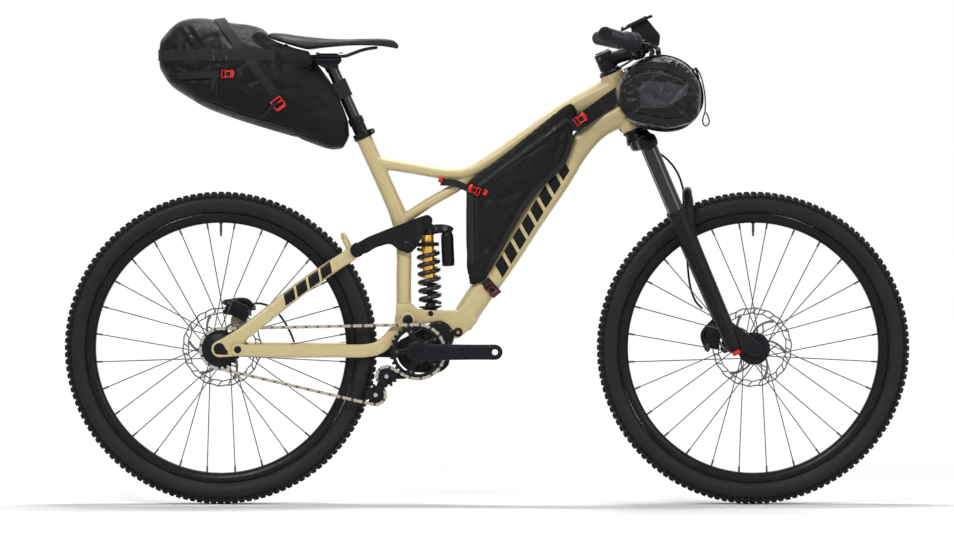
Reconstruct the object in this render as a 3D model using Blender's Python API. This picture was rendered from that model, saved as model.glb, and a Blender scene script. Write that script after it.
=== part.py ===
# Full-suspension mountain bicycle with a gearbox and three packing bags.
# Units are metres. +X points forward, +Y to the rider's left, +Z up.
# The origin is on the ground, halfway between the two axles.
import math

import bmesh
import bpy
import numpy as np
from mathutils import Matrix, Vector

# Wheels
wheelbase = 1.192
rim_outer_radius = 0.3015
rim_depth = 0.0215
rim_width = 0.034
tyre_height = 0.0485
tyre_width = 0.059
tyre_side_inset = 0.0045
tyre_tread_width = 0.046
wheel_segments = 42
merge_angle = 3.0
spoke_count = 28
spoke_radius = 0.0011
hub_shell_radius = 0.015
freehub_radius = 0.0155
hub_flange_radius = 0.027
hub_flange_thickness = 0.0044
rotor_radius = 0.090
rotor_track = 0.013
caliper_half = 0.0118
rotor_thickness = 0.002
rotor_arms = 6
rotor_arm_lean = math.radians(38)
rotor_arm_width = 0.006
rotor_seat_radius = 0.017
rotor_carrier_width = 0.010
spoke_lean_right = math.radians(64)
spoke_lean_left = math.radians(46)
spoke_cross_gap = 0.0010
spoke_rim_offset = 0.004
valve_length = 0.030
valve_radius = 0.003

# Shared clearances between pieces that touch
seat_gap = 0.0003
running_gap = 0.0008

# Rear wheel across the bike
rear_hub_width = 0.148
rear_axle_radius = 0.006
rear_rotor_offset = 0.0585
rear_flange_right = 0.026
rear_flange_left = 0.034
chain_line = 0.0545

# Front wheel across the bike
front_hub_width = 0.110
front_axle_radius = 0.0075
front_rotor_offset = 0.0400
front_flange_right = 0.036
front_flange_left = 0.026

# Suspension pivots: distance ahead of mid-wheelbase and height over the axles
main_pivot_x = -0.177
main_pivot_h = 0.064
horst_pivot_x = -0.5555
horst_pivot_h = -0.001
stay_pivot_x = -0.290
stay_pivot_h = 0.220
rocker_pivot_x = -0.177
rocker_pivot_h = 0.229
shock_top_x = -0.135
shock_top_h = 0.285
shock_bottom_x = -0.126
shock_bottom_h = 0.078

# Widths across the pivots, each measured from the centre line
cradle_half_width = 0.0315
shock_slot_width = 0.030
pivot_axle_radius = 0.006
pivot_bolt_radius = 0.004
main_boss_half = 0.032
main_axle_half = 0.0492
rocker_boss_half = 0.0240
rocker_axle_half = 0.0372
rocker_plate = 0.008
rocker_half_at_shock = 0.0175
rocker_half_at_stay = 0.0460
stay_eye_half = 0.0343
stay_eye_radius = 0.0145
chainstay_arm = 0.0125
dropout_face = rear_hub_width / 2 + seat_gap
dropout_plate = 0.0100
open_pivot_clearance = 0.0043
shock_eye_clearance = 0.0036
shock_travel = 0.0485

chainstay_tip = 0.0095
horst_pin_radius = 0.005
stay_pin_radius = 0.005
stay_eye_width = 0.0114
axle_eye_radius = 0.0185
yoke_x = -0.2345
yoke_h = 0.006

# Gearbox and drive
gearbox_half_width = 0.0440
casing_half_width = 0.0315
gearbox_cover_radius = 0.034
lobe_x = -0.109
lobe_h = 0.027
gearbox_ear_x = -0.0650
gearbox_ear_h = 0.0360
gearbox_ear_radius = 0.0105
stem_height = 0.040
crank_x = -0.155
crank_h = -0.007
crank_length = 0.1725
crank_face = 0.091
crank_thickness = 0.014
crank_hub_radius = 0.0225
crank_tip_radius = 0.0172
pedal_hole_radius = 0.0065
axle_radius = 0.012
chain_pitch = 0.0127
ring_teeth = 30
cog_teeth = 22
pulley_teeth = 11
sprocket_thickness = 0.0018
chain_inner_half = 0.0013
chain_plate = 0.0011
chain_plate_height = 0.0072
chain_pin_half = 0.0022
roller_radius = 0.0036
upper_pulley_x = -0.2245
upper_pulley_h = -0.062
cage_length = 0.048
cage_swing = math.radians(-28)
cage_plate_radius = 0.0095
pulley_pin_radius = 0.0030
crank_boss_depth = 0.008

# Steering
head_angle = math.radians(67.0)
head_top_x = 0.278
head_top_h = 0.614
head_tube_length = 0.135
head_tube_radius = 0.0265
steerer_radius = 0.0143
headset_height = 0.010
fork_travel = 0.120
fork_leg_spacing = 0.140
stanchion_radius = 0.0175
stanchion_ahead = 0.013
lower_leg_radius = 0.0215

crown_top = 0.147
crown_shoulder = 0.155
seal_down = 0.337
stanchion_overlap = 0.060
foot_above_axle = 0.002442
fork_length = ((wheelbase / 2 - head_top_x) * math.cos(head_angle) + head_top_h * math.sin(head_angle)
               - foot_above_axle)
arch_top_down = 0.308
arch_ahead = 0.054

# Handlebar
stem_length = 0.0725
stem_rise = 0.027
bar_width = 0.760
bar_radius = 0.0159
bar_end_radius = 0.0111
grip_radius = 0.0155

twist_radius = 0.0195
grip_inner = 0.262
twist_inner = 0.214
perch_middle = 0.185
bar_bag_half = 0.215
steering_dent = 0.046

bar_clamp_half = 0.045
bar_taper_y = 0.140
bar_bend_y = 0.200
bar_bend_back = -0.006
bar_bend_rise = 0.013
bar_end_back = -0.077
bar_end_rise = 0.031
lever_blade = 0.0075
lever_pin_radius = 0.0022

# Seat post and saddle
post_angle = math.radians(65.6)
post_clamp_x = -0.279
post_clamp_h = 0.477
post_radius = 0.0133
seat_tube_radius = 0.0178
post_tube_radius = 0.0155
post_tube_depth = 0.140
post_drop = 0.040
post_collar_radius = 0.0175
saddle_half_width = 0.070
post_top = 0.166
rail_radius = 0.0035
rail_height = 0.653
strap_low = 0.096
strap_high = 0.128
rail_half_spacing = 0.022
seat_bag_half = 0.086
post_dent = 0.0245
frame_bag_half = 0.038
frame_bag_gap = 0.0030
frame_bag_inner = 0.0312

# Coil shock
coil_radius = 0.0215
coil_wire = 0.0105
coil_turns = 6.5
shock_shaft_radius = 0.006
shock_body_radius = 0.0145
coil_bottom = 0.0215
shock_length = math.hypot(shock_top_x - shock_bottom_x, shock_top_h - shock_bottom_h)
coil_top = shock_length - 0.0632
body_bottom = shock_length - 0.1292
shaft_top = shock_length - 0.0872
reservoir_ahead = 0.0440

tyre_radius = rim_outer_radius + tyre_height
axle_height = tyre_radius * math.cos(math.pi / wheel_segments)
rear_axle_x = -wheelbase / 2
front_axle_x = wheelbase / 2


# Tools shared by all the sub-parts

def at(x, h, y=0.0):
    """Point x ahead of mid-wheelbase, h over the axle line and y to the left."""
    return Vector((x, y, axle_height + h))


def make_material(name, colour, roughness, metallic=0.0):
    material = bpy.data.materials.new(name)
    material.use_nodes = True
    shader = material.node_tree.nodes["Principled BSDF"]
    shader.inputs["Base Color"].default_value = (*colour, 1.0)
    shader.inputs["Roughness"].default_value = roughness
    shader.inputs["Metallic"].default_value = metallic
    return material


def make_object(name, points, faces, material=None, angle=40.0):
    """Closed mesh object with its faces turned outwards."""
    mesh = bpy.data.meshes.new(name)
    mesh.from_pydata([tuple(point) for point in points], [], faces)
    work = bmesh.new()
    work.from_mesh(mesh)
    bmesh.ops.recalc_face_normals(work, faces=work.faces)
    work.to_mesh(mesh)
    work.free()
    mesh.shade_smooth()
    mesh.set_sharp_from_angle(angle=math.radians(angle))
    piece = bpy.data.objects.new(name, mesh)
    bpy.context.scene.collection.objects.link(piece)
    if material:
        mesh.materials.append(material)
    return piece


def loft(name, rings, material=None, closed=False, angle=40.0):
    """Skin through rings of equal point count, capped at both ends unless closed."""
    count = len(rings[0])
    points = [point for ring in rings for point in ring]
    spans = len(rings) if closed else len(rings) - 1
    faces = []
    for i in range(spans):
        a = i * count
        b = (i + 1) % len(rings) * count
        for j in range(count):
            k = (j + 1) % count
            faces.append((a + j, a + k, b + k, b + j))
    if not closed:
        faces.append(tuple(range(count)))
        faces.append(tuple(range((len(rings) - 1) * count, len(rings) * count)))
    return make_object(name, points, faces, material, angle)


def oval(centre, across, up, half_across, half_up, sides=12, square=2.0):
    """Superellipse ring; square is 2 for an ellipse and higher for a boxy section."""
    ring = []
    for j in range(sides):
        turn = 2 * math.pi * (j + 0.5) / sides
        c = math.cos(turn)
        s = math.sin(turn)
        a = half_across * math.copysign(abs(c) ** (2 / square), c)
        b = half_up * math.copysign(abs(s) ** (2 / square), s)
        ring.append(centre + across * a + up * b)
    return ring


def directions(path, closed=False):
    """Unit tangent at each point of a path."""
    result = []
    count = len(path)
    for i in range(count):
        before = path[i - 1] if i or closed else path[i]
        after = path[(i + 1) % count] if i < count - 1 or closed else path[i]
        result.append((after - before).normalized())
    return result


def tube(name, path, sizes, material=None, sides=12, square=2.0, side=Vector((0, 1, 0)), angle=40.0):
    """Oval tube along a path; each size is (half width along side, half height)."""
    rings = []
    for i, (centre, tangent) in enumerate(zip(path, directions(path))):
        size = sizes[i] if isinstance(sizes, list) else sizes
        up = tangent.cross(side).normalized()
        across = up.cross(tangent).normalized()
        bend = 1.0
        if 0 < i < len(path) - 1:
            turn = (path[i] - path[i - 1]).angle(path[i + 1] - path[i])
            bend = 1.0 / max(0.5, math.cos(turn / 2))
        rings.append(oval(centre, across, up, size[0], size[1] * bend, sides, square))
    return loft(name, rings, material, angle=angle)


def smooth_path(points, steps):
    """Catmull-Rom curve through the points with the given steps in each span."""
    ends = [points[0] * 2 - points[1]] + list(points) + [points[-1] * 2 - points[-2]]
    path = []
    for i in range(1, len(ends) - 2):
        p0, p1, p2, p3 = ends[i - 1:i + 3]
        for k in range(steps):
            t = k / steps
            path.append(0.5 * ((p1 * 2) + (p2 - p0) * t + (p0 * 2 - p1 * 5 + p2 * 4 - p3) * t ** 2
                               + (p1 * 3 - p0 - p2 * 3 + p3) * t ** 3))
    path.append(points[-1].copy())
    return path


def turned(name, profile, centre, axis, sides, material=None, hollow=False, angle=40.0):
    """Solid turned from (distance along axis, radius) pairs; hollow closes the profile on itself."""
    axis = axis.normalized()
    first = Vector((0, 0, 1)) if abs(axis.z) < 0.9 else Vector((1, 0, 0))
    u = axis.cross(first).normalized()
    v = axis.cross(u).normalized()
    rings = []
    for j in range(sides):
        turn = 2 * math.pi * j / sides
        ray = u * math.cos(turn) + v * math.sin(turn)
        rings.append([centre + axis * along + ray * radius for along, radius in profile])
    count = len(profile)
    points = [point for ring in rings for point in ring]
    faces = []
    for j in range(sides):
        a = j * count
        b = (j + 1) % sides * count
        for i in range(count if hollow else count - 1):
            k = (i + 1) % count
            faces.append((a + i, a + k, b + k, b + i))
    if not hollow:
        faces.append(tuple(j * count for j in range(sides)))
        faces.append(tuple(j * count + count - 1 for j in range(sides)))
    return make_object(name, points, faces, material, angle)


def rod(name, start, end, radius, sides=12, material=None):
    """Plain round bar between two points."""
    return turned(name, [(0, radius), ((end - start).length, radius)], start, end - start, sides, material)


def around(radius, sides):
    """Corner radius of a polygon whose flats clear a circle of the given radius."""
    return radius / math.cos(math.pi / sides)


def bore(name, start, end, radius, sides=12):
    """Cutter for a round hole; its flats, not its corners, are at the radius."""
    return rod(name, start, end, around(radius, sides), sides)


def plate(name, outline, y_low, y_high, material=None, angle=30.0):
    """Flat plate cut to an outline of (x, h) pairs and lying between two y values."""
    rings = [[at(x, h, y) for x, h in outline] for y in (y_low, y_high)]
    return loft(name, rings, material, angle=angle)


def block(name, centre, size, tilt=0.0, material=None):
    """Box turned by tilt about the y axis."""
    turn = Matrix.Rotation(tilt, 3, "Y")
    rings = []
    for y in (-0.5, 0.5):
        corners = ((-0.5, -0.5), (0.5, -0.5), (0.5, 0.5), (-0.5, 0.5))
        rings.append([centre + turn @ Vector((a * size[0], y * size[1], b * size[2])) for a, b in corners])
    return loft(name, rings, material, angle=30.0)


def evaluated_mesh(piece):
    bpy.context.view_layer.update()
    graph = bpy.context.evaluated_depsgraph_get()
    return bpy.data.meshes.new_from_object(piece.evaluated_get(graph))


def combine(name, material, pieces, cutters=(), angle=40.0):
    """Join overlapping pieces to one body, take the cutters away and name the result."""
    base = pieces[0]
    for operation, group in (("UNION", pieces[1:]), ("DIFFERENCE", cutters)):
        for other in group:
            step = base.modifiers.new(operation, "BOOLEAN")
            step.operation = operation
            step.solver = "EXACT"
            step.object = other
    mesh = evaluated_mesh(base)
    work = bmesh.new()
    work.from_mesh(mesh)
    bmesh.ops.remove_doubles(work, verts=work.verts, dist=0.00002)
    bmesh.ops.dissolve_limit(work, angle_limit=math.radians(merge_angle), verts=work.verts,
                             edges=work.edges)
    work.to_mesh(mesh)
    work.free()
    mesh.shade_smooth()
    mesh.set_sharp_from_angle(angle=math.radians(angle))
    mesh.materials.clear()
    mesh.materials.append(material)
    for piece in list(pieces) + list(cutters):
        old = piece.data
        bpy.data.objects.remove(piece, do_unlink=True)
        if isinstance(old, bpy.types.Mesh):
            bpy.data.meshes.remove(old)
    mesh.name = name
    result = bpy.data.objects.new(name, mesh)
    bpy.context.scene.collection.objects.link(result)
    return result


def hose(name, points, radius, material, resolution=2, steps=6):
    """Round cord along a smooth curve, as a curve object with filled caps."""
    curve = bpy.data.curves.new(name, "CURVE")
    curve.dimensions = "3D"
    curve.bevel_depth = radius
    curve.bevel_resolution = resolution
    curve.use_fill_caps = True
    path = smooth_path(points, steps)
    spline = curve.splines.new("POLY")
    spline.points.add(len(path) - 1)
    for target, point in zip(spline.points, path):
        target.co = (*point, 1.0)
    curve.materials.append(material)
    piece = bpy.data.objects.new(name, curve)
    bpy.context.scene.collection.objects.link(piece)
    return piece


def make_pivot(name, point, parent=None):
    """Empty on a joint axis that carries the pieces of one moving body."""
    empty = bpy.data.objects.new(name, None)
    bpy.context.scene.collection.objects.link(empty)
    empty.location = point
    bpy.context.view_layer.update()
    if parent:
        empty.parent = parent
        empty.matrix_parent_inverse = parent.matrix_world.inverted()
        bpy.context.view_layer.update()
    return empty


def carry(pivot, pieces):
    """Parent the pieces to their body's pivot, in place."""
    bpy.context.view_layer.update()
    for piece in pieces:
        piece.parent = pivot
        piece.matrix_parent_inverse = pivot.matrix_world.inverted()


# Materials

def make_materials():
    return {
        "sand": make_material("sand_paint", (0.62, 0.53, 0.32), 0.38),
        "black": make_material("black_anodised", (0.025, 0.025, 0.028), 0.42, 0.6),
        "plastic": make_material("black_plastic", (0.03, 0.03, 0.032), 0.5),
        "rubber": make_material("tyre_rubber", (0.045, 0.045, 0.055), 0.75),
        "grip": make_material("grip_rubber", (0.035, 0.035, 0.045), 0.7),
        "steel": make_material("brushed_steel", (0.55, 0.55, 0.56), 0.3, 1.0),
        "spoke": make_material("spoke_steel", (0.33, 0.33, 0.34), 0.35, 1.0),
        "chain": make_material("chain_steel", (0.50, 0.46, 0.40), 0.35, 1.0),
        "gold": make_material("gold_anodised", (0.72, 0.40, 0.08), 0.25, 1.0),
        "stanchion": make_material("stanchion_black", (0.02, 0.02, 0.022), 0.12, 0.8),
        "fabric": make_material("bag_fabric", (0.028, 0.027, 0.03), 0.6),
        "red": make_material("red_anodised", (0.6, 0.02, 0.03), 0.35, 0.5),
        "saddle": make_material("saddle_cover", (0.02, 0.02, 0.022), 0.55),
    }


# Wheels

def make_tyre(name, centre, material):
    """Round of tyre turned about the axle; its sidewalls bulge past the rim and its tread is nearly flat."""
    half = tyre_width / 2
    bead = rim_outer_radius + seat_gap
    tread = tyre_radius - tyre_side_inset
    bulge = rim_outer_radius + 0.42 * tyre_height
    profile = [
        (-rim_width / 2, bead),
        (-half, bulge),
        (-tyre_tread_width / 2 - 0.003, tread - 0.003),
        (-tyre_tread_width / 4, tyre_radius),
        (tyre_tread_width / 4, tyre_radius),
        (tyre_tread_width / 2 + 0.003, tread - 0.003),
        (half, bulge),
        (rim_width / 2, bead),
    ]
    return turned(name, profile, centre, Vector((0, 1, 0)), wheel_segments, material, hollow=True)


def make_rim(name, centre, valve_turn, materials):
    """Box-section rim, closed under the tyre, with its tyre valve."""
    half = rim_width / 2
    inner = rim_outer_radius - rim_depth
    profile = [
        (-half, rim_outer_radius),
        (half, rim_outer_radius),
        (half * 0.60, inner),
        (-half * 0.60, inner),
    ]
    rim = turned("rim", profile, centre, Vector((0, 1, 0)), wheel_segments, hollow=True)
    ray = Vector((math.sin(valve_turn), 0, math.cos(valve_turn)))
    valve = rod("valve", centre + ray * (inner + 0.003), centre + ray * (inner - valve_length),
                valve_radius, 6)
    return combine(name, materials["black"], [rim, valve])


def hub_profile(half, axle_radius_clear, flange_right, flange_left, barrel, drive_radius, rotor_offset):
    """Half section of a hub shell from the right end to the left, closed along the bore."""
    bore_radius = around(axle_radius_clear, spoke_count // 2)
    thick = hub_flange_thickness / 2
    stop = rotor_offset - rotor_thickness / 2 - seat_gap
    return [
        (-half, bore_radius),
        (-half, drive_radius),
        (-flange_right - thick, drive_radius),
        (-flange_right - thick, hub_flange_radius),
        (-flange_right + thick, hub_flange_radius),
        (-flange_right + thick + 0.004, barrel),
        (flange_left - thick - 0.004, barrel),
        (flange_left - thick, hub_flange_radius),
        (flange_left + thick, hub_flange_radius),
        (flange_left + thick, rotor_seat_radius + 0.005),
        (stop, rotor_seat_radius + 0.005),
        (stop, rotor_seat_radius),
        (half, bore_radius + 0.004),
        (half, bore_radius),
    ]


def make_hub(name, centre, profile, flange_right, flange_left, material):
    """Hub shell with its crossed spokes, which reach up to the rim."""
    shell = turned("shell", profile, centre, Vector((0, 1, 0)), spoke_count // 2, hollow=True)
    spokes = []
    reach = (rim_outer_radius - rim_depth) * math.cos(math.pi / wheel_segments) - seat_gap
    hole = hub_flange_radius - 0.0035
    per_side = spoke_count // 2
    for side, flange, slant in ((-1, flange_right, spoke_lean_right), (1, flange_left, spoke_lean_left)):
        for index in range(per_side):
            lean = 1 if index % 2 else -1
            rim_turn = 2 * math.pi * (index + (0.75 if side > 0 else 0.25)) / per_side
            hub_turn = rim_turn + lean * slant
            face = flange + lean * spoke_cross_gap
            start = Vector((math.sin(hub_turn) * hole, side * face, math.cos(hub_turn) * hole))
            end = Vector((math.sin(rim_turn) * reach, side * (spoke_rim_offset + lean * spoke_cross_gap),
                          math.cos(rim_turn) * reach))
            spokes.append(rod("spoke", centre + start, centre + end, spoke_radius, 3))
    return combine(name, material, [shell] + spokes)


def make_rotor(name, centre, offset, material):
    """Brake disc: a braking track on leaning arms round a central ring with a bore."""
    half = rotor_thickness / 2
    axis = Vector((0, 1, 0))
    track_in = rotor_radius - rotor_track
    bore_radius = around(rotor_seat_radius + seat_gap, 10)
    carrier = bore_radius + rotor_carrier_width
    pieces = []
    for low, high, sides in ((track_in, rotor_radius, 26), (bore_radius, carrier, 10)):
        profile = [(offset - half, low), (offset + half, low), (offset + half, high), (offset - half, high)]
        pieces.append(turned("ring", profile, centre, axis, sides, hollow=True))
    for index in range(rotor_arms):
        rings = []
        for turn, radius in ((0.0, carrier - 0.002), (rotor_arm_lean, track_in + 0.002)):
            angle = 2 * math.pi * index / rotor_arms + turn
            ray = Vector((math.sin(angle), 0, math.cos(angle)))
            side = axis.cross(ray) * rotor_arm_width / 2
            middle = centre + ray * radius + axis * offset
            rings.append([middle - side - axis * half * 0.9, middle + side - axis * half * 0.9,
                          middle + side + axis * half * 0.9, middle - side + axis * half * 0.9])
        pieces.append(loft("arm", rings))
    return combine(name, material, pieces)


# Main frame

def steer_point(down, ahead=0.0, y=0.0):
    """Point on the steering axis, down from the top of the head tube, moved ahead square to it."""
    along = Vector((math.cos(head_angle), 0, -math.sin(head_angle)))
    forward = Vector((math.sin(head_angle), 0, math.cos(head_angle)))
    return at(head_top_x, head_top_h, y) + along * down + forward * ahead


def post_point(up, ahead=0.0):
    """Point on the seat post axis, up from the seat clamp."""
    along = Vector((-math.cos(post_angle), 0, math.sin(post_angle)))
    forward = Vector((math.sin(post_angle), 0, math.cos(post_angle)))
    return at(post_clamp_x, post_clamp_h) + along * up + forward * ahead


def make_main_tubes(extra):
    """Top tube and down tube, each grown all round by extra."""
    bend = smooth_path([at(-0.160, 0.401), at(-0.092, 0.390), at(-0.040, 0.394), at(0.010, 0.420),
                        at(0.075, 0.464)], 2)
    sizes = [(0.018, 0.0150), (0.0172, 0.0130)] + [(0.017, 0.0125)] * 4 + [(0.019, 0.0150)] * 2 + [(0.020,
            0.0160)] * 3
    sizes += [(0.021, 0.0180), (0.022, 0.0220), (0.023, 0.027)]
    top = tube("top", [at(-0.250, 0.4155), at(-0.226, 0.4120)] + bend + [at(0.145, 0.511), at(0.205, 0.545),
            at(0.282, 0.580)],
               [(across + extra, height + extra) for across, height in sizes], square=2.6, sides=10)
    bend = smooth_path([at(0.098, 0.288), at(0.156, 0.372), at(0.204, 0.448), at(0.250, 0.495),
                        at(0.305, 0.523)], 2)
    sizes = [(0.030, 0.028)] * 2 + [(0.028, 0.028)] * 3 + [(0.026, 0.027)] * 3 + [(0.024, 0.026)] * 4
    down = tube("down", [at(-0.060, 0.052), at(-0.023, 0.110), at(0.040, 0.199)] + bend,
                [(across + extra, height + extra) for across, height in sizes], square=2.8, sides=10)
    return top, down


def make_frame(materials):
    head_along = steer_point(1) - steer_point(0)
    head = turned("head", [(0, head_tube_radius), (0.012, head_tube_radius),
                           (0.030, head_tube_radius - 0.003),
                           (head_tube_length - 0.030, head_tube_radius - 0.003),
                           (head_tube_length - 0.012, head_tube_radius + 0.002),
                           (head_tube_length, head_tube_radius + 0.002)], steer_point(0), head_along, 14)
    head_hole = bore("head_hole", steer_point(-0.01), steer_point(head_tube_length + 0.01),
                    steerer_radius + 0.003, 10)
    top, down = make_main_tubes(0.0)
    seat = tube("seat", [post_point(0.0), post_point(-0.080), post_point(-0.152), at(-0.197, 0.290),
                         at(-0.1865, 0.228)],
                [(seat_tube_radius,) * 2] * 2 + [(0.018, 0.018), (0.018, 0.019), (0.0165, 0.0165)],
                    sides=10)
    lower = tube("lower", [at(-0.1865, 0.245), at(-0.1865, 0.090), at(-0.1865, 0.056)],
                 [(0.0165, 0.0168), (0.020, 0.0168), (0.026, 0.022)], square=3.0)
    strut = tube("strut", [at(-0.190, 0.285), at(-0.130, 0.325), at(-0.072, 0.358), at(-0.030, 0.388)],
                 (0.013, 0.0115), square=2.4)
    cradle = plate("cradle", [(-0.2035, 0.100), (-0.168, 0.100), (-0.158, 0.0865), (-0.069, 0.0835),
                              (-0.045, 0.105),
                              (-0.020, 0.060), (-0.062, 0.022), (-0.088, 0.022), (-0.102, 0.060),
                                  (-0.145, 0.054),
                              (-0.2035, 0.046)], -cradle_half_width, cradle_half_width)
    post_hole = bore("post_hole", post_point(0.02), post_point(-post_tube_depth - 0.002),
                     post_tube_radius + seat_gap, 10)
    shock_slot = block("slot", at(shock_bottom_x, shock_bottom_h + 0.012), (0.050, shock_slot_width, 0.070))
    shock_bolt = rod("shock_bolt", at(shock_bottom_x, shock_bottom_h, -cradle_half_width - 0.003),
                     at(shock_bottom_x, shock_bottom_h, cradle_half_width + 0.003), pivot_bolt_radius, 10)
    pivot_holes = []
    for x, h in ((main_pivot_x, main_pivot_h), (rocker_pivot_x, rocker_pivot_h)):
        pivot_holes.append(bore("pivot_hole", at(x, h, -0.08), at(x, h, 0.08), pivot_axle_radius + seat_gap,
                                10))
    casing_room = plate("casing_room", gearbox_outline(seat_gap), -0.1, 0.1)
    ear_room = bore("ear_room", at(gearbox_ear_x, gearbox_ear_h, -0.1),
                    at(gearbox_ear_x, gearbox_ear_h, 0.1),
                    gearbox_ear_radius + seat_gap, 12)
    cover_room = bore("cover_room", at(lobe_x, lobe_h, -0.1),
                      at(lobe_x, lobe_h, -casing_half_width + 0.001 + seat_gap),
                      gearbox_cover_radius + seat_gap, 18)
    main_boss = rod("main_boss", at(main_pivot_x, main_pivot_h, -main_boss_half),
                    at(main_pivot_x, main_pivot_h, main_boss_half),
                    0.0155, 12)
    rocker_boss = rod("rocker_boss", at(rocker_pivot_x, rocker_pivot_h, -rocker_boss_half),
                      at(rocker_pivot_x, rocker_pivot_h, rocker_boss_half), 0.0150, 12)
    shell = combine("shell", materials["sand"],
                    [head, top, down, seat, lower, strut, cradle, main_boss, rocker_boss],
                    [head_hole, post_hole, shock_slot, casing_room, ear_room, cover_room] + pivot_holes)
    pieces = [combine("main_frame", materials["sand"], [shell, shock_bolt])]
    inner = around(steerer_radius + running_gap, 14)
    cup = [(0, inner), (0, head_tube_radius), (0.004, head_tube_radius),
           (headset_height, head_tube_radius - 0.004),
           (headset_height, inner)]
    pieces.append(turned("headset_upper", cup, steer_point(-seat_gap), -head_along, 14, materials["black"],
                         hollow=True))
    pieces.append(turned("headset_lower", cup, steer_point(head_tube_length + seat_gap), head_along, 14,
                         materials["black"], hollow=True))
    for index, (name, x, h, half) in enumerate((("main_pivot_axle", main_pivot_x, main_pivot_h,
                                                 main_axle_half),
                                                ("rocker_axle", rocker_pivot_x, rocker_pivot_h,
                                                 rocker_axle_half))):
        head_radius = 0.0115
        profile = [(0, head_radius - 0.002), (0.0015, head_radius), (0.004, head_radius),
                   (0.004, pivot_axle_radius),
                   (2 * half - 0.004, pivot_axle_radius), (2 * half - 0.004, head_radius),
                   (2 * half - 0.0015, head_radius), (2 * half, head_radius - 0.002)]
        pieces.append(turned(name, profile, at(x, h, -half), Vector((0, 1, 0)), 12, materials["black"]))
    return pieces


def make_seat_clamp(materials):
    """Split collar round the top of the seat tube with its bolt barrel in front."""
    along = post_point(1) - post_point(0)
    low_bore = around(seat_tube_radius + seat_gap, 14)
    high_bore = around(post_tube_radius + seat_gap, 14)
    collar = turned("collar", [(-0.009, low_bore), (-0.009, low_bore + 0.0035), (0.006, low_bore + 0.0035),
                               (0.006, high_bore),
                               (0.0004, high_bore), (0.0004, low_bore)], post_point(0), along, 14,
                                   hollow=True)
    barrel = rod("barrel", post_point(-0.001, 0.0245) + Vector((0, -0.012, 0)),
                 post_point(-0.001, 0.0245) + Vector((0, 0.012, 0)), 0.0052, 8)
    return combine("seat_clamp", materials["black"], [collar, barrel])


def make_post_tube(materials):
    """Outer tube of the telescopic post, held in the seat tube and topped by its sealing collar."""
    along = post_point(1) - post_point(0)
    inner = post_radius + running_gap
    profile = [(-post_tube_depth, inner), (-post_tube_depth, post_tube_radius), (0.026, post_tube_radius),
               (0.028, post_collar_radius),
               (0.040, post_collar_radius), (0.043, post_collar_radius - 0.002), (0.043, inner)]
    return turned("post_tube", profile, post_point(0), along, 14, materials["black"], hollow=True)


# Rear suspension

def mirrored_path(path, side):
    return [Vector((point.x, point.y * side, point.z)) for point in path]


def make_chainstay(materials):
    """Two arms behind the main pivot, joined by a yoke ahead of the tyre."""
    pieces = []
    inner = main_boss_half + seat_gap
    middle = inner + chainstay_arm / 2
    rear = dropout_face + dropout_plate + seat_gap + chainstay_tip / 2
    for side in (-1, 1):
        bend = smooth_path([at(-0.270, -0.005, 0.0415), at(-0.232, 0.008, middle),
                            at(-0.203, 0.040, middle),
                            at(main_pivot_x, main_pivot_h, middle)], 2)
        path = [at(horst_pivot_x, horst_pivot_h, rear), at(-0.532, -0.003, rear), at(-0.440, -0.005, 0.068),
                at(-0.345, -0.005, 0.050)] + bend
        widths = [chainstay_tip / 2] * 2 + [0.0075] * 2 + [chainstay_arm / 2] * 7
        heights = [0.0135] * 2 + [0.0150] * 5 + [0.0135] * 4
        pieces.append(tube("arm", mirrored_path(path, side), list(zip(widths, heights)), square=3.0,
                           sides=8))
        pieces.append(rod("main_eye", at(main_pivot_x, main_pivot_h, side * inner),
                          at(main_pivot_x, main_pivot_h, side * (inner + chainstay_arm)), 0.0175, 10))
        pieces.append(rod("tip", at(horst_pivot_x, horst_pivot_h, side * (rear - chainstay_tip / 2)),
                          at(horst_pivot_x, horst_pivot_h, side * (rear + chainstay_tip / 2)), 0.0148, 10))
        pieces.append(rod("horst_pin", at(horst_pivot_x, horst_pivot_h, side * (dropout_face + 0.0012)),
                          at(horst_pivot_x, horst_pivot_h, side * (rear + chainstay_tip / 2 + 0.0015)),
                              horst_pin_radius, 10))
    yoke = tube("yoke", [at(yoke_x, yoke_h, -inner - 0.004), at(yoke_x, yoke_h, inner + 0.004)],
                (0.008, 0.015),
                side=Vector((1, 0, 0)), sides=8, square=2.6)
    holes = [bore("hole", at(main_pivot_x, main_pivot_h, -0.06), at(main_pivot_x, main_pivot_h, 0.06),
                 pivot_axle_radius + seat_gap, 10)]
    return combine("chainstay", materials["sand"], [yoke] + pieces, holes)


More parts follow.
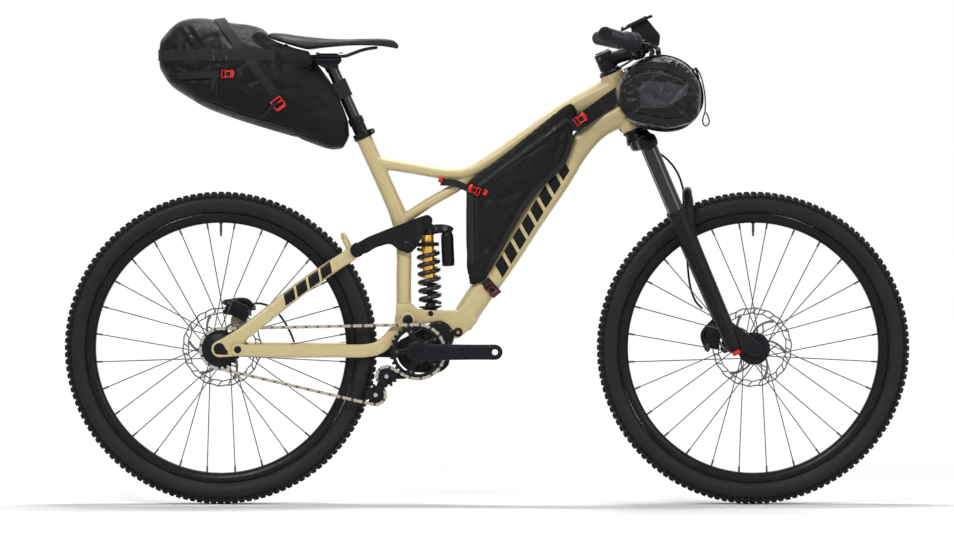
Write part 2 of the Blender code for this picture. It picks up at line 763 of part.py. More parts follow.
def make_seatstay(materials):
    """Two stays joined by an arch over the tyre, with the dropouts that hold the rear axle."""
    pieces = []
    middle = dropout_face + dropout_plate / 2
    eye_middle = stay_eye_half + stay_eye_width / 2
    for side in (-1, 1):
        path = [at(-0.578, 0.010, middle), at(-0.548, 0.031, middle), at(-0.500, 0.068, 0.0725),
                at(-0.430, 0.124, 0.061),
                at(-0.355, 0.177, 0.048), at(-0.313, 0.204, eye_middle),
                    at(stay_pivot_x, stay_pivot_h, eye_middle)]
        widths = [0.0048] * 2 + [0.0070] + [0.0080] * 2 + [stay_eye_width / 2] * 2
        pieces.append(tube("stay", mirrored_path(path, side), [(w, 0.0155) for w in widths], square=2.8,
                           sides=8))
        outline = []
        for centre_x, centre_h, radius, start, end in ((rear_axle_x, 0.0, axle_eye_radius, 100, 262),
                                                        (horst_pivot_x, horst_pivot_h, 0.0150, 285, 400)):
            for k in range(6):
                turn = math.radians(start + (end - start) * k / 5)
                outline.append((centre_x + radius * math.cos(turn), centre_h + radius * math.sin(turn)))
        outline.append((-0.530, 0.034))
        outline.append((-0.556, 0.044))
        low, high = sorted((side * dropout_face, side * (dropout_face + dropout_plate)))
        pieces.append(plate("dropout", outline, low, high))
        pieces.append(rod("eye", at(stay_pivot_x, stay_pivot_h, side * stay_eye_half),
                          at(stay_pivot_x, stay_pivot_h, side * (stay_eye_half + stay_eye_width)),
                              stay_eye_radius, 10))
    arch_points = [at(-0.306, 0.218, eye_middle), at(-0.318, 0.243, eye_middle - 0.006),
                   at(-0.322, 0.252, 0.018),
                   at(-0.322, 0.253, 0.0)]
    half_arch = smooth_path(arch_points, 2)
    arch = half_arch + [Vector((point.x, -point.y, point.z)) for point in reversed(half_arch[:-1])]
    pieces.append(tube("arch", arch, (0.0065, 0.0050), side=Vector((0.43, 0, 0.9)).normalized(), sides=6))
    mount = plate("caliper_mount", [(-0.575, 0.030), (-0.545, 0.050), (-0.532, 0.078), (-0.536, 0.100),
                                    (-0.560, 0.106),
                                    (-0.578, 0.060)], rear_rotor_offset + caliper_half + seat_gap,
                                        dropout_face + 0.006)
    pieces.append(mount)
    cutters = [bore("axle_hole", at(rear_axle_x, 0, -0.1), at(rear_axle_x, 0, 0.1),
                    rear_axle_radius + seat_gap, 10),
               bore("horst_hole", at(horst_pivot_x, horst_pivot_h, -0.1),
                    at(horst_pivot_x, horst_pivot_h, 0.1),
                   horst_pin_radius + seat_gap, 10),
               bore("open_hole", at(stay_pivot_x, stay_pivot_h, -0.1), at(stay_pivot_x, stay_pivot_h, 0.1),
                   stay_pin_radius + open_pivot_clearance, 10)]
    return combine("seatstay", materials["sand"], pieces, cutters)


def make_rear_axle(materials):
    """Through axle with its flat head on the right and a threaded end in the left dropout."""
    face = dropout_face + dropout_plate + seat_gap
    profile = [(0, 0.0095), (0.0012, 0.0110), (0.0035, 0.0110), (0.0035, rear_axle_radius),
               (0.0035 + face + dropout_face + dropout_plate, rear_axle_radius)]
    return turned("rear_axle", profile, at(rear_axle_x, 0, -face - 0.0035), Vector((0, 1, 0)), 12,
                  materials["black"])


def make_rocker(materials):
    """Two plates that flare from the shock to the stays, with the pins of the two open pivots."""
    slices = ((-0.294, 0.2100, 0.2325), (-0.2678, 0.2125, 0.2478), (-0.251, 0.2250, 0.2545),
              (-0.216, 0.2350, 0.2685),
              (-0.194, 0.2160, 0.2770), (-0.159, 0.2190, 0.2900), (-0.143, 0.2560, 0.2960),
                  (-0.128, 0.2730, 0.2965))
    pieces = []

    def inner_face(x):
        """Inner face of a plate: wide at the stays, narrow at the shock."""
        stations = (stay_pivot_x + 0.022, rocker_pivot_x - 0.020, rocker_pivot_x + 0.018,
                    shock_top_x - 0.010)
        values = (rocker_half_at_stay, rocker_boss_half + seat_gap, rocker_boss_half + seat_gap,
                  rocker_half_at_shock)
        return float(np.interp(x, stations, values))

    for side in (-1, 1):
        rings = []
        for x, low, high in slices:
            near = side * inner_face(x)
            far = side * (inner_face(x) + rocker_plate)
            rings.append([at(x, low, near), at(x, high, near), at(x, high, far), at(x, low, far)])
        pieces.append(loft("plate", rings))
        for x, h, radius in ((stay_pivot_x, stay_pivot_h, 0.0155),
                             (rocker_pivot_x, rocker_pivot_h, 0.0160)):
            pieces.append(rod("boss", at(x, h, side * (inner_face(x) + 0.0004)),
                              at(x, h, side * (inner_face(x) + rocker_plate + 0.0008)), radius, 10))
        pieces.append(rod("stay_pin", at(stay_pivot_x, stay_pivot_h, side * (stay_eye_half + 0.0004)),
                          at(stay_pivot_x, stay_pivot_h, side * (rocker_half_at_stay + 0.004)),
                              stay_pin_radius, 10))
    outer = rocker_half_at_shock + rocker_plate
    pieces.append(rod("eye_boss", at(shock_top_x, shock_top_h, -outer - 0.001),
                      at(shock_top_x, shock_top_h, -rocker_half_at_shock), 0.0125, 10))
    pieces.append(rod("eye_boss", at(shock_top_x, shock_top_h, outer + 0.001),
                      at(shock_top_x, shock_top_h, rocker_half_at_shock), 0.0125, 10))
    pieces.append(rod("shock_pin", at(shock_top_x, shock_top_h, -outer + 0.002),
                      at(shock_top_x, shock_top_h, outer - 0.002),
                      pivot_bolt_radius, 10))
    pieces.append(rod("cross_bar", at(-0.2630, 0.2345, -rocker_half_at_stay - 0.001),
                      at(-0.2630, 0.2345, rocker_half_at_stay + 0.001),
                      0.0060, 10))
    hole = bore("hole", at(rocker_pivot_x, rocker_pivot_h, -0.1), at(rocker_pivot_x, rocker_pivot_h, 0.1),
               pivot_axle_radius + seat_gap, 10)
    return combine("rocker", materials["black"], pieces, [hole])


# Coil shock

def shock_point(up, ahead=0.0, y=0.0):
    """Point on the shock's axis, up from its lower eye."""
    low = at(shock_bottom_x, shock_bottom_h)
    along = (at(shock_top_x, shock_top_h) - low).normalized()
    forward = Vector((along.z, 0, -along.x))
    return low + along * up + forward * ahead + Vector((0, y, 0))


def make_shock(materials):
    """Shaft with its lower eye and spring seat, and the gold body with its black head and reservoir."""
    length = (at(shock_top_x, shock_top_h) - at(shock_bottom_x, shock_bottom_h)).length
    along = shock_point(1) - shock_point(0)
    seat_top = coil_bottom - coil_wire / 2 - seat_gap
    eye = rod("eye", shock_point(0, y=-0.0130), shock_point(0, y=0.0130), 0.0105, 10)
    stem = turned("stem", [(0.0, 0.0085), (seat_top - 0.009, 0.0120),
                           (seat_top - 0.002, coil_radius + 0.0045),
                           (seat_top, coil_radius + 0.0045), (seat_top, 0.0120), (seat_top + 0.006, 0.0105),
                           (seat_top + 0.006, shock_shaft_radius), (shaft_top, shock_shaft_radius)],
                               shock_point(0), along, 10)
    eye_bore = bore("bore", shock_point(0, y=-0.03), shock_point(0, y=0.03), pivot_bolt_radius + seat_gap,
                    10)
    shaft = combine("shock_shaft", materials["black"], [stem, eye], [eye_bore])

    collar_low = coil_top + coil_wire / 2 + seat_gap
    barrel = turned("barrel", [(body_bottom, shock_body_radius),
                               (collar_low, shock_body_radius), (collar_low, coil_radius + 0.0040),
                               (collar_low + 0.008, coil_radius + 0.0040),
                                   (collar_low + 0.010, shock_body_radius),
                               (length - 0.032, shock_body_radius), (length - 0.030, 0.0163),
                                   (length - 0.012, 0.0163),
                               (length - 0.006, 0.0120)], shock_point(0), along, 10)
    shaft_bore = bore("shaft_bore", shock_point(body_bottom - 0.01),
                      shock_point(shaft_top + shock_travel + 0.002),
                     shock_shaft_radius + running_gap, 10)
    top_eye = rod("top_eye", shock_point(length, y=-0.0125), shock_point(length, y=0.0125), 0.0122, 10)
    bridge = loft("bridge", [oval(shock_point(length - 0.021, 0.004), Vector((0, 1, 0)), along, 0.012,
                                  0.0115, 8, 3.0),
                             oval(shock_point(length - 0.019, 0.036), Vector((0, 1, 0)), along, 0.011,
                                  0.0100, 8, 3.0),
                             oval(shock_point(length - 0.027, 0.056), Vector((0, 1, 0)), along, 0.010,
                                  0.0080, 8, 3.0)])
    tank = turned("tank", [(length - 0.104, 0.0125), (length - 0.102, 0.0142), (length - 0.040, 0.0142),
                           (length - 0.032, 0.0125),
                           (length - 0.022, 0.0100)], shock_point(0, reservoir_ahead), along, 10)
    hole = bore("hole", shock_point(length, y=-0.03), shock_point(length, y=0.03),
                pivot_bolt_radius + shock_eye_clearance, 10)
    body = combine("shock_body", materials["gold"], [barrel, top_eye, bridge, tank], [hole, shaft_bore])
    return shaft, body


def coil_points():
    """Centre line of the spring: a helix whose two ends run straight for one wire diameter."""
    steps = 8
    count = int(coil_turns * steps)
    rise = coil_top - coil_bottom
    low = shock_point(0)
    along = (shock_point(1) - low).normalized()
    side = Vector((0, 1, 0))
    ahead = side.cross(along)
    points = []
    for k in range(count + 1):
        turn = 2 * math.pi * k / steps
        height = coil_bottom + rise * k / count
        points.append(low + along * height + (ahead * math.cos(turn) + side * math.sin(turn)) * coil_radius)
    start = (points[0] - points[1]).cross(along).cross(-along).normalized()
    end = (points[-1] - points[-2]).cross(along).cross(-along).normalized()
    return [points[0] + start * coil_wire] + points + [points[-1] + end * coil_wire]


def make_coil(materials):
    """Spring wire as one unbroken tube; its least gap to itself is measured and printed."""
    points = coil_points()
    curve = bpy.data.curves.new("coil_spring", "CURVE")
    curve.dimensions = "3D"
    curve.bevel_depth = coil_wire / 2
    curve.bevel_resolution = 1
    curve.use_fill_caps = True
    spline = curve.splines.new("POLY")
    spline.points.add(len(points) - 1)
    for target, point in zip(spline.points, points):
        target.co = (*point, 1.0)
    curve.materials.append(materials["plastic"])
    piece = bpy.data.objects.new("coil_spring", curve)
    bpy.context.scene.collection.objects.link(piece)
    line = np.array([tuple(point) for point in points])
    gaps = np.linalg.norm(line[:, None] - line[None, :], axis=2)
    order = np.abs(np.subtract.outer(np.arange(len(line)), np.arange(len(line))))
    print("coil spring: least gap to itself %.2f mm" % ((gaps[order >= 6].min() - coil_wire) * 1000))
    return piece


# Gearbox, cranks and chain

def gearbox_outline(extra):
    """Outline of the gearbox casing, grown all round by extra."""
    outline = []
    for x, h, radius, start, end in ((crank_x, crank_h, 0.048, 150, 268),
                                     (crank_x + 0.034, crank_h - 0.008, 0.042, 268, 330),
                                     (lobe_x, lobe_h, 0.0365, 332, 446)):
        for k in range(6):
            turn = math.radians(start + (end - start) * k / 5)
            outline.append((x + (radius + extra) * math.cos(turn), h + (radius + extra) * math.sin(turn)))
    outline += [(-0.1435, 0.0515 + extra),
                (-0.2015 - extra, 0.0445 + extra), (-0.2035 - extra, 0.034)]
    return outline


def make_gearbox(materials):
    """Gearbox casing under the frame, with its round side covers and ribs."""
    crank = at(crank_x, crank_h)
    casing = plate("casing", gearbox_outline(0.0), -casing_half_width, casing_half_width)
    proud = gearbox_half_width - casing_half_width + 0.001
    pieces = [casing]
    pieces.append(turned("cover", [(0, gearbox_cover_radius), (proud - 0.0012, gearbox_cover_radius),
                                   (proud, gearbox_cover_radius - 0.003)],
                                   at(lobe_x, lobe_h, -casing_half_width + 0.001),
                         Vector((0, -1, 0)), 18))
    pieces.append(turned("cover_left", [(0, 0.046), (proud - 0.002, 0.046), (proud, 0.042)],
                         at(-0.140, 0.000, casing_half_width - 0.001),
                         Vector((0, 1, 0)), 16))
    pieces.append(turned("boss", [(0, 0.030), (proud - 0.003, 0.030), (proud - 0.001, 0.026)],
                         crank + Vector((0, -casing_half_width + 0.001, 0)),
                         Vector((0, -1, 0)), 14))
    ear = rod("ear", at(gearbox_ear_x, gearbox_ear_h, -casing_half_width - 0.0025),
              at(gearbox_ear_x, gearbox_ear_h, casing_half_width + 0.0025), gearbox_ear_radius, 12)
    pieces.append(ear)
    cutters = [bore("ear_hole", at(gearbox_ear_x, gearbox_ear_h, -0.1),
                    at(gearbox_ear_x, gearbox_ear_h, 0.1), 0.0040, 8),
               bore("axle_hole", at(crank_x, crank_h, -0.1), at(crank_x, crank_h, 0.1),
                    axle_radius + running_gap, 12),
               bore("frame_relief", at(main_pivot_x, main_pivot_h, -0.1),
                    at(main_pivot_x, main_pivot_h, 0.1), 0.0195, 14)]
    return combine("gearbox_housing", materials["black"], pieces, cutters)


def make_crank(name, side, direction, materials):
    """Crank arm clamped on the axle, tapering to the pedal eye, with a lightening pocket behind."""
    outer = side * crank_face
    inner = side * (crank_face - crank_thickness)
    centre = at(crank_x, crank_h)
    eye_x = direction * crank_length
    outline = []
    for middle, radius, start, end in ((0.0, crank_hub_radius, 75, 285),
                                       (eye_x * direction, crank_tip_radius, -90, 90)):
        for k in range(8):
            turn = math.radians(start + (end - start) * k / 7)
            outline.append((direction * (middle + radius * math.cos(turn)), radius * math.sin(turn)))
    rings = [[centre + Vector((x, y, z)) for x, z in outline] for y in (inner, outer)]
    arm = loft("arm", rings, angle=30)
    boss = turned("boss", [(0, 0.0190), (crank_boss_depth, 0.0190)],
                  centre + Vector((0, inner - side * crank_boss_depth, 0)),
                  Vector((0, side, 0)), 14)
    cutters = [bore("pedal_hole", centre + Vector((eye_x, inner - side * 0.01, 0)),
                    centre + Vector((eye_x, outer + side * 0.01, 0)),
                   pedal_hole_radius, 12),
               bore("spline", centre + Vector((0, inner - side * 0.05, 0)),
                    centre + Vector((0, outer - side * 0.004, 0)),
                   axle_radius + seat_gap, 12)]
    return combine(name, materials["black"], [arm, boss], cutters)


def make_crank_axle(materials):
    end = crank_face - 0.0045
    return rod("crank_axle", at(crank_x, crank_h, -end), at(crank_x, crank_h, end), axle_radius, 12,
               materials["steel"])


def belt_circle(teeth):
    return chain_pitch * teeth / (2 * math.pi)


def chain_circles(swing):
    """Centre, pitch radius and sense of each sprocket in the order the chain meets them."""
    upper = np.array((upper_pulley_x, upper_pulley_h))
    lower = upper + cage_length * np.array((math.cos(swing - math.pi / 2 + 0.0),
                                            math.sin(swing - math.pi / 2 + 0.0)))
    return [
        (np.array((crank_x, crank_h)), belt_circle(ring_teeth), 1),
        (upper, belt_circle(pulley_teeth), -1),
        (lower, belt_circle(pulley_teeth), 1),
        (np.array((rear_axle_x, 0.0)), belt_circle(cog_teeth), 1),
    ]


def chain_path(swing):
    """Straight runs and arcs of the closed chain, each as (kind, length, data)."""
    circles = chain_circles(swing)
    runs = []
    for i in range(len(circles)):
        c0, r0, s0 = circles[i]
        c1, r1, s1 = circles[(i + 1) % len(circles)]
        gap = c1 - c0
        reach = np.hypot(*gap)
        heading = math.atan2(gap[1], gap[0]) - math.asin((s0 * r0 - s1 * r1) / reach)
        normal = np.array((-math.sin(heading), math.cos(heading)))
        runs.append((c0 + s0 * r0 * normal, c1 + s1 * r1 * normal, heading))
    parts = []
    for i in range(len(circles)):
        centre, radius, sense = circles[i]
        before = runs[i - 1]
        start = math.atan2(*(before[1] - centre)[::-1])
        end = math.atan2(*(runs[i][0] - centre)[::-1])
        turn = (start - end) * sense % (2 * math.pi)
        parts.append(("arc", radius * turn, (centre, radius, start, -sense)))
        parts.append(("run", float(np.hypot(*(runs[i][1] - runs[i][0]))), (runs[i][0], runs[i][2])))
    return parts


def chain_place(parts, distance):
    """Point (x, h) and heading on the chain at a distance along it."""
    total = sum(part[1] for part in parts)
    left = distance % total
    for kind, length, data in parts:
        if left <= length:
            break
        left -= length
    if kind == "run":
        start, heading = data
        return start + left * np.array((math.cos(heading), math.sin(heading))), heading
    centre, radius, start, sense = data
    turn = start + sense * left / radius
    return centre + radius * np.array((math.cos(turn), math.sin(turn))), turn + sense * math.pi / 2


def fit_chain():
    """Cage angle at which the chain is a whole even number of links, found by halving."""
    def length(swing):
        return sum(part[1] for part in chain_path(swing))

    links = 2 * round(length(cage_swing) / chain_pitch / 2)
    low = cage_swing - math.radians(22)
    high = cage_swing + math.radians(22)
    rising = length(high) > length(low)
    for _ in range(50):
        middle = (low + high) / 2
        if (length(middle) < links * chain_pitch) == rising:
            low = middle
        else:
            high = middle
    return links, (low + high) / 2


def make_chain(materials, links, parts):
    """One closed ladder: side plates that step in and out from link to link, joined by rollers."""
    points = []
    faces = []
    half_height = chain_plate_height / 2
    outer_step = chain_plate + 0.0001
    for link in range(links):
        for which, shift in enumerate((-chain_pin_half, chain_pin_half)):
            place, heading = chain_place(parts, link * chain_pitch + shift)
            up = np.array((-math.sin(heading), math.cos(heading)))
            wide = outer_step if (link + which) % 2 else 0.0
            for side in (-1, 1):
                for y in (chain_inner_half + wide, chain_inner_half + wide + chain_plate):
                    for sign in (-1, 1):
                        spot = place + up * sign * half_height
                        points.append(at(spot[0], spot[1], -chain_line + side * y))
    total = links * 2
    for station in range(total):
        a = station * 8
        b = (station + 1) % total * 8
        for rail in (0, 4):
            corners = (0, 1, 3, 2)
            for j in range(4):
                p = rail + corners[j]
                q = rail + corners[(j + 1) % 4]
                inner_pair = {corners[j], corners[(j + 1) % 4]} == {0, 1}
                if station % 2 == 0 and inner_pair:
                    continue
                faces.append((a + p, a + q, b + q, b + p))
        if station % 2 == 0:
            ends = ((a + 0, a + 1, b + 1, b + 0), (a + 4, a + 5, b + 5, b + 4))
            for j in range(4):
                k = (j + 1) % 4
                faces.append((ends[0][j], ends[0][k], ends[1][k], ends[1][j]))
    return make_object("chain", points, faces, materials["chain"], 30)


def tooth_phase(parts, centre):
    """Direction from a sprocket's centre to a chain pin that lies on it, as a clockwise turn from up."""
    total = int(round(sum(part[1] for part in parts) / chain_pitch))
    best = None
    for link in range(total):
        place, _ = chain_place(parts, link * chain_pitch)
        distance = float(np.hypot(*(place - centre)))
        if best is None or distance < best[0]:
            best = (distance, math.atan2(place[0] - centre[0], place[1] - centre[1]))
    return best[1]


def make_sprocket(name, centre, phase, teeth, bore_radius, bosses, windows, material):
    """Toothed plate whose gaps sit on the chain's rollers, with bosses, a bore and round windows."""
    radius = belt_circle(teeth)
    root = radius - roller_radius - 0.0004
    tip = radius + 0.0016
    half = sprocket_thickness / 2
    points = []
    faces = []
    for index in range(teeth):
        for share, reach in ((-0.228, root), (0.228, root), (0.5, tip)):
            turn = phase + 2 * math.pi * (index + share) / teeth
            for y in (-half, half):
                points.append(centre + Vector((math.sin(turn) * reach, y - chain_line,
                                               math.cos(turn) * reach)))
    count = teeth * 3
    for j in range(count):
        k = (j + 1) % count
        faces.append((2 * j, 2 * j + 1, 2 * k + 1, 2 * k))
    faces.append(tuple(2 * j for j in range(count)))
    faces.append(tuple(2 * j + 1 for j in range(count)))
    pieces = [make_object("blade", points, faces)]
    for reach, low, high in bosses:
        pieces.append(turned("boss", [(low, reach), (high, reach)], centre, Vector((0, 1, 0)), 10))
    cutters = [bore("bore", centre - Vector((0, 0.12, 0)), centre, bore_radius, 10)]
    for turn, reach, size in windows:
        spot = centre + Vector((math.sin(turn) * reach, -chain_line, math.cos(turn) * reach))
        cutters.append(rod("window", spot - Vector((0, 0.02, 0)), spot + Vector((0, 0.02, 0)), size, 8))
    return combine(name, material, pieces, cutters)


def make_tensioner(materials, swing):
    """Arm from the gearbox to the upper pulley, and the two-plate cage that holds the lower pulley."""
    upper = at(upper_pulley_x, upper_pulley_h)
    lower_x = upper_pulley_x + cage_length * math.cos(swing - math.pi / 2)
    lower_h = upper_pulley_h + cage_length * math.sin(swing - math.pi / 2)
    y0 = -chain_line
    arm_path = [at(-0.170, -0.0520, y0 + 0.0165), at(-0.184, -0.060, y0 + 0.0165),
                at(upper_pulley_x, upper_pulley_h, y0 + 0.0165)]
    arm = tube("arm", arm_path, (0.0035, 0.0085), sides=8, square=3.0)
    eye = rod("eye", upper + Vector((0, y0 + 0.0130, 0)), upper + Vector((0, y0 + 0.0200, 0)), 0.0110, 12)
    post = rod("post", at(-0.172, -0.0500, y0 + 0.013), at(-0.172, -0.0500, -casing_half_width - seat_gap),
               0.0075, 8)
    pin = rod("pin", upper + Vector((0, y0 - 0.0125, 0)), upper + Vector((0, y0 + 0.0140, 0)),
              pulley_pin_radius, 10)
    head = rod("head", upper + Vector((0, y0 - 0.0125, 0)), upper + Vector((0, y0 - 0.0100, 0)), 0.0050, 10)
    arm_piece = combine("tensioner_arm", materials["black"], [arm, eye, post, pin, head])
    pieces = []
    for y in (y0 - 0.0092, y0 + 0.0072):
        pieces.append(loft("cage_plate", [
            [Vector((p.x, y + thick, p.z)) for p in cage_outline(swing)] for thick in (0.0, 0.0020)]))
    pieces.append(rod("lower_pin", at(lower_x, lower_h, y0 - 0.0105), at(lower_x, lower_h, y0 + 0.0105),
                      pulley_pin_radius, 10))
    pieces.append(rod("lower_head", at(lower_x, lower_h, y0 - 0.0115), at(lower_x, lower_h, y0 - 0.0090),
                      0.0050, 10))
    hole = bore("hole", upper - Vector((0, 0.1, 0)), upper + Vector((0, 0.0, 0)),
                pulley_pin_radius + running_gap, 10)
    cage = combine("tensioner_cage", materials["black"], pieces, [hole])
    return arm_piece, cage, (lower_x, lower_h)


def cage_outline(swing):
    """Outline of a cage plate: two round ends joined by straight sides."""
    along = Vector((math.cos(swing - math.pi / 2), 0, math.sin(swing - math.pi / 2)))
    side = Vector((-along.z, 0, along.x))
    upper = at(upper_pulley_x, upper_pulley_h)
    outline = []
    for middle, sign in ((upper, -1), (upper + along * cage_length, 1)):
        for k in range(7):
            turn = math.radians(-90 + 30 * k)
            outline.append(middle + (along * math.cos(turn) + side * math.sin(turn)) * cage_plate_radius * sign)
    return outline


# Fork

def make_steering(materials):
    """Crown with its steerer tube, the two stanchions pressed into it, and the top cap."""
    along = steer_point(1) - steer_point(0)
    half = fork_leg_spacing / 2
    stem_top = -headset_height - stem_height
    steerer = rod("steerer", steer_point(stem_top), steer_point(crown_top + 0.004), steerer_radius, 12)
    race = turned("race", [(crown_top, 0.0255), (crown_shoulder + 0.010, 0.0290)], steer_point(0), along,
                  14)
    rings = []
    for y, drop, deep, back, front in ((-half - 0.024, 0.010, 0.034, 0.004, 0.027),
                                       (-half - 0.014, 0.002, 0.034, -0.006, 0.035),
                                        (-half + 0.014, 0.000, 0.034, -0.008, 0.035),
                                            (-0.030, 0.000, 0.028, -0.022, 0.031),
                                        (0.030, 0.000, 0.028, -0.022, 0.031),
                                            (half - 0.014, 0.000, 0.034, -0.008, 0.035),
                                        (half + 0.014, 0.002, 0.034, -0.006, 0.035),
                                            (half + 0.024, 0.010, 0.034, 0.004, 0.027)):
        top = crown_shoulder + drop
        low = crown_shoulder + deep
        rings.append([steer_point(low, back, y), steer_point(low, front, y),
                      steer_point((top + low) / 2, front + 0.002, y),
                      steer_point(top, front - 0.004, y), steer_point(top, back + 0.004, y),
                      steer_point((top + low) / 2, back - 0.002, y)])
    crown = loft("crown", rings)
    cutters = []
    stanchions = []
    for side, name in ((-1, "stanchion_right"), (1, "stanchion_left")):
        y = side * half
        start = steer_point(crown_shoulder + 0.006, stanchion_ahead, y)
        end = steer_point(seal_down + stanchion_overlap, stanchion_ahead, y)
        cutters.append(bore("socket", start - along * 0.0004, start + along * 0.06,
                            stanchion_radius + seat_gap, 14))
        stanchions.append(rod(name, start, end, stanchion_radius, 14, materials["stanchion"]))
    fork = combine("fork_crown", materials["black"], [crown, race, steerer], cutters)
    return [fork] + stanchions


def make_lowers(materials):
    """Two lower legs joined by the arch, with the dropouts that hold the front axle."""
    along = steer_point(1) - steer_point(0)
    half = fork_leg_spacing / 2
    pieces = []
    cutters = []
    axle = at(front_axle_x, 0)
    for side in (-1, 1):
        y = side * half
        profile = [(seal_down, 0.0195), (seal_down + 0.004, lower_leg_radius),
                   (seal_down + 0.045, lower_leg_radius),
                   (seal_down + 0.085, lower_leg_radius - 0.0012),
                       (fork_length - 0.075, lower_leg_radius - 0.0035),
                   (fork_length - 0.012, lower_leg_radius - 0.0075)]
        pieces.append(turned("leg", profile, steer_point(0, stanchion_ahead, y), along, 14))
        inner = side * front_hub_width / 2 + side * 0.0003
        outer = side * (front_hub_width / 2 + 0.017)
        rings = []
        for y_face in (inner, outer):
            ring = []
            for k in range(9):
                turn = math.radians(-150 + 210 * k / 8)
                ring.append(axle + Vector((0.0185 * math.cos(turn), y_face, 0.0185 * math.sin(turn))))
            ring.append(steer_point(fork_length - 0.085, stanchion_ahead + 0.010, y_face))
            ring.append(steer_point(fork_length - 0.085, stanchion_ahead - 0.006, y_face))
            ring.append(steer_point(fork_length - 0.010, stanchion_ahead - 0.006, y_face))
            rings.append(ring)
        pieces.append(loft("dropout", rings))
        leg_bore = bore("bore", steer_point(seal_down - 0.02, stanchion_ahead, y),
                        steer_point(seal_down + stanchion_overlap + fork_travel + 0.004, stanchion_ahead,
                                    y),
                   stanchion_radius + 0.0005, 14)
        cutters.append(leg_bore)
    arch = []
    for y, down, ahead in ((half, 0.392, 0.020), (half - 0.004, 0.362, 0.033), (half - 0.016, 0.334, 0.045),
                           (0.030, 0.315, arch_ahead - 0.003), (0.0, arch_top_down, arch_ahead)):
        arch.append(steer_point(down, ahead, y))
    whole = arch + [Vector((p.x, -p.y, p.z)) for p in reversed(arch[:-1])]
    forward = steer_point(0, 1) - steer_point(0)
    pieces.append(tube("arch", whole, [(0.0120, 0.0095)] * 2 + [(0.0100, 0.0085)] * 5 + [(0.0120,
            0.0095)] * 2,
                       side=forward, sides=8, square=3.0))
    mount_y = front_rotor_offset + caliper_half + seat_gap
    pieces.append(plate("caliper_mount", [(0.548, 0.070), (0.520, 0.072), (0.512, 0.058), (0.522, 0.050),
                                          (0.530, 0.020),
                                          (0.524, -0.006), (0.534, -0.016), (0.560, 0.000)], mount_y,
                                              mount_y + 0.012))
    cutters.append(bore("axle_hole", axle - Vector((0, 0.12, 0)), axle + Vector((0, 0.12, 0)),
                        front_axle_radius + seat_gap, 12))
    foot = steer_point(fork_length - 0.012, stanchion_ahead, -half)
    cutters.append(bore("knob_room", foot, foot + along * 0.05, 0.0108, 10))
    lowers = combine("fork_lowers", materials["black"], pieces, cutters)
    face = front_hub_width / 2 + 0.017 + seat_gap
    profile = [(0, 0.0080), (0.0010, 0.0100), (0.0040, 0.0100), (0.0040, front_axle_radius),
               (0.0040 + 2 * face - 0.001, front_axle_radius)]
    front_axle = turned("front_axle", profile, axle - Vector((0, face + 0.0040, 0)), Vector((0, 1, 0)), 12,
                        materials["black"])
    knob = turned("rebound_knob", [(0, 0.0090), (0.0020, 0.0100), (0.0100, 0.0100), (0.0120, 0.0085)],
                  foot + along * seat_gap, along, 10,
                  materials["red"])
    return lowers, front_axle, knob


def make_caliper(name, centre, offset, start, end, bracket, materials):
    """Brake caliper over the disc's edge: a slotted body with piston caps and a bracket."""
    half = caliper_half
    pieces = []
    outline = []
    for radius, angles in ((0.074, (start, (start + end) / 2, end)),
                           (0.109, (end - 5, (start + end) / 2, start + 5))):
        for angle in angles:
            turn = math.radians(angle)
            outline.append((radius * math.cos(turn), radius * math.sin(turn)))
    rings = [[centre + Vector((x, y, z)) for x, z in outline] for y in (offset - half, offset + half)]
    pieces.append(loft("body", rings))
    middle = math.radians((start + end) / 2)
    spot = centre + Vector((math.cos(middle), 0, math.sin(middle))) * 0.087
    pieces.append(rod("cap", spot + Vector((0, offset - half - 0.002, 0)),
                      spot + Vector((0, offset + half - 0.001, 0)), 0.0105, 12))
    feet = []
    for angle, radius in bracket:
        turn = math.radians(angle)
        feet.append(centre + Vector((math.cos(turn) * radius, offset + half - 0.0035,
                                     math.sin(turn) * radius)))
    pieces.append(tube("bracket", feet, (0.0035, 0.0062), sides=8, square=3.0))
    inner = rotor_radius + 0.0025
    slot = turned("slot", [(offset - 0.0022, 0.050), (offset + 0.0022, 0.050), (offset + 0.0022, inner),
                           (offset - 0.0022, inner)],
                  centre, Vector((0, 1, 0)), 48, hollow=True)
    return combine(name, materials["black"], pieces, [slot])


# Cockpit

def bar_point(y, ahead=0.0, up=0.0):
    """Point on the handlebar's centre line, which is straight between the clamp, the bend and the end."""
    centre = steer_point(-stem_rise, stem_length)
    stations = (bar_clamp_half, bar_bend_y, bar_width / 2)
    reach = abs(y)
    back = float(np.interp(reach, stations, (0.0, bar_bend_back, bar_end_back)))
    rise = float(np.interp(reach, stations, (0.0, bar_bend_rise, bar_end_rise)))
    if reach > bar_width / 2:
        extra = (reach - bar_width / 2) / (bar_width / 2 - bar_bend_y)
        back += extra * (bar_end_back - bar_bend_back)
        rise += extra * (bar_end_rise - bar_bend_rise)
    return centre + Vector((back + ahead, y, rise + up))


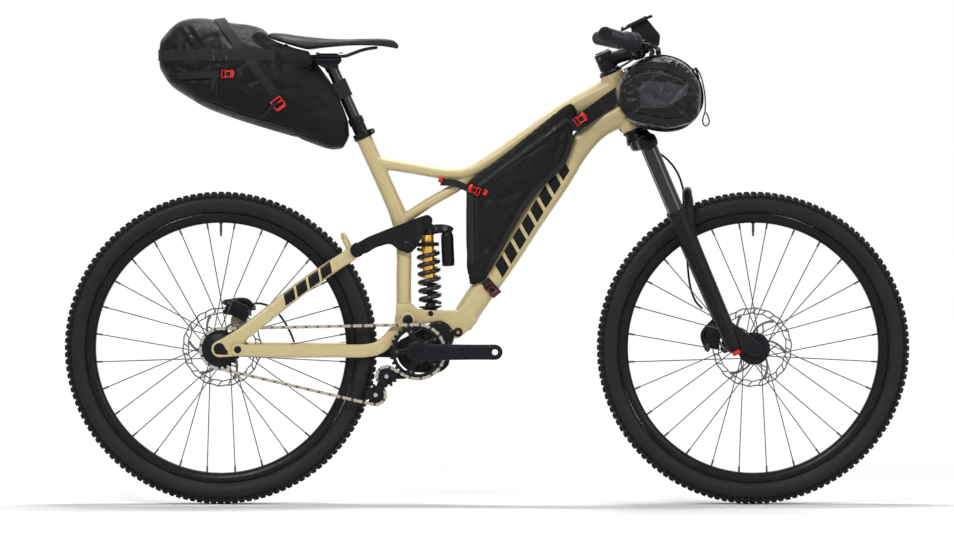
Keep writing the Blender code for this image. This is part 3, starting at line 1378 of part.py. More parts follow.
def make_cockpit(materials):
    """Stem, handlebar, grips, brake perches and the device mount over the stem."""
    along = steer_point(1) - steer_point(0)
    clamp_low = -headset_height - 2 * seat_gap
    clamp_high = clamp_low - stem_height
    column = rod("column", steer_point(clamp_low), steer_point(clamp_high - 0.006), 0.0205, 14)
    neck = loft("neck", [oval(steer_point(-0.0300, 0.004), Vector((0, 1, 0)), along, 0.0190, 0.0185, 10,
                              3.0),
                         oval(steer_point(-stem_rise, stem_length - 0.020), Vector((0, 1, 0)), along,
                              0.0170, 0.0160, 10, 3.0)])
    clamp = rod("clamp", bar_point(-0.0240), bar_point(0.0240), bar_radius + 0.0075, 14)
    cutters = [bore("steerer_hole", steer_point(0.02), steer_point(clamp_high), steerer_radius + seat_gap,
                    12),
               bore("bar_hole", bar_point(-0.04), bar_point(0.04), bar_radius + seat_gap, 12)]
    stem = combine("stem", materials["black"], [column, neck, clamp], cutters)
    half_stations = ((bar_width / 2, bar_end_radius), (bar_bend_y, bar_end_radius),
                     (bar_taper_y, bar_end_radius),
                     (bar_taper_y - 0.045, bar_radius), (bar_clamp_half, bar_radius))
    stations = [(-y, r) for y, r in half_stations] + [(y, r) for y, r in reversed(half_stations)]
    bar = tube("handlebar", [bar_point(y) for y, r in stations], [(r, r) for y, r in stations],
               materials["black"], sides=12,
               side=Vector((0, 0, 1)))
    pieces = [stem, bar]
    grip_bore = bar_end_radius + seat_gap
    for side, name, start in ((-1, "grip_right", grip_inner), (1, "grip_left", twist_inner + 0.020)):
        full = bar_width / 2
        run = [bar_point(side * y) for y in np.linspace(start, full + 0.0025, 6)]
        sizes = [(grip_radius + 0.0025,) * 2] + [(grip_radius - 0.001,) * 2] * 3 + [(grip_radius + 0.0005,) * 2] * 2
        body = tube("body", run, sizes, sides=12, side=Vector((0, 0, 1)))
        hole = bore("hole", bar_point(side * (start - 0.01)), bar_point(side * (full + 0.0003)), grip_bore,
                    12)
        pieces.append(combine(name, materials["grip"], [body], [hole]))
    for side, name in ((-1, "brake_perch_right"), (1, "brake_perch_left")):
        low = bar_point(side * (perch_middle - 0.008))
        high = bar_point(side * (perch_middle + 0.008))
        band = rod("band", low, high, 0.0165, 12)
        tank = tube("tank", [bar_point(side * (perch_middle - 0.042), 0.021, -0.010),
                             bar_point(side * (perch_middle - 0.010), 0.021, -0.006),
                             bar_point(side * (perch_middle + 0.012), 0.024, -0.008)],
                                 [(0.0085, 0.0085), (0.0100, 0.0100), (0.0070, 0.0085)],
                    sides=8, square=2.6)
        hole = bore("hole", bar_point(side * (perch_middle - 0.02)),
                    bar_point(side * (perch_middle + 0.014)),
                   bar_end_radius + seat_gap, 12)
        slot_at = lever_pivot(side)
        slot = block("slot", slot_at + Vector((0.004, side * 0.002, 0)),
                     (0.024, 0.020, lever_blade + 0.0008))
        pin = rod("pin", slot_at + Vector((0, 0, -0.0075)), slot_at + Vector((0, 0, 0.0075)),
                  lever_pin_radius, 8)
        perch = combine("perch", materials["plastic"], [band, tank], [hole, slot])
        ears = combine(name, materials["plastic"], [perch, pin])
        pieces.append(ears)
    return pieces


def lever_pivot(side):
    """Pivot of a brake lever, in the perch ahead of the bar."""
    return bar_point(side * (perch_middle + 0.006), 0.0290, -0.0080)


def make_lever(name, side, materials):
    """Two-finger brake lever that turns on its upright pin and hooks forward at the tip."""
    pivot = lever_pivot(side)
    run = [pivot, pivot + Vector((0.012, side * 0.018, 0)), pivot + Vector((0.020, side * 0.050, -0.007)),
           pivot + Vector((0.016, side * 0.080, -0.011)), pivot + Vector((0.021, side * 0.098, -0.013))]
    blade = tube("blade", run, [(0.0055, lever_blade / 2), (0.0050, lever_blade / 2), (0.0040, 0.0050),
                                (0.0036, 0.0056),
                                (0.0040, 0.0050)], sides=8, square=2.6, side=Vector((1, 0, 0)))
    eye = rod("eye", pivot - Vector((0, 0, lever_blade / 2)), pivot + Vector((0, 0, lever_blade / 2)),
              0.0058, 10)
    hole = bore("hole", pivot - Vector((0, 0, 0.02)), pivot + Vector((0, 0, 0.02)),
                lever_pin_radius + seat_gap, 8)
    return combine(name, materials["black"], [blade, eye], [hole])


def make_twist(materials):
    """Ribbed ring of the twist shifter, inboard of the right grip."""
    start = -(grip_inner - 0.0006)
    end = -twist_inner
    run = [bar_point(start + (end - start) * k / 4) for k in range(5)]
    rings = []
    sides = 24
    for centre, tangent, size in zip(run, directions(run), (0.0170, twist_radius, twist_radius,
                                                            twist_radius, 0.0225)):
        up = tangent.cross(Vector((0, 0, 1))).normalized()
        across = up.cross(tangent).normalized()
        ring = []
        for j in range(sides):
            turn = 2 * math.pi * j / sides
            radius = size - (0.0011 if j % 2 else 0.0)
            ring.append(centre + (across * math.cos(turn) + up * math.sin(turn)) * radius)
        rings.append(ring)
    body = loft("body", rings)
    hole = bore("hole", bar_point(start - 0.02), bar_point(end + 0.008), bar_end_radius + running_gap, 12)
    return combine("twist_shifter", materials["grip"], [body], [hole])


def make_device_mount(materials):
    """Flat device tray on a housing that a neck holds over the handlebar clamp."""
    tray = loft("tray", [[at(x, h, y) for x, h in ((0.300, 0.707), (0.303, 0.714), (0.366, 0.7455),
                                                   (0.370, 0.739))]
                         for y in (-0.034, 0.034)])
    housing = loft("housing", [[at(x, h, y * s) for x, h in ((0.321, 0.7190), (0.359, 0.7360),
                                                             (0.372, 0.7180), (0.388, 0.700),
                                                              (0.385, 0.676), (0.372, 0.670),
                                                                      (0.352, 0.684), (0.328, 0.694))]
                               for y, s in ((-0.024, 1), (0.024, 1))])
    neck_radius = bar_radius + 0.0030
    band = rod("band", bar_point(0.0260), bar_point(0.0340), neck_radius, 12)
    foot = loft("foot", [[at(x, h, y) for x, h in ((0.3255, 0.6820), (0.3400, 0.6820), (0.3480, 0.7000),
                                                   (0.3300, 0.7000))]
                         for y in (0.0180, 0.0335)])
    hole = bore("hole", bar_point(0.0), bar_point(bar_clamp_half), bar_radius + seat_gap, 12)
    clamp_room = bore("clamp_room", bar_point(-0.0250), bar_point(0.0250), bar_radius + 0.0085, 14)
    return combine("device_mount", materials["plastic"], [tray, housing, foot, band], [hole, clamp_room])


# Seat post and saddle

def make_post(materials):
    """Sliding stanchion of the seat post with the clamp head for the saddle rails."""
    along = post_point(1) - post_point(0)
    top = post_top
    stanchion = turned("stanchion", [(post_drop + 0.008 - post_tube_depth, post_radius), (top, post_radius),
                                     (top + 0.006, post_radius + 0.003)], post_point(0),
                       along, 14)
    rail_h = rail_height
    low = loft("cradle", [[at(x, h, y) for x, h in ((-0.393, rail_h - 0.003), (-0.385, rail_h - 0.016),
                                                    (-0.362, rail_h - 0.028),
                                                     (-0.340, rail_h - 0.026), (-0.326, rail_h - 0.012),
                                                         (-0.326, rail_h - 0.003))]
                          for y in (-0.026, 0.026)])
    high = loft("plate", [[at(x, h, y) for x, h in ((-0.385, rail_h - 0.001), (-0.330, rail_h - 0.001),
                                                    (-0.334, rail_h + 0.0065),
                                                     (-0.381, rail_h + 0.0065))] for y in (-0.027, 0.027)])
    web = loft("web", [[at(x, h, y) for x, h in ((-0.378, rail_h - 0.006), (-0.337, rail_h - 0.006),
                                                 (-0.337, rail_h + 0.004),
                                                  (-0.378, rail_h + 0.004))] for y in (-0.013, 0.013)])
    grooves = []
    for side in (-1, 1):
        y = side * rail_half_spacing
        grooves.append(bore("groove", at(-0.42, rail_h, y), at(-0.30, rail_h, y), rail_radius + seat_gap,
                            8))
    return combine("seatpost", materials["black"], [stanchion, low, high, web], grooves)


def make_rails(materials):
    """Saddle rails: one bent wire from the tail of the saddle to its nose and back."""
    side_points = [at(-0.452, 0.6783, rail_half_spacing + 0.010),
                   at(-0.436, 0.664, rail_half_spacing + 0.006),
                   at(-0.410, rail_height, rail_half_spacing), at(-0.322, rail_height, rail_half_spacing),
                   at(-0.285, 0.6650, 0.020), at(-0.256, 0.6712, 0.0125), at(-0.248, 0.6722, 0.0)]
    half = side_points[:4] + smooth_path(side_points[4:], 2)
    whole = half + [Vector((p.x, -p.y, p.z)) for p in reversed(half[:-1])]
    return tube("saddle_rails", whole, (rail_radius, rail_radius), materials["black"], sides=6,
                side=Vector((0, 0, 1)))


def make_saddle(materials):
    """Saddle with a crowned top, drawn-in sides and a long nose."""
    stations = (
        (-0.487, 0.703, 0.698, 0.034), (-0.478, 0.7060, 0.689, 0.055),
            (-0.455, 0.7045, 0.681, saddle_half_width - 0.002),
        (-0.425, 0.7005, 0.6725, saddle_half_width), (-0.390, 0.6960, 0.6715, 0.061),
            (-0.350, 0.6925, 0.6735, 0.043),
        (-0.310, 0.6915, 0.6755, 0.029), (-0.270, 0.6925, 0.6760, 0.0225), (-0.235, 0.6925, 0.6740, 0.0195),
        (-0.212, 0.6895, 0.6705, 0.0170), (-0.202, 0.6830, 0.6690, 0.0120),
            (-0.1985, 0.6780, 0.6715, 0.0060),
    )
    rings = []
    shape = ((-1.0, 0.25), (-0.93, 0.55), (-0.72, 0.84), (-0.40, 0.96), (0.0, 0.99), (0.40, 0.96),
             (0.72, 0.84), (0.93, 0.55),
             (1.0, 0.25), (0.88, 0.0), (0.0, 0.10), (-0.88, 0.0))
    for x, top, low, half in stations:
        rings.append([at(x, low + (top - low) * share, half * across) for across, share in shape])
    return loft("saddle", rings, materials["saddle"], angle=50)


# Bags

def make_seat_bag(materials):
    """Long bag behind the seat post, strapped round the post and hung under the saddle."""
    stations = (
        ((-0.3080, 0.4760), (-0.3260, 0.4460), 0.030), ((-0.3190, 0.5200), (-0.3560, 0.4440), 0.046),
        ((-0.3560, 0.5900), (-0.4190, 0.4710), 0.058), ((-0.4000, 0.6460), (-0.4700, 0.4870), 0.070),
        ((-0.4580, 0.6680), (-0.5330, 0.5040), 0.080), ((-0.5150, 0.7120), (-0.5820, 0.5190),
                                                        seat_bag_half),
        ((-0.5760, 0.7260), (-0.6290, 0.5360), seat_bag_half),
            ((-0.6400, 0.7400), (-0.6700, 0.5600), 0.083),
        ((-0.6900, 0.7340), (-0.7060, 0.5860), 0.070), ((-0.7250, 0.7000), (-0.7300, 0.6260), 0.045),
    )
    rings = []
    for high, low, half in stations:
        top = at(*high)
        bottom = at(*low)
        rings.append(oval((top + bottom) / 2, Vector((0, 1, 0)), (top - bottom).normalized(), half,
                          (top - bottom).length / 2,
                          14, 2.7))
    body = loft("body", rings, angle=50)
    along = post_point(1) - post_point(0)
    dent = bore("dent", post_point(-0.06), post_point(0.22), post_dent, 14)
    shell = combine("shell", materials["fabric"], [body], [dent])
    low, high = strap_low, strap_high
    outer = post_radius + 0.0040
    band = turned("band", [(low, outer), (high, outer)], post_point(0), along, 12)
    wing = loft("wing", [[post_point(low + 0.001, -0.036) + Vector((0, y, 0)),
                          post_point(high - 0.001, -0.036) + Vector((0, y, 0)),
                          post_point(high - 0.001, -0.004) + Vector((0, y, 0)),
                              post_point(low + 0.001, -0.004) + Vector((0, y, 0))]
                         for y in (-0.0150, 0.0150)])
    hole = bore("hole", post_point(low - 0.05), post_point(high + 0.05), post_radius + seat_gap, 14)
    return combine("seat_bag", materials["fabric"], [shell, band, wing], [hole])


def make_frame_bag(materials):
    """Bag between the top tube and the down tube, with side panels that lap over the tubes."""
    core = plate("core", [(-0.043, 0.176), (-0.036, 0.158), (-0.026, 0.154), (0.020, 0.226), (0.092, 0.336),
                          (0.155, 0.420),
                          (0.178, 0.458), (0.184, 0.500), (0.168, 0.504), (0.142, 0.488), (0.078, 0.441),
                              (0.014, 0.396),
                          (-0.034, 0.371), (-0.044, 0.362)], -frame_bag_half + 0.001,
                              frame_bag_half - 0.001)
    outline = [(-0.045, 0.177), (-0.036, 0.146), (-0.004, 0.158), (0.020, 0.200), (0.052, 0.262),
               (0.090, 0.324), (0.128, 0.364),
               (0.159, 0.392), (0.177, 0.422), (0.194, 0.476), (0.203, 0.524), (0.187, 0.5415),
                   (0.163, 0.531), (0.104, 0.486),
               (0.052, 0.444), (0.008, 0.409), (-0.030, 0.382), (-0.046, 0.368)]
    pieces = [core]
    for low, high in ((-frame_bag_half, -frame_bag_inner), (frame_bag_inner, frame_bag_half)):
        pieces.append(plate("panel", outline, low, high))
    return combine("frame_bag", materials["fabric"], pieces, make_main_tubes(frame_bag_gap))


def make_bar_bag(materials):
    """Rolled bag across the front of the handlebar, dented where it lies on the head tube."""
    outline = ((0.284, 0.549), (0.284, 0.576), (0.292, 0.606), (0.318, 0.637), (0.348, 0.6460),
               (0.382, 0.652), (0.409, 0.656),
               (0.448, 0.636), (0.472, 0.602), (0.480, 0.570), (0.474, 0.520), (0.464, 0.504),
                   (0.436, 0.492), (0.405, 0.486),
               (0.360, 0.4940), (0.307, 0.506))
    middle = (0.378, 0.572)
    rings = []
    for y, scale in ((-1.0, 0.74), (-0.975, 0.90), (-0.90, 0.985), (-0.5, 1.0), (0.5, 1.0), (0.90, 0.985),
                     (0.975, 0.90), (1.0, 0.74)):
        rings.append([at(middle[0] + (x - middle[0]) * scale, middle[1] + (h - middle[1]) * scale,
                         y * bar_bag_half)
                      for x, h in outline])
    body = loft("body", rings, angle=50)
    dent = bore("dent", steer_point(-0.10), steer_point(0.30), steering_dent, 28)
    clamp_room = bore("clamp_room", bar_point(-0.030), bar_point(0.030), bar_radius + 0.0115, 14)
    hook = []
    for side in (-1, 1):
        hook.append(loft("strap", [[at(x, h, side * y) for x,
                                    h in ((0.318, 0.628), (0.346, 0.634), (0.3440, 0.6680),
                                          (0.3250, 0.6680))]
                                   for y in (0.060, 0.080)]))
    holes = [bore("bar_room", bar_point(-0.09), bar_point(-0.0455), bar_radius + seat_gap + 0.0010, 12),
             bore("bar_room", bar_point(0.0455), bar_point(0.09), bar_radius + seat_gap + 0.0010, 12)]
    return combine("bar_bag", materials["fabric"], [body] + hook, [dent, clamp_room] + holes)


# Brake hoses and the bag's draw cord

hose_radius = 0.0025


def make_hoses(materials):
    """Rear hose from its caliper to the chainstay, front hose from the left perch to its caliper."""
    rear = [at(-0.5332, 0.0898, 0.0560), at(-0.5280, 0.0960, 0.0555), at(-0.5120, 0.0980, 0.0550),
            at(-0.4920, 0.0925, 0.0545),
            at(-0.4720, 0.0780, 0.0545), at(-0.4560, 0.0570, 0.0570), at(-0.4430, 0.0330, 0.0640),
                at(-0.4340, 0.0108, 0.0665)]
    start = bar_point(perch_middle - 0.042, 0.021, -0.010) - Vector((0, 2 * seat_gap, 0))
    front = [start, start + Vector((0.0, -0.022, -0.004)), at(0.318, 0.640, 0.105), at(0.276, 0.612, 0.088),
             at(0.264, 0.575, 0.084), at(0.270, 0.535, 0.092), at(0.290, 0.500, 0.1000),
                 at(0.322, 0.471, 0.1010),
             at(0.362, 0.449, 0.1005), at(0.400, 0.427, 0.0985), at(0.428, 0.394, 0.0970),
                 at(0.443, 0.350, 0.0965),
             at(0.448, 0.300, 0.0965), at(0.450, 0.245, 0.0960), at(0.452, 0.190, 0.0940),
                 at(0.457, 0.140, 0.0800),
             at(0.468, 0.105, 0.0600), at(0.483, 0.0870, 0.0440)]
    return hose("rear_hose", rear, hose_radius, materials["plastic"], steps=3), \
        hose("front_hose", front, hose_radius, materials["plastic"], steps=3)


def make_draw_cord(materials):
    """Free end of the bar bag's draw cord, hanging past the right end with a loop at its tip."""
    y = -0.150
    points = [at(0.45812, 0.6204, y), at(0.4637, 0.6243, y), at(0.4742, 0.6060, y), at(0.4815, 0.572, y),
              at(0.4832, 0.545, y), at(0.4812, 0.524, y),
              at(0.4765, 0.510, y), at(0.4775, 0.4985, y), at(0.4850, 0.4950, y), at(0.4925, 0.4990, y),
                  at(0.4935, 0.509, y),
              at(0.4900, 0.520, y)]
    return hose("draw_cord", points, 0.0012, materials["plastic"], steps=2)


def main():
    for old in list(bpy.data.objects):
        bpy.data.objects.remove(old, do_unlink=True)
    materials = make_materials()

    root = make_pivot("frame_body", Vector((0, 0, 0)))
    links, swing = fit_chain()
    parts = chain_path(swing)
    print("chain: %d links, cage turned %.2f degrees" % (links, math.degrees(swing)))
    fixed = make_frame(materials)
    fixed += [make_seat_clamp(materials), make_post_tube(materials), make_gearbox(materials),
              make_frame_bag(materials)]
    arm, cage, lower_pulley = make_tensioner(materials, swing)
    fixed += [arm, make_chain(materials, links, parts)]
    carry(root, fixed)

    chainstay_body = make_pivot("chainstay_body", at(main_pivot_x, main_pivot_h), root)
    carry(chainstay_body, [make_chainstay(materials)])
    seatstay_body = make_pivot("seatstay_body", at(horst_pivot_x, horst_pivot_h), chainstay_body)
    rear_axle = at(rear_axle_x, 0)
    rear_caliper = make_caliper("rear_caliper", rear_axle, rear_rotor_offset, 46, 88,
                                ((88, 0.100), (64, 0.116), (50, 0.112)),
                                materials)
    rear_hose, front_hose = make_hoses(materials)
    carry(seatstay_body, [make_seatstay(materials), make_rear_axle(materials), rear_caliper, rear_hose])

    rear_wheel = make_pivot("rear_wheel_body", rear_axle, seatstay_body)
    half = dropout_face - running_gap
    profile = hub_profile(half, rear_axle_radius + running_gap, rear_flange_right, rear_flange_left,
                          hub_shell_radius,
                          freehub_radius, rear_rotor_offset)
    carry(rear_wheel, [
        make_tyre("rear_tyre", rear_axle, materials["rubber"]),
        make_rim("rear_rim", rear_axle, 0.0, materials),
        make_hub("rear_hub", rear_axle, profile, rear_flange_right, rear_flange_left, materials["spoke"]),
        make_rotor("rear_rotor", rear_axle, rear_rotor_offset, materials["steel"]),
    ])
    cog_body = make_pivot("rear_cog_body", rear_axle, seatstay_body)
    cog = make_sprocket("rear_cog", rear_axle, tooth_phase(parts, np.array((rear_axle_x, 0.0))), cog_teeth,
                        freehub_radius + running_gap, [(0.0300, -0.0665, -0.0415)],
                        [], materials["black"])
    carry(cog_body, [cog])

    rocker_body = make_pivot("rocker_body", at(rocker_pivot_x, rocker_pivot_h), root)
    carry(rocker_body, [make_rocker(materials)])
    shaft, body = make_shock(materials)
    shaft_body = make_pivot("shock_shaft_body", at(shock_bottom_x, shock_bottom_h), root)
    carry(shaft_body, [shaft, make_coil(materials)])
    carry(make_pivot("shock_body_body", at(shock_top_x, shock_top_h), shaft_body), [body])

    crank_centre = at(crank_x, crank_h)
    crank_body = make_pivot("crank_body", crank_centre, root)
    carry(crank_body, [make_crank("crank_right", -1, 1, materials),
                       make_crank("crank_left", 1, -1, materials),
                       make_crank_axle(materials)])
    windows = [(2 * math.pi * k / 5, 0.0400, 0.0085) for k in range(5)]
    ring = make_sprocket("chainring", crank_centre, tooth_phase(parts, np.array((crank_x, crank_h))),
                         ring_teeth,
                         axle_radius + running_gap, [(0.0240, -0.0640, -gearbox_half_width - 0.0010)],
                             windows, materials["black"])
    carry(make_pivot("chainring_body", crank_centre, root), [ring])
    upper_centre = at(upper_pulley_x, upper_pulley_h)
    upper = make_sprocket("upper_pulley", upper_centre, tooth_phase(parts,
            np.array((upper_pulley_x, upper_pulley_h))),
                          pulley_teeth, pulley_pin_radius + running_gap,
                              [(0.0085, -chain_line - 0.0040, -chain_line + 0.0040)],
                          [], materials["plastic"])
    carry(make_pivot("upper_pulley_body", upper_centre, root), [upper])
    cage_body = make_pivot("tensioner_body", upper_centre, root)
    carry(cage_body, [cage])
    lower = make_sprocket("lower_pulley", at(*lower_pulley), tooth_phase(parts, np.array(lower_pulley)),
                          pulley_teeth,
                          pulley_pin_radius + running_gap, [(0.0085, -chain_line - 0.0040,
                                                             -chain_line + 0.0040)],
                          [], materials["plastic"])
    carry(make_pivot("lower_pulley_body", at(*lower_pulley), cage_body), [lower])

    steering = make_pivot("steering_body", steer_point(0), root)
    carry(steering, make_steering(materials) + make_cockpit(materials)
          + [make_device_mount(materials), make_bar_bag(materials), front_hose, make_draw_cord(materials)])
    for side, name in ((-1, "right"), (1, "left")):
        carry(make_pivot("brake_lever_%s_body" % name, lever_pivot(side), steering),
              [make_lever("brake_lever_%s" % name, side, materials)])
    carry(make_pivot("twist_body", bar_point(-twist_inner), steering), [make_twist(materials)])
    lowers_body = make_pivot("fork_lowers_body", steer_point(seal_down), steering)
    front_axle = at(front_axle_x, 0)
    front_caliper = make_caliper("front_caliper", front_axle, front_rotor_offset, 145, 184,
                                 ((184, 0.100), (165, 0.1135), (143, 0.103)),
                                 materials)
    carry(lowers_body, list(make_lowers(materials)) + [front_caliper])
    front_wheel = make_pivot("front_wheel_body", front_axle, lowers_body)
    profile = hub_profile(front_hub_width / 2 - running_gap, front_axle_radius + running_gap,
                          front_flange_right,
                          front_flange_left, hub_shell_radius + 0.002, 0.0145, front_rotor_offset)
    carry(front_wheel, [
        make_tyre("front_tyre", front_axle, materials["rubber"]),
        make_rim("front_rim", front_axle, 0.0, materials),
        make_hub("front_hub", front_axle, profile, front_flange_right, front_flange_left,
                 materials["spoke"]),
        make_rotor("front_rotor", front_axle, front_rotor_offset, materials["steel"]),
    ])

    post_body = make_pivot("seatpost_body", post_point(0), root)
    carry(post_body, [make_post(materials), make_rails(materials), make_saddle(materials),
                      make_seat_bag(materials)])


main()
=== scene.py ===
# Mountain bike with a gearbox, coil shock and three packing bags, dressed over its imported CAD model.
# Metres. +X forwards, +Y to the rider's left, +Z up; the camera looks at the drive side from -Y.
import math

import bmesh
import bpy
import numpy as np
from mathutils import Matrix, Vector
from mathutils.bvhtree import BVHTree


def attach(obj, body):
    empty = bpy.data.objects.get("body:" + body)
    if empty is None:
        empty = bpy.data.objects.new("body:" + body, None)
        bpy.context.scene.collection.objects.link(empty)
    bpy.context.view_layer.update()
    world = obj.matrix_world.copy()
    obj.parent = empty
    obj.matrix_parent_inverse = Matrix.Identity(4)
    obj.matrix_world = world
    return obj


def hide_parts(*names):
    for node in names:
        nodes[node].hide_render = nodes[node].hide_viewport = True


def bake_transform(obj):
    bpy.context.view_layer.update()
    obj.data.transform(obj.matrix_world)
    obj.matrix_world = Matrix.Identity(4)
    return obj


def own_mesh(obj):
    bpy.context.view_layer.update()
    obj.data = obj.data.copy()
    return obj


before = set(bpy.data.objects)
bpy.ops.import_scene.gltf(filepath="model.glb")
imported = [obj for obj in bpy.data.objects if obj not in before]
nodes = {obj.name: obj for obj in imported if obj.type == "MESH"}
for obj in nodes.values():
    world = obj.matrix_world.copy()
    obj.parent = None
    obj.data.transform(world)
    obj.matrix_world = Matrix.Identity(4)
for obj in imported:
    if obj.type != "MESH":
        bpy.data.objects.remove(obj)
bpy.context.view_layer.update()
print("frame loaded: %d nodes" % len(nodes))

bike = {
    "axleHeight": 0.34902,
    "rearX": -0.596,
    "frontX": 0.596,
    "headTop": (0.278, 0.614),
    "headAngle": math.radians(67.0),
    "postClamp": (-0.279, 0.477),
    "postAngle": math.radians(65.6),
}


def mm(*rows):
    # rows given in millimetres
    return [tuple(round(v / 1000, 7) for v in row) for row in rows]


def fromPlace(start, rows):
    # rows whose first number is measured from a place
    return [(start + row[0], *row[1:]) for row in rows]


# Shared shapes. A shape is (points, faces); a piece is one or more shapes in one mesh.

sideways = np.array((0, 1.0, 0))


def at(x, h, y=0.0):
    # x ahead of the middle, h above the axle line, y to the left
    return np.array((x, y, bike["axleHeight"] + h), float)


def layer(xh, y):
    # points of (x, h) at one y
    return np.stack([xh[:, 0], np.full(len(xh), y), bike["axleHeight"] + xh[:, 1]], 1)


def unit(v):
    v = np.asarray(v, float)
    return v / np.linalg.norm(v, axis=-1, keepdims=True)


def steer(down, ahead=0.0, y=0.0):
    # along the steering axis from the head tube's top, and square to it
    a = bike["headAngle"]
    x, h = bike["headTop"]
    return (at(x, h, y) + np.array((math.cos(a), 0, -math.sin(a))) * down
            + np.array((math.sin(a), 0, math.cos(a))) * ahead)


def post(up, ahead=0.0, y=0.0):
    # along the seat post from its clamp, and square to it
    a = bike["postAngle"]
    x, h = bike["postClamp"]
    return (at(x, h, y) + np.array((-math.cos(a), 0, math.sin(a))) * up
            + np.array((math.sin(a), 0, math.cos(a))) * ahead)


def runOf(points):
    # distance run along a line of points, at each of them
    return np.concatenate([[0], np.cumsum(np.linalg.norm(np.diff(points, axis=0), axis=1))])


def smoothRows(rows, count, closed=False):
    # Catmull-Rom through the rows (points, sizes, or both side by side), spaced evenly in length
    p = np.asarray(rows, float)
    if closed:
        p = np.vstack([p[-1:], p, p[:2]])
    else:
        p = np.vstack([2 * p[0] - p[1], p, 2 * p[-1] - p[-2]])
    t = np.linspace(0, 1, 24, endpoint=False)[None, :, None]
    a, b, c, d = (p[k:len(p) - 3 + k, None, :] for k in range(4))
    dense = 0.5 * (2 * b + (c - a) * t + (2 * a - 5 * b + 4 * c - d) * t ** 2 + (3 * b - a - 3 * c + d) * t ** 3)
    dense = dense.reshape(-1, p.shape[1])
    dense = np.vstack([dense, p[-2][None]])
    run = runOf(dense[:, :3])
    want = np.linspace(0, run[-1], count + 1 if closed else count)
    want = want[:-1] if closed else want
    return np.stack([np.interp(want, run, dense[:, k]) for k in range(p.shape[1])], axis=1)


def gridShape(grid, loop=False, caps=True):
    # closed rows of a grid joined by quads; loop joins the last row to the first
    rows, cols = grid.shape[:2]
    index = np.arange(rows * cols).reshape(rows, cols)
    r = index if not loop else np.vstack([index, index[:1]])
    c = np.hstack([r, r[:, :1]])
    quads = np.stack([c[:-1, :-1], c[:-1, 1:], c[1:, 1:], c[1:, :-1]], axis=-1).reshape(-1, 4)
    faces = quads.tolist()
    if caps and not loop:
        faces += [index[0][::-1].tolist(), index[-1].tolist()]
    return grid.reshape(-1, 3), faces


def frames(path, side):
    # side and up of each point of a path; side is kept as near the given one as it can be
    tangent = unit(np.gradient(path, axis=0))
    side = np.broadcast_to(np.asarray(side, float), path.shape)
    side = unit(side - tangent * (side * tangent).sum(1, keepdims=True))
    return side, np.cross(side, tangent)


def circle(count):
    return np.linspace(0, 2 * math.pi, count, endpoint=False)


def ray(angle):
    return np.array((math.cos(angle), math.sin(angle)))


def superellipse(sides, power):
    # sign * |cos|^(2/power), sign * |sin|^(2/power)
    c, s = np.cos(circle(sides)), np.sin(circle(sides))
    return np.sign(c) * np.abs(c) ** (2 / power), np.sign(s) * np.abs(s) ** (2 / power)


def sweep(rows, side=(0, 1, 0), sides=20, power=2.0):
    # rows are x, y, z, half width, half height; the section is a superellipse
    rows = np.asarray(rows, float)
    u, v = superellipse(sides, power)
    across, up = frames(rows[:, :3], side)
    return gridShape(rows[:, None, :3] + across[:, None] * (rows[:, 3, None] * u)[..., None]
                     + up[:, None] * (rows[:, 4, None] * v)[..., None])


def pipe(points, radius, count=40, sides=12, side=(0, 1, 0)):
    # round tube of one radius on a smooth path
    p = np.asarray(points, float)
    return sweep(smoothRows(np.hstack([p, np.full((len(p), 2), radius)]), count), side, sides)


def turnedAbout(profile, centre, axis=(0, 1, 0), segments=48, hollow=False):
    # profile rows are (distance along the axis, radius), turned once round it; a hollow profile closes on itself
    profile = np.asarray(profile, float)
    axis = unit(axis)
    helper = np.array((0, 0, 1.0)) if abs(axis[2]) < 0.9 else np.array((1.0, 0, 0))
    u = unit(np.cross(helper, axis))
    v = np.cross(axis, u)
    turn = circle(segments)
    out = np.cos(turn)[:, None] * u + np.sin(turn)[:, None] * v
    grid = np.asarray(centre, float) + profile[:, None, :1] * axis + profile[:, None, 1:] * out[None]
    return gridShape(grid, loop=hollow, caps=not hollow)


def rodShape(start, end, radius, sides=16, chamfer=0.0):
    # straight round bar, its ends chamfered by the given amount
    start, end = np.asarray(start, float), np.asarray(end, float)
    length, e = np.linalg.norm(end - start), chamfer
    profile = [(0, radius - e), (e, radius), (length - e, radius), (length, radius - e)]
    if not e:
        profile = [(0, radius), (length, radius)]
    return turnedAbout(profile, start, end - start, sides)


def pin(x, h, a, b, radius, sides=16, chamfer=0.0):
    # round bar across the bike between two distances to the left, the lower one first
    low, high = sorted((a, b))
    return rodShape(at(x, h, low), at(x, h, high), radius, sides, chamfer)


def rounded(outline, radius, steps=5):
    # outline in two dimensions with each corner replaced by an arc-like curve between points on its two sides
    p = np.asarray(outline, float)
    before, after = np.roll(p, 1, 0), np.roll(p, -1, 0)
    r = np.broadcast_to(np.asarray(radius, float), (len(p),))
    reachA = np.minimum(r, 0.48 * np.linalg.norm(before - p, axis=1))[:, None]
    reachB = np.minimum(r, 0.48 * np.linalg.norm(after - p, axis=1))[:, None]
    a = p + unit(before - p) * reachA
    b = p + unit(after - p) * reachB
    t = np.linspace(0, 1, steps)[None, :, None]
    return ((1 - t) ** 2 * a[:, None] + 2 * t * (1 - t) * p[:, None] + t ** 2 * b[:, None]).reshape(-1, 2)


def inset(outline, amount):
    # outline moved inwards by the same amount all round, for a chamfer
    p = np.asarray(outline, float)
    area = 0.5 * np.sum(p[:, 0] * np.roll(p[:, 1], -1) - np.roll(p[:, 0], -1) * p[:, 1])
    d = unit(np.roll(p, -1, 0) - np.roll(p, 1, 0))
    return p + np.stack([-d[:, 1], d[:, 0]], 1) * amount * math.copysign(1, area)


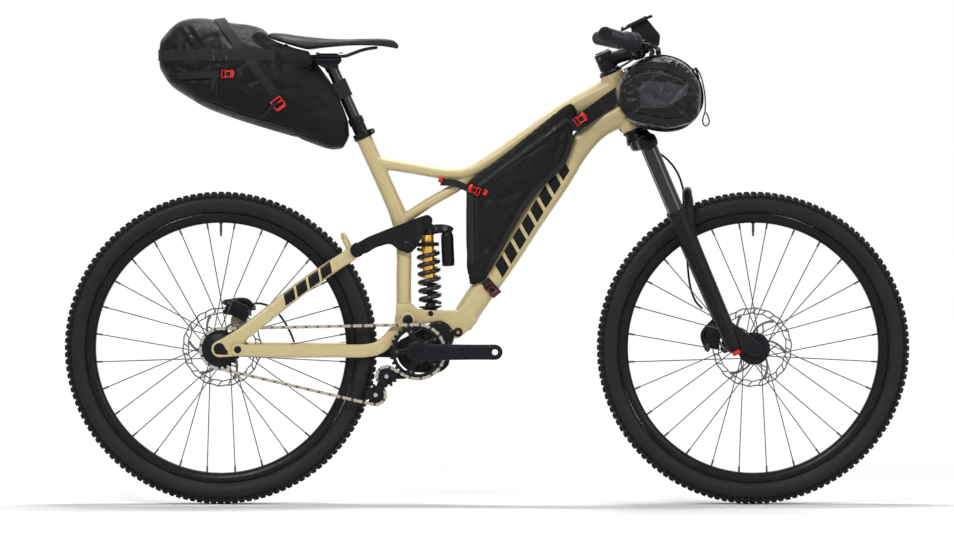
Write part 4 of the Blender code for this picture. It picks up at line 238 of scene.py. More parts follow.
def plateShape(outline, low, high, chamfer=0.0008, place=layer):
    # outline of (x, h) given thickness from y low to y high, with both rims chamfered
    inner = inset(outline, chamfer)
    outline = np.asarray(outline, float)
    rings = [place(inner, low), place(outline, low + chamfer), place(outline, high - chamfer), place(inner, high)]
    return gridShape(np.stack(rings))


def sidePlate(outline, side, near, far, chamfer):
    # plate on one side of the bike, between two distances from its middle
    low, high = sorted((side * near, side * far))
    return plateShape(outline, low, high, chamfer)


def boxShape(centre, size, axes=None, edge=0.0008):
    # small block with chamfered rims, turned by three axes
    axes = np.eye(3) if axes is None else unit(axes)
    half = np.asarray(size, float) / 2
    e = min(edge, half.min() * 0.6)
    corners = np.array([(-1, -1), (1, -1), (1, 1), (-1, 1)], float)
    rings = []
    for z, k in ((-half[2], e), (-half[2] + e, 0), (half[2] - e, 0), (half[2], e)):
        flat = rounded(corners * (half[:2] - k), e * 1.5 + 1e-6, 3)
        rings.append(np.asarray(centre) + flat[:, :1] * axes[0] + flat[:, 1:] * axes[1] + z * axes[2])
    return gridShape(np.stack(rings))


def makePiece(name, shapes, material, body, replaced=(), angle=38, ride=True):
    # joins shapes into one mesh object, shades it smooth up to the angle and hands it to its body
    shapes = shapes if isinstance(shapes, list) else [shapes]
    materials = material if isinstance(material, list) else [material]
    points = np.vstack([shape[0] for shape in shapes])
    faces, marks, offset = [], [], 0
    for shape in shapes:
        faces += [[i + offset for i in face] for face in shape[1]]
        marks += [shape[2] if len(shape) > 2 else 0] * len(shape[1])
        offset += len(shape[0])
    mesh = bpy.data.meshes.new(name)
    mesh.from_pydata(points.tolist(), [], faces)
    for m in materials:
        mesh.materials.append(m)
    mesh.polygons.foreach_set("material_index", marks)
    work = bmesh.new()
    work.from_mesh(mesh)
    bmesh.ops.recalc_face_normals(work, faces=work.faces)
    work.to_mesh(mesh)
    work.free()
    mesh.shade_smooth()
    mesh.set_sharp_from_angle(angle=math.radians(angle))
    piece = bpy.data.objects.new(name, mesh)
    bpy.context.scene.collection.objects.link(piece)
    if replaced:
        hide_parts(*replaced)
    if ride:
        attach(piece, body)
    return piece


def marked(shape, index):
    # the same shape with its faces set to another of the piece's materials
    return shape[0], shape[1], index


# Finishes. Every pattern reads Object coordinates in metres, or the piece's own UV map in metres.

finish = {
    "sand": (0.56, 0.455, 0.225),
    "black": (0.007, 0.007, 0.008),
    "softBlack": (0.009, 0.009, 0.0105),
    "cloth": (0.0044, 0.0038, 0.0038),
    "tyre": (0.01, 0.0098, 0.0125),
    "red": (0.62, 0.02, 0.018),
    "gold": (0.8, 0.43, 0.07),
    "chain": (0.4, 0.36, 0.3),
}


def nodeTools(tree):
    # one helper that sets or links a node's inputs, i0 being its first one, and one that adds a node and does so
    def join(node, **sockets):
        for key, value in sockets.items():
            target = node.inputs[int(key[1]) if key in ("i0", "i1", "i2", "i6", "i7") else key.replace("_", " ")]
            if isinstance(value, bpy.types.NodeSocket):
                tree.links.new(value, target)
            else:
                target.default_value = value
        return node

    def add(kind, values=None, **sockets):
        node = tree.nodes.new("ShaderNode" + kind)
        for key, value in (values or {}).items():
            setattr(node, key, value)
        return join(node, **sockets)

    return add, join


def blank(name):
    # new node material with its two helpers, its shader and its Object coordinates
    material = bpy.data.materials.new(name)
    material.use_nodes = True
    add, join = nodeTools(material.node_tree)
    shader = material.node_tree.nodes["Principled BSDF"]
    return material, add, lambda **sockets: join(shader, **sockets), add("TexCoord").outputs["Object"]


def noise(add, place, scale, detail, **more):
    return add("TexNoise", Vector=place, Scale=scale, Detail=detail, **more).outputs["Fac"]


def calc(add, kind, *values):
    return add("Math", {"operation": kind}, **{"i%d" % k: value for k, value in enumerate(values)}).outputs[0]


def ramp(add, fac, stops):
    # a grey is one number, a colour three
    node = add("ValToRGB", i0=fac)
    elements = node.color_ramp.elements
    while len(elements) < len(stops):
        elements.new(0.5)
    for element, (place, value) in zip(elements, stops):
        element.position = place
        element.color = (*value, 1) if isinstance(value, tuple) else (value, value, value, 1)
    return node.outputs[0]


def shade(colour, k):
    return tuple(min(1.0, c * k) for c in colour)


def bump(add, height, strength, distance):
    return add("Bump", Strength=strength, Distance=distance, Height=height).outputs[0]


def paintFinish(name, colour, rough, metal=0.0, coat=0.0, spread=0.1, grain=900.0, depth=0.00004, shine=0.5):
    # painted or anodised metal: broad colour drift, uneven gloss and a fine orange-peel bump
    material, add, look, place = blank(name)
    drift = noise(add, place, 14.0, 5.0, Roughness=0.6)
    scuff = noise(add, place, 160.0, 4.0)
    look(Base_Color=ramp(add, drift, [(0.3, shade(colour, 1 - spread)), (0.7, shade(colour, 1 + spread))]),
         Roughness=ramp(add, scuff, [(0.35, max(0.03, rough - 0.07)), (0.65, rough + 0.07)]),
         Normal=bump(add, noise(add, place, grain, 2.0), 0.25, depth),
         Metallic=metal, Coat_Weight=coat, Coat_Roughness=0.25, Specular_IOR_Level=shine)
    return material


def brushedFinish(name, colour, rough, direction=(1, 1, 40), spread=0.18):
    # bright metal with fine scratches drawn out along one direction
    material, add, look, place = blank(name)
    lines = noise(add, add("Mapping", Vector=place, Scale=direction).outputs[0], 60.0, 6.0)
    look(Base_Color=ramp(add, lines, [(0.3, shade(colour, 1 - spread)), (0.7, shade(colour, 1 + spread))]),
         Roughness=ramp(add, lines, [(0.3, rough - 0.08), (0.7, rough + 0.1)]),
         Normal=bump(add, lines, 0.2, 0.00005), Metallic=1.0)
    return material


def rubberFinish(name, colour, rough=0.75, dust=0.35):
    # moulded rubber with a pale bloom in noise patches and a pebbled skin
    material, add, look, place = blank(name)
    bloom = noise(add, place, 22.0, 7.0, Roughness=0.65)
    skin = add("TexVoronoi", Vector=place, Scale=1400.0).outputs["Distance"]
    look(Base_Color=ramp(add, bloom, [(0.35, shade(colour, 0.85)), (0.72, shade(colour, 1 + dust))]),
         Roughness=ramp(add, bloom, [(0.3, rough - 0.12), (0.7, rough + 0.08)]),
         Normal=bump(add, skin, 0.3, 0.00008), Specular_IOR_Level=0.16)
    return material


def waves(add, axis, period):
    # sin(2 pi x / period)
    return calc(add, "SINE", calc(add, "MULTIPLY", axis, 2 * math.pi / period))


def clothFinish(name, colour, rough=0.62, crease=1.0, shine=0.22):
    # coated bag cloth: a fine plain weave with a heavier square grid of ripstop threads, and a soft crumple
    cell, thread, sharp = 0.0042, 0.0009, 0.9
    material, add, look, place = blank(name)
    split = add("SeparateXYZ", i0=place)
    axes = calc(add, "ADD", split.outputs[0], split.outputs[1]), split.outputs[2]
    grid = calc(add, "MAXIMUM",
                *[ramp(add, waves(add, axis, cell), [(sharp - 0.02, 0), (1.0, 1)]) for axis in axes])
    plain = calc(add, "MULTIPLY", *[waves(add, axis, thread) for axis in axes])
    crumple = noise(add, place, 34.0, 6.0, Roughness=0.55, Distortion=0.8)
    base = ramp(add, noise(add, place, 11.0, 4.0), [(0.3, shade(colour, 0.8)), (0.7, shade(colour, 1.25))])
    light = add("Mix", {"data_type": "RGBA"}, i0=calc(add, "MULTIPLY", grid, 0.45), i6=base,
                i7=(*shade(colour, 2.1), 1))
    ridge = calc(add, "MULTIPLY_ADD", grid, 0.25, calc(add, "MULTIPLY", plain, 0.1))
    height = calc(add, "MULTIPLY_ADD", crumple, 6.0 * crease, ridge)
    look(Base_Color=light.outputs[2], Roughness=ramp(add, crumple, [(0.3, rough - 0.14), (0.7, rough + 0.1)]),
         Normal=bump(add, height, 0.55, 0.0006), Sheen_Weight=0.02, Sheen_Roughness=0.5, Specular_IOR_Level=shine)
    return material


def webbingFinish(name, colour):
    # woven strap: ribs across it from its own UV map, whose u runs along the strap and v across, in metres
    material, add, look = blank(name)[:3]
    split = add("SeparateXYZ", i0=add("UVMap").outputs[0])
    across, along = waves(add, split.outputs[0], 0.0016), waves(add, split.outputs[1], 0.0024)
    weave = calc(add, "MULTIPLY", across, along)
    look(Base_Color=ramp(add, weave, [(0.0, shade(colour, 0.8)), (1.0, shade(colour, 1.5))]),
         Roughness=ramp(add, across, [(0.0, 0.52), (1.0, 0.7)]),
         Normal=bump(add, weave, 0.5, 0.0002), Specular_IOR_Level=0.2)
    return material


sandPaint = paintFinish("sandPaint", finish["sand"], 0.42, coat=0.18, spread=0.035)
blackPaint = paintFinish("blackPaint", finish["black"], 0.32, spread=0.25, shine=0.13)
blackAlloy = paintFinish("blackAlloy", (0.008, 0.0092, 0.0115), 0.34, metal=0.25, spread=0.2, shine=0.16)
castBlack = paintFinish("castBlack", (0.008, 0.008, 0.0092), 0.44, spread=0.25, grain=500.0, depth=0.0001,
                        shine=0.14)
mattPlastic = paintFinish("mattPlastic", finish["softBlack"], 0.5, spread=0.2, grain=1500.0, shine=0.13)
darkStanchion = paintFinish("darkStanchion", (0.014, 0.0135, 0.0135), 0.14, metal=0.3, spread=0.1, grain=2500.0,
                            depth=0.00001, shine=0.5)
redAlloy = paintFinish("redAlloy", finish["red"], 0.3, metal=0.55, spread=0.1)
# painted shade: a darker copy of the red buckle finish, for the foot buckle that sits in shade low on the down tube
shadedRedAlloy = paintFinish("shadedRedAlloy", (0.1, 0.008, 0.008), 0.34, metal=0.3, spread=0.15)
goldAlloy = paintFinish("goldAlloy", finish["gold"], 0.28, metal=0.85, spread=0.1)
springSteel = paintFinish("springSteel", (0.011, 0.011, 0.012), 0.28, coat=0.25, spread=0.2, shine=0.3)
rotorSteel = brushedFinish("rotorSteel", (0.16, 0.16, 0.165), 0.3, (40, 1, 40))
boltSteel = brushedFinish("boltSteel", (0.42, 0.42, 0.43), 0.35, (20, 20, 20))
spokeSteel = brushedFinish("spokeSteel", (0.085, 0.085, 0.09), 0.32, (1, 1, 1))
chainSteel = brushedFinish("chainSteel", finish["chain"], 0.36, (12, 12, 12), 0.25)
darkSteel = brushedFinish("darkSteel", (0.075, 0.072, 0.07), 0.42, (12, 12, 12), 0.25)
tyreRubber = rubberFinish("tyreRubber", finish["tyre"], 0.72, 0.55)
wallRubber = rubberFinish("wallRubber", (0.0125, 0.0122, 0.015), 0.55, 0.3)
gripRubber = rubberFinish("gripRubber", (0.017, 0.016, 0.022), 0.6, 0.3)
leverBlack = paintFinish("leverBlack", (0.007, 0.007, 0.0078), 0.66, spread=0.2, shine=0.06)
hoseRubber = rubberFinish("hoseRubber", (0.01, 0.01, 0.011), 0.42, 0.2)
bagCloth = clothFinish("bagCloth", finish["cloth"], rough=0.4, crease=1.7, shine=0.13)
bagGloss = clothFinish("bagGloss", (0.0042, 0.0038, 0.004), rough=0.17, crease=1.3, shine=0.2)
strapWeb = webbingFinish("strapWeb", (0.0105, 0.0098, 0.0115))
saddleSkin = rubberFinish("saddleSkin", (0.013, 0.013, 0.014), 0.44, 0.25)
slateCloth = clothFinish("slateCloth", (0.019, 0.021, 0.027), rough=0.34, crease=2.0, shine=0.28)
mutedThread = rubberFinish("mutedThread", (0.1, 0.1, 0.105), 0.6, 0.2)
print("finishes made")


# Camera, light and floor

view = {
    "centre": (-0.0225, 0.0, 0.5088),
    "distance": 15.0,
    "width": 2.137,
    "rise": 0.35,
    "sensor": 36.0,
}


def placeCamera():
    v = view
    camera = bpy.data.cameras.new("sideCamera")
    camera.sensor_width = v["sensor"]
    camera.lens = v["sensor"] * v["distance"] / v["width"]
    camera.clip_end = 60
    holder = bpy.data.objects.new("sideCamera", camera)
    bpy.context.scene.collection.objects.link(holder)
    centre = Vector(v["centre"])
    holder.location = centre + Vector((0, -v["distance"], v["rise"]))
    holder.rotation_euler = (centre - holder.location).to_track_quat("-Z", "Y").to_euler()
    bpy.context.scene.camera = holder


def placeLamp(name, place, aim, size, watts):
    lamp = bpy.data.lights.new(name, "AREA")
    lamp.shape = "RECTANGLE"
    lamp.size, lamp.size_y = size
    lamp.energy = watts
    holder = bpy.data.objects.new(name, lamp)
    bpy.context.scene.collection.objects.link(holder)
    holder.location = place
    holder.rotation_euler = (Vector(aim) - Vector(place)).to_track_quat("-Z", "Y").to_euler()


def whiteToCamera(add):
    # 1 for camera, glossy and transmission rays, which see plain white; other rays see what is lit
    seen = add("LightPath").outputs
    glossy = calc(add, "MAXIMUM", seen["Is Camera Ray"], seen["Is Glossy Ray"])
    return calc(add, "MAXIMUM", glossy, seen["Is Transmission Ray"])


def lightWorld():
    world = bpy.data.worlds.new("studio")
    bpy.context.scene.world = world
    world.use_nodes = True
    world.node_tree.nodes.clear()
    add = nodeTools(world.node_tree)[0]
    soft = add("Background", Color=(0.92, 0.95, 1.0, 1), Strength=0.27)
    white = add("Background", Color=(1, 1, 1, 1), Strength=1.0)
    mix = add("MixShader", i0=whiteToCamera(add), i1=soft.outputs[0], i2=white.outputs[0])
    add("OutputWorld", Surface=mix.outputs[0])


def layFloor():
    # pale floor: one flat plane under the wheels, so the tyres keep their soft shadow
    mesh = bpy.data.meshes.new("studioFloor")
    corners = [(x, y, -0.0012) for x, y in ((-14, -12), (14, -12), (14, 14), (-14, 14))]
    mesh.from_pydata(corners, [], [(0, 1, 2, 3)])
    floor = bpy.data.objects.new("studioFloor", mesh)
    bpy.context.scene.collection.objects.link(floor)
    material = bpy.data.materials.new("studioFloor")
    material.use_nodes = True
    material.node_tree.nodes.clear()
    add = nodeTools(material.node_tree)[0]
    # 0 close to the bike and 1 beyond three metres
    length = add("VectorMath", {"operation": "LENGTH"}, i0=add("TexCoord").outputs["Object"])
    far = add("MapRange", {"interpolation_type": "SMOOTHSTEP"}, Value=length.outputs["Value"], From_Min=0.8,
              From_Max=3.0)
    tones = [add("Mix", {"data_type": "RGBA"}, i0=far.outputs["Result"], i6=(near, near, near, 1),
                 i7=(away, away, away, 1)) for near, away in ((0.84, 0.0), (0.02, 1.03))]
    paper = add("BsdfDiffuse", Color=tones[0].outputs[2])
    glow = add("Emission", Color=tones[1].outputs[2])
    dark = add("Emission", Strength=0.0)
    pick = add("MixShader", i0=whiteToCamera(add), i1=dark.outputs[0], i2=glow.outputs[0])
    both = add("AddShader", i0=paper.outputs[0], i1=pick.outputs[0])
    add("OutputMaterial", Surface=both.outputs[0])
    mesh.materials.append(material)


placeCamera()
for lamp in (("keyLamp", (-1.6, -4.2, 3.6), (0, 0, 0.45), (1.8, 1.1), 146),
             ("sideLamp", (3.4, -3.2, 2.2), (0, 0, 0.5), (2.0, 2.2), 56),
             ("topLamp", (0, 0.6, 4.2), (0, 0, 0.4), (2.0, 0.5), 136),
             ("backLamp", (0.4, 4.2, 2.6), (0, 0, 0.5), (3.6, 2.0), 34)):
    placeLamp(*lamp)
lightWorld()
layFloor()

print("camera, lamps and floor placed")


# Draw cord, with its length worked out along it

drawCord = {
    "side": -0.15,
    "radius": 0.0016,
    "route": mm((458.12, 620.4), (463.7, 624.3), (474.2, 606), (481.9, 572), (483.6, 545), (482.8, 528),
                (478.6, 515), (478.2, 505), (482.8, 497.5), (490, 500), (492.5, 508), (489.2, 519), (485.6, 527)),
}


def drawCordShape():
    c = drawCord
    path = layer(np.array(c["route"]), c["side"])
    return smoothRows(np.hstack([path, np.full((len(path), 2), c["radius"])]), 90)


cordLine = drawCordShape()
cordPiece = makePiece("drawCordLine", sweep(cordLine, sides=10), hoseRubber, "steering", ["draw_cord"])
cordLength = float(runOf(cordLine[:, :3])[-1])


# Wheels

wheel = {
    "rimOuter": 0.3015,
    "rimDepth": 0.0215,
    "rimWidth": 0.034,
    "tyreHeight": 0.0485,
    "tyreWidth": 0.059,
    "knobDepth": 0.0036,
    "segments": 192,
    "pitches": 136,
    "spokes": 28,
    "spokeRadius": 0.00115,
    "flangeRadius": 0.027,
    "leanRight": math.radians(64),
    "leanLeft": math.radians(46),
    "rotorRadius": 0.09,
    "rotorThick": 0.002,
}


def ringPlace(centre, radius, angle, y):
    # point of a wheel from its radius, its turn from straight up and its distance to the left
    return (np.asarray(centre)
            + np.stack([radius * np.sin(angle), y + 0 * radius * angle, radius * np.cos(angle)], -1))


def tyreCasing(centre):
    # casing section: a superellipse from bead to bead, its radius a little less than the knobs' tops
    w = wheel
    carcass = w["rimOuter"] + w["tyreHeight"] - w["knobDepth"]
    turn = np.linspace(-0.97, 0.97, 33)
    phi = turn * math.pi * 0.8
    half = w["tyreWidth"] / 2
    middle = w["rimOuter"] + 0.47 * w["tyreHeight"]
    top = carcass - middle
    low = middle - w["rimOuter"] - 0.0003
    c, s = np.cos(phi), np.sin(phi)
    r = middle + np.where(c > 0, top * np.abs(c) ** 0.86, -low * np.abs(c) ** 0.9 * 1.22)
    r = np.maximum(r, w["rimOuter"] + 0.0003)
    y = half * np.sign(s) * np.abs(s) ** 0.92
    y[0], y[-1] = -w["rimWidth"] / 2 + 0.001, w["rimWidth"] / 2 - 0.001
    r[0] = r[-1] = w["rimOuter"] + 0.0003
    profile = np.stack([y, r], 1)
    return turnedAbout(profile, centre, (0, 1, 0), w["segments"], hollow=True)


def knobSet(centre, width, length, y, shift, tilt, bottom, top, count):
    # one block per tread pitch: two rings of four corners, drawn in at the top, all pitches at once
    pitch = 2 * math.pi / count
    base = np.arange(count) * pitch + shift * pitch
    corners = np.array([(-1, -1), (1, -1), (1, 1), (-1, 1)], float)
    layers = []
    for radius, k in ((bottom, 1.1), (top - 0.0006, 1.0), (top, 0.86)):
        along = corners[:, 0] * length / 2 * k
        across = corners[:, 1] * width / 2 * k
        a = along * math.cos(tilt) - across * math.sin(tilt)
        b = along * math.sin(tilt) + across * math.cos(tilt)
        angle = base[:, None] + a[None] / top
        layers.append(ringPlace(centre, np.full(angle.shape, radius), angle, (y + b)[None]))
    grid = np.stack(layers, 1)
    points = grid.reshape(-1, 3)
    faces = []
    for k in range(count):
        o = k * 12
        for j in (0, 4):
            faces += [[o + j + i, o + j + (i + 1) % 4, o + j + 4 + (i + 1) % 4, o + j + 4 + i] for i in range(4)]
        faces += [[o + 8, o + 9, o + 10, o + 11], [o + 3, o + 2, o + 1, o]]
    return points, faces


def treadKnobs(centre):
    # centre blocks in pairs, slanted intermediate blocks and square shoulder blocks, turn about
    w = wheel
    top = w["rimOuter"] + w["tyreHeight"]
    base = top - w["knobDepth"] - 0.0012
    # width, length, distance from the middle, shift along the pitch, tilt, drops of the foot and of the top
    blocks = ((0.0068, 0.0088, 0.0048, 0.0, 0.1, 0.0, 0.0), (0.0066, 0.008, 0.0136, 0.12, -0.2, 0.001, 0.0011),
              (0.0076, 0.0084, 0.022, 0.06, 0.08, 0.0062, 0.0042),
              (0.0046, 0.0056, 0.0262, 0.56, -0.2, 0.0092, 0.0082))
    return [knobSet(centre, wide, long, side * y, shift, side * tilt, base - foot, top - drop, w["pitches"])
            for side in (-1, 1) for wide, long, y, shift, tilt, foot, drop in blocks]


def wallMarks(centre):
    # raised rings moulded round each side wall
    w = wheel
    shapes = []
    for side in (-1, 1):
        for radius, y in ((0.315, 0.0272), (0.3415, 0.0268)):
            ring = np.array([(side * (y - 0.0012), radius - 0.0012), (side * (y + 0.0006), radius - 0.0006),
                             (side * (y + 0.0006), radius + 0.0006), (side * (y - 0.0012), radius + 0.0012)])
            shapes.append(turnedAbout(ring, centre, (0, 1, 0), w["segments"], hollow=True))
    return shapes


def rimShape(centre):
    # box section with rounded shoulders and a stepped well
    w = wheel
    half, outer, inner = w["rimWidth"] / 2, w["rimOuter"], w["rimOuter"] - w["rimDepth"]
    profile = rounded([(-half, outer), (half, outer), (half, outer - 0.01), (half * 0.62, inner),
                       (-half * 0.62, inner), (-half, outer - 0.01)], [0.0012, 0.0012, 0.006, 0.006, 0.006, 0.006],
                      4)
    return turnedAbout(profile, centre, (0, 1, 0), w["segments"], hollow=True)


def valveShapes(centre):
    w = wheel
    inner = w["rimOuter"] - w["rimDepth"]
    low = np.asarray(centre) + np.array((0, 0, inner))
    profile = mm((-3, 3.5), (0, 4.6), (1.6, 4.6), (1.8, 3), (21, 3), (22, 2.4), (28.5, 2.4), (30, 1.4))
    return [turnedAbout(profile, low, (0, 0, -1), 16)]


def hubShape(centre, half, right, left, barrel, drive, offset, bore):
    # hub shell: end cap, driver or cap side, two drilled-look flanges, waisted barrel and rotor seat
    f, t = wheel["flangeRadius"], 0.0019
    stop = offset - 0.0013
    profile = [(-half, bore), (-half, drive - 0.001), (-half + 0.001, drive), (-right - 0.01, drive),
               (-right - 0.006, f - 0.006), (-right - t, f - 0.0012), (-right - t + 0.0008, f),
               (-right + t - 0.0008, f), (-right + t, f - 0.0012), (-right + t + 0.006, barrel + 0.003),
               (-right + t + 0.012, barrel), (left - t - 0.012, barrel), (left - t - 0.006, barrel + 0.003),
               (left - t, f - 0.0012), (left - t + 0.0008, f), (left + t - 0.0008, f), (left + t, f - 0.0012),
               (left + t + 0.003, 0.0215), (stop - 0.001, 0.0215), (stop, 0.0205), (stop, 0.0168),
               (half - 0.004, 0.016), (half, bore + 0.003), (half, bore)]
    return turnedAbout(profile, centre, (0, 1, 0), 48, hollow=True)


def spokeShapes(centre, right, left):
    # straight crossed spokes as thin six-sided bars, all at once, with a nipple at the rim end of each
    w = wheel
    perSide = w["spokes"] // 2
    reach = w["rimOuter"] - w["rimDepth"] + 0.001
    hole = w["flangeRadius"] - 0.0035
    starts, ends = [], []
    for side, flange, slant in ((-1, right, w["leanRight"]), (1, left, w["leanLeft"])):
        k = np.arange(perSide)
        lean = np.where(k % 2, 1, -1)
        rimTurn = 2 * math.pi * (k + (0.75 if side > 0 else 0.25)) / perSide
        hubTurn = rimTurn + lean * slant
        starts.append(ringPlace(centre, np.full(perSide, hole), hubTurn, side * (flange + lean * 0.001)))
        ends.append(ringPlace(centre, np.full(perSide, reach), rimTurn, side * (0.004 + lean * 0.001)))
    a, b = np.vstack(starts), np.vstack(ends)
    return [bars(a, b, w["spokeRadius"], 6), marked(bars(b + unit(a - b) * 0.014, b, 0.0021, 6), 1)]


def prisms(grid):
    # many closed bars at once, from a grid of (bar, end, corner)
    count, sides = grid.shape[0], grid.shape[2]
    o = (np.arange(count) * 2 * sides)[:, None]
    i = np.arange(sides)[None]
    j = (i + 1) % sides
    quads = np.stack([o + i, o + j, o + sides + j, o + sides + i], -1).reshape(-1, 4).tolist()
    return grid.reshape(-1, 3), quads + (o + i[:, ::-1]).tolist() + (o + sides + i).tolist()


def bars(a, b, radius, sides):
    # many straight bars in one go, from the rows of a to the rows of b
    along = unit(b - a)
    u = unit(np.cross(along, sideways + 1e-6))
    v = np.cross(along, u)
    turn = circle(sides)
    out = np.cos(turn)[None, :, None] * u[:, None] + np.sin(turn)[None, :, None] * v[:, None]
    grid = np.stack([a[:, None] + out * radius, b[:, None] + out * radius], 1)
    return prisms(grid)


def rotorShapes(centre, offset):
    # disc brake rotor: wavy track with two rings of slots, leaning arms and a bolted centre
    w = wheel
    R = w["rotorRadius"]
    shapes = []
    turn = circle(240)
    waveOut = R - 0.0011 + 0.001 * np.sin(18 * turn)
    waveIn = R - 0.0155 + 0.001 * np.sin(18 * turn + 2)
    cells = 24
    y0, y1 = offset - w["rotorThick"] / 2, offset + w["rotorThick"] / 2

    def band(inner, outer):
        corners = ((inner, y0), (outer, y0), (outer, y1), (inner, y1))
        return gridShape(np.stack([ringPlace(centre, r, turn, y) for r, y in corners], 1), loop=True)

    shapes += [band(waveOut - 0.0032, waveOut), band(waveIn, waveIn + 0.0028)]
    k = np.arange(cells) * 2 * math.pi / cells
    a = ringPlace(centre, np.full(cells, R - 0.0138), k, offset)
    b = ringPlace(centre, np.full(cells, R - 0.003), k + 0.1, offset)
    shapes.append(flatBars(a, b, 0.003, w["rotorThick"] * 0.98))
    arms = 6
    for j in range(arms):
        start = 2 * math.pi * j / arms
        t = np.linspace(0, 1, 9)
        r = 0.0235 + (R - 0.014 - 0.0235) * t
        path = ringPlace(centre, r, start + math.radians(40) * t ** 1.2, offset)
        rows = np.hstack([path, np.full((9, 1), w["rotorThick"] / 2),
                          (0.0036 - 0.0012 * np.sin(math.pi * t))[:, None]])
        shapes.append(sweep(rows, (0, 1, 0), 8, 5.0))
        path = ringPlace(centre, 0.0235 + (0.058 - 0.0235) * t, start + math.radians(52) - math.radians(30) * t,
                         offset)
        rows = np.hstack([path, np.full((9, 1), w["rotorThick"] / 2 * 0.96), np.full((9, 1), 0.0017)])
        shapes.append(sweep(rows, (0, 1, 0), 8, 5.0))
    shapes.append(turnedAbout([(y0, 0.0176), (y1, 0.0176), (y1, 0.0262), (y0, 0.0262)], centre, (0, 1, 0), 60,
                              hollow=True))
    return shapes


def flatBars(a, b, width, thick):
    # many flat links lying square to the wheel's axis
    along = unit(b - a)
    side = unit(np.cross(along, (0, 1, 0)))
    y = np.array((0, thick / 2, 0))
    grid = np.stack([np.stack([p - side * width / 2 - y, p + side * width / 2 - y, p + side * width / 2 + y,
                               p - side * width / 2 + y], 1) for p in (a, b)], 1)
    return prisms(grid)


def buildWheel(end, centre, half, right, left, barrel, drive, offset, bore):
    body = end + "_wheel"
    makePiece(end + "TyreWorn",
              [tyreCasing(centre)] + [marked(s, 1) for s in treadKnobs(centre)] + wallMarks(centre),
              [wallRubber, tyreRubber], body, [end + "_tyre"])
    makePiece(end + "RimHoop", [rimShape(centre)] + [marked(s, 1) for s in valveShapes(centre)],
              [blackPaint, darkSteel], body, [end + "_rim"])
    hub = [hubShape(centre, half, right, left, barrel, drive, offset, bore)]
    if end == "front":
        # wide end plate of the front hub, outside the spokes on the drive side
        hub.append(turnedAbout(mm((-50, 15), (-51.5, 30), (-50.5, 35.2), (-49, 36.4), (-40, 36.4), (-39, 35),
                                  (-39, 15)), centre, (0, 1, 0), 72, hollow=True))
    makePiece(end + "HubSpokes", [marked(s, 2) for s in hub] + spokeShapes(centre, right, left),
              [spokeSteel, darkSteel, blackAlloy], body, [end + "_hub"])
    rotor = rotorShapes(centre, offset)
    bolts = []
    for j in range(6):
        a = 2 * math.pi * j / 6 + 0.2
        spot = ringPlace(centre, np.array(0.022), np.array(a), offset + 0.001).reshape(3)
        bolts.append(marked(rodShape(spot, spot + np.array((0, 0.0018, 0)), 0.0026, 10, 0.0005), 1))
    makePiece(end + "BrakeDisc", rotor + bolts, [rotorSteel, darkSteel], body, [end + "_rotor"])


buildWheel("rear", at(bike["rearX"], 0), half=0.0735, right=0.026, left=0.034, barrel=0.015, drive=0.0155,
           offset=0.0585, bore=0.007)
buildWheel("front", at(bike["frontX"], 0), half=0.0542, right=0.036, left=0.026, barrel=0.017, drive=0.0145,
           offset=0.04, bore=0.0085)
print("wheels built")


# Main frame, with its welds blended by a voxel remesh

mainFrame = {
    "voxel": 0.0024,
    "smoothing": 8,
    "sides": 36,
    "topTube": mm((-250, 415.5, 18, 15), (-226, 412, 17.2, 13), (-160, 401, 17, 12.5), (-92, 390, 17, 12.5),
                  (-40, 394, 17.5, 13), (10, 420, 19, 15), (75, 464, 20, 16), (145, 511, 21, 18),
                  (205, 545, 22, 22), (282, 580, 23, 27)),
    "downTube": mm((-60, 52, 30, 27), (-23, 110, 30, 28), (40, 199, 29, 28), (98, 288, 28, 28),
                   (156, 372, 27, 27.5), (204, 448, 26, 27), (250, 495, 24.5, 26.2), (305, 523, 24, 26)),
    "strut": mm((-192, 284, 13, 12), (-130, 325, 13, 11.5), (-72, 358, 13, 11.2), (-30, 388, 13, 12)),
    "seatTube": mm((-279, 477, 17.9, 17.9), (-246, 404.1, 17.8, 17.8), (-216.2, 338.6, 18, 18),
                   (-197, 290, 18, 18.8), (-186.5, 228, 16.8, 17), (-186.5, 150, 18.8, 16.8),
                   (-186.5, 90, 21, 17.2), (-186.5, 56, 26, 22)),
    "cradle": mm((-203.5, 100), (-168, 100), (-158, 86.5), (-69, 83.5), (-45, 105), (-20, 60), (-62, 22), (-88, 22),
                 (-102, 60), (-145, 54), (-203.5, 46)),
    "rearBlock": mm((-203.5, 100), (-168, 100), (-160, 80), (-150, 56), (-203.5, 48)),
    "frontBlock": mm((-92, 60), (-69, 83.5), (-45, 105), (-20, 60), (-62, 22), (-88, 22)),
    "headTube": mm((0, 26.5), (12, 26.5), (30, 23.8), (105, 24), (123, 28.5), (135, 28.5)),
}


def settled(piece):
    # the piece's modifiers made part of its mesh
    bpy.context.view_layer.update()
    result = bpy.data.meshes.new_from_object(piece.evaluated_get(bpy.context.evaluated_depsgraph_get()))
    piece.modifiers.clear()
    old = piece.data
    piece.data = result
    bpy.data.meshes.remove(old)
    return piece


def oneLook(piece, material):
    piece.data.materials.clear()
    piece.data.materials.append(material)
    piece.data.shade_smooth()


def fused(piece, voxel, smoothing, factor=0.5, tool=None):
    # the piece's shapes as one skin of the given voxel size, with the tool cut out of it, then smoothed
    fuse = piece.modifiers.new("fuse", "REMESH")
    fuse.mode = "VOXEL"
    fuse.voxel_size = voxel
    if tool:
        cut = piece.modifiers.new("cut", "BOOLEAN")
        cut.operation, cut.solver, cut.object = "DIFFERENCE", "EXACT", tool
    dress = piece.modifiers.new("dress", "SMOOTH")
    dress.factor = factor
    dress.iterations = smoothing
    settled(piece)
    if tool:
        bpy.data.objects.remove(tool, do_unlink=True)


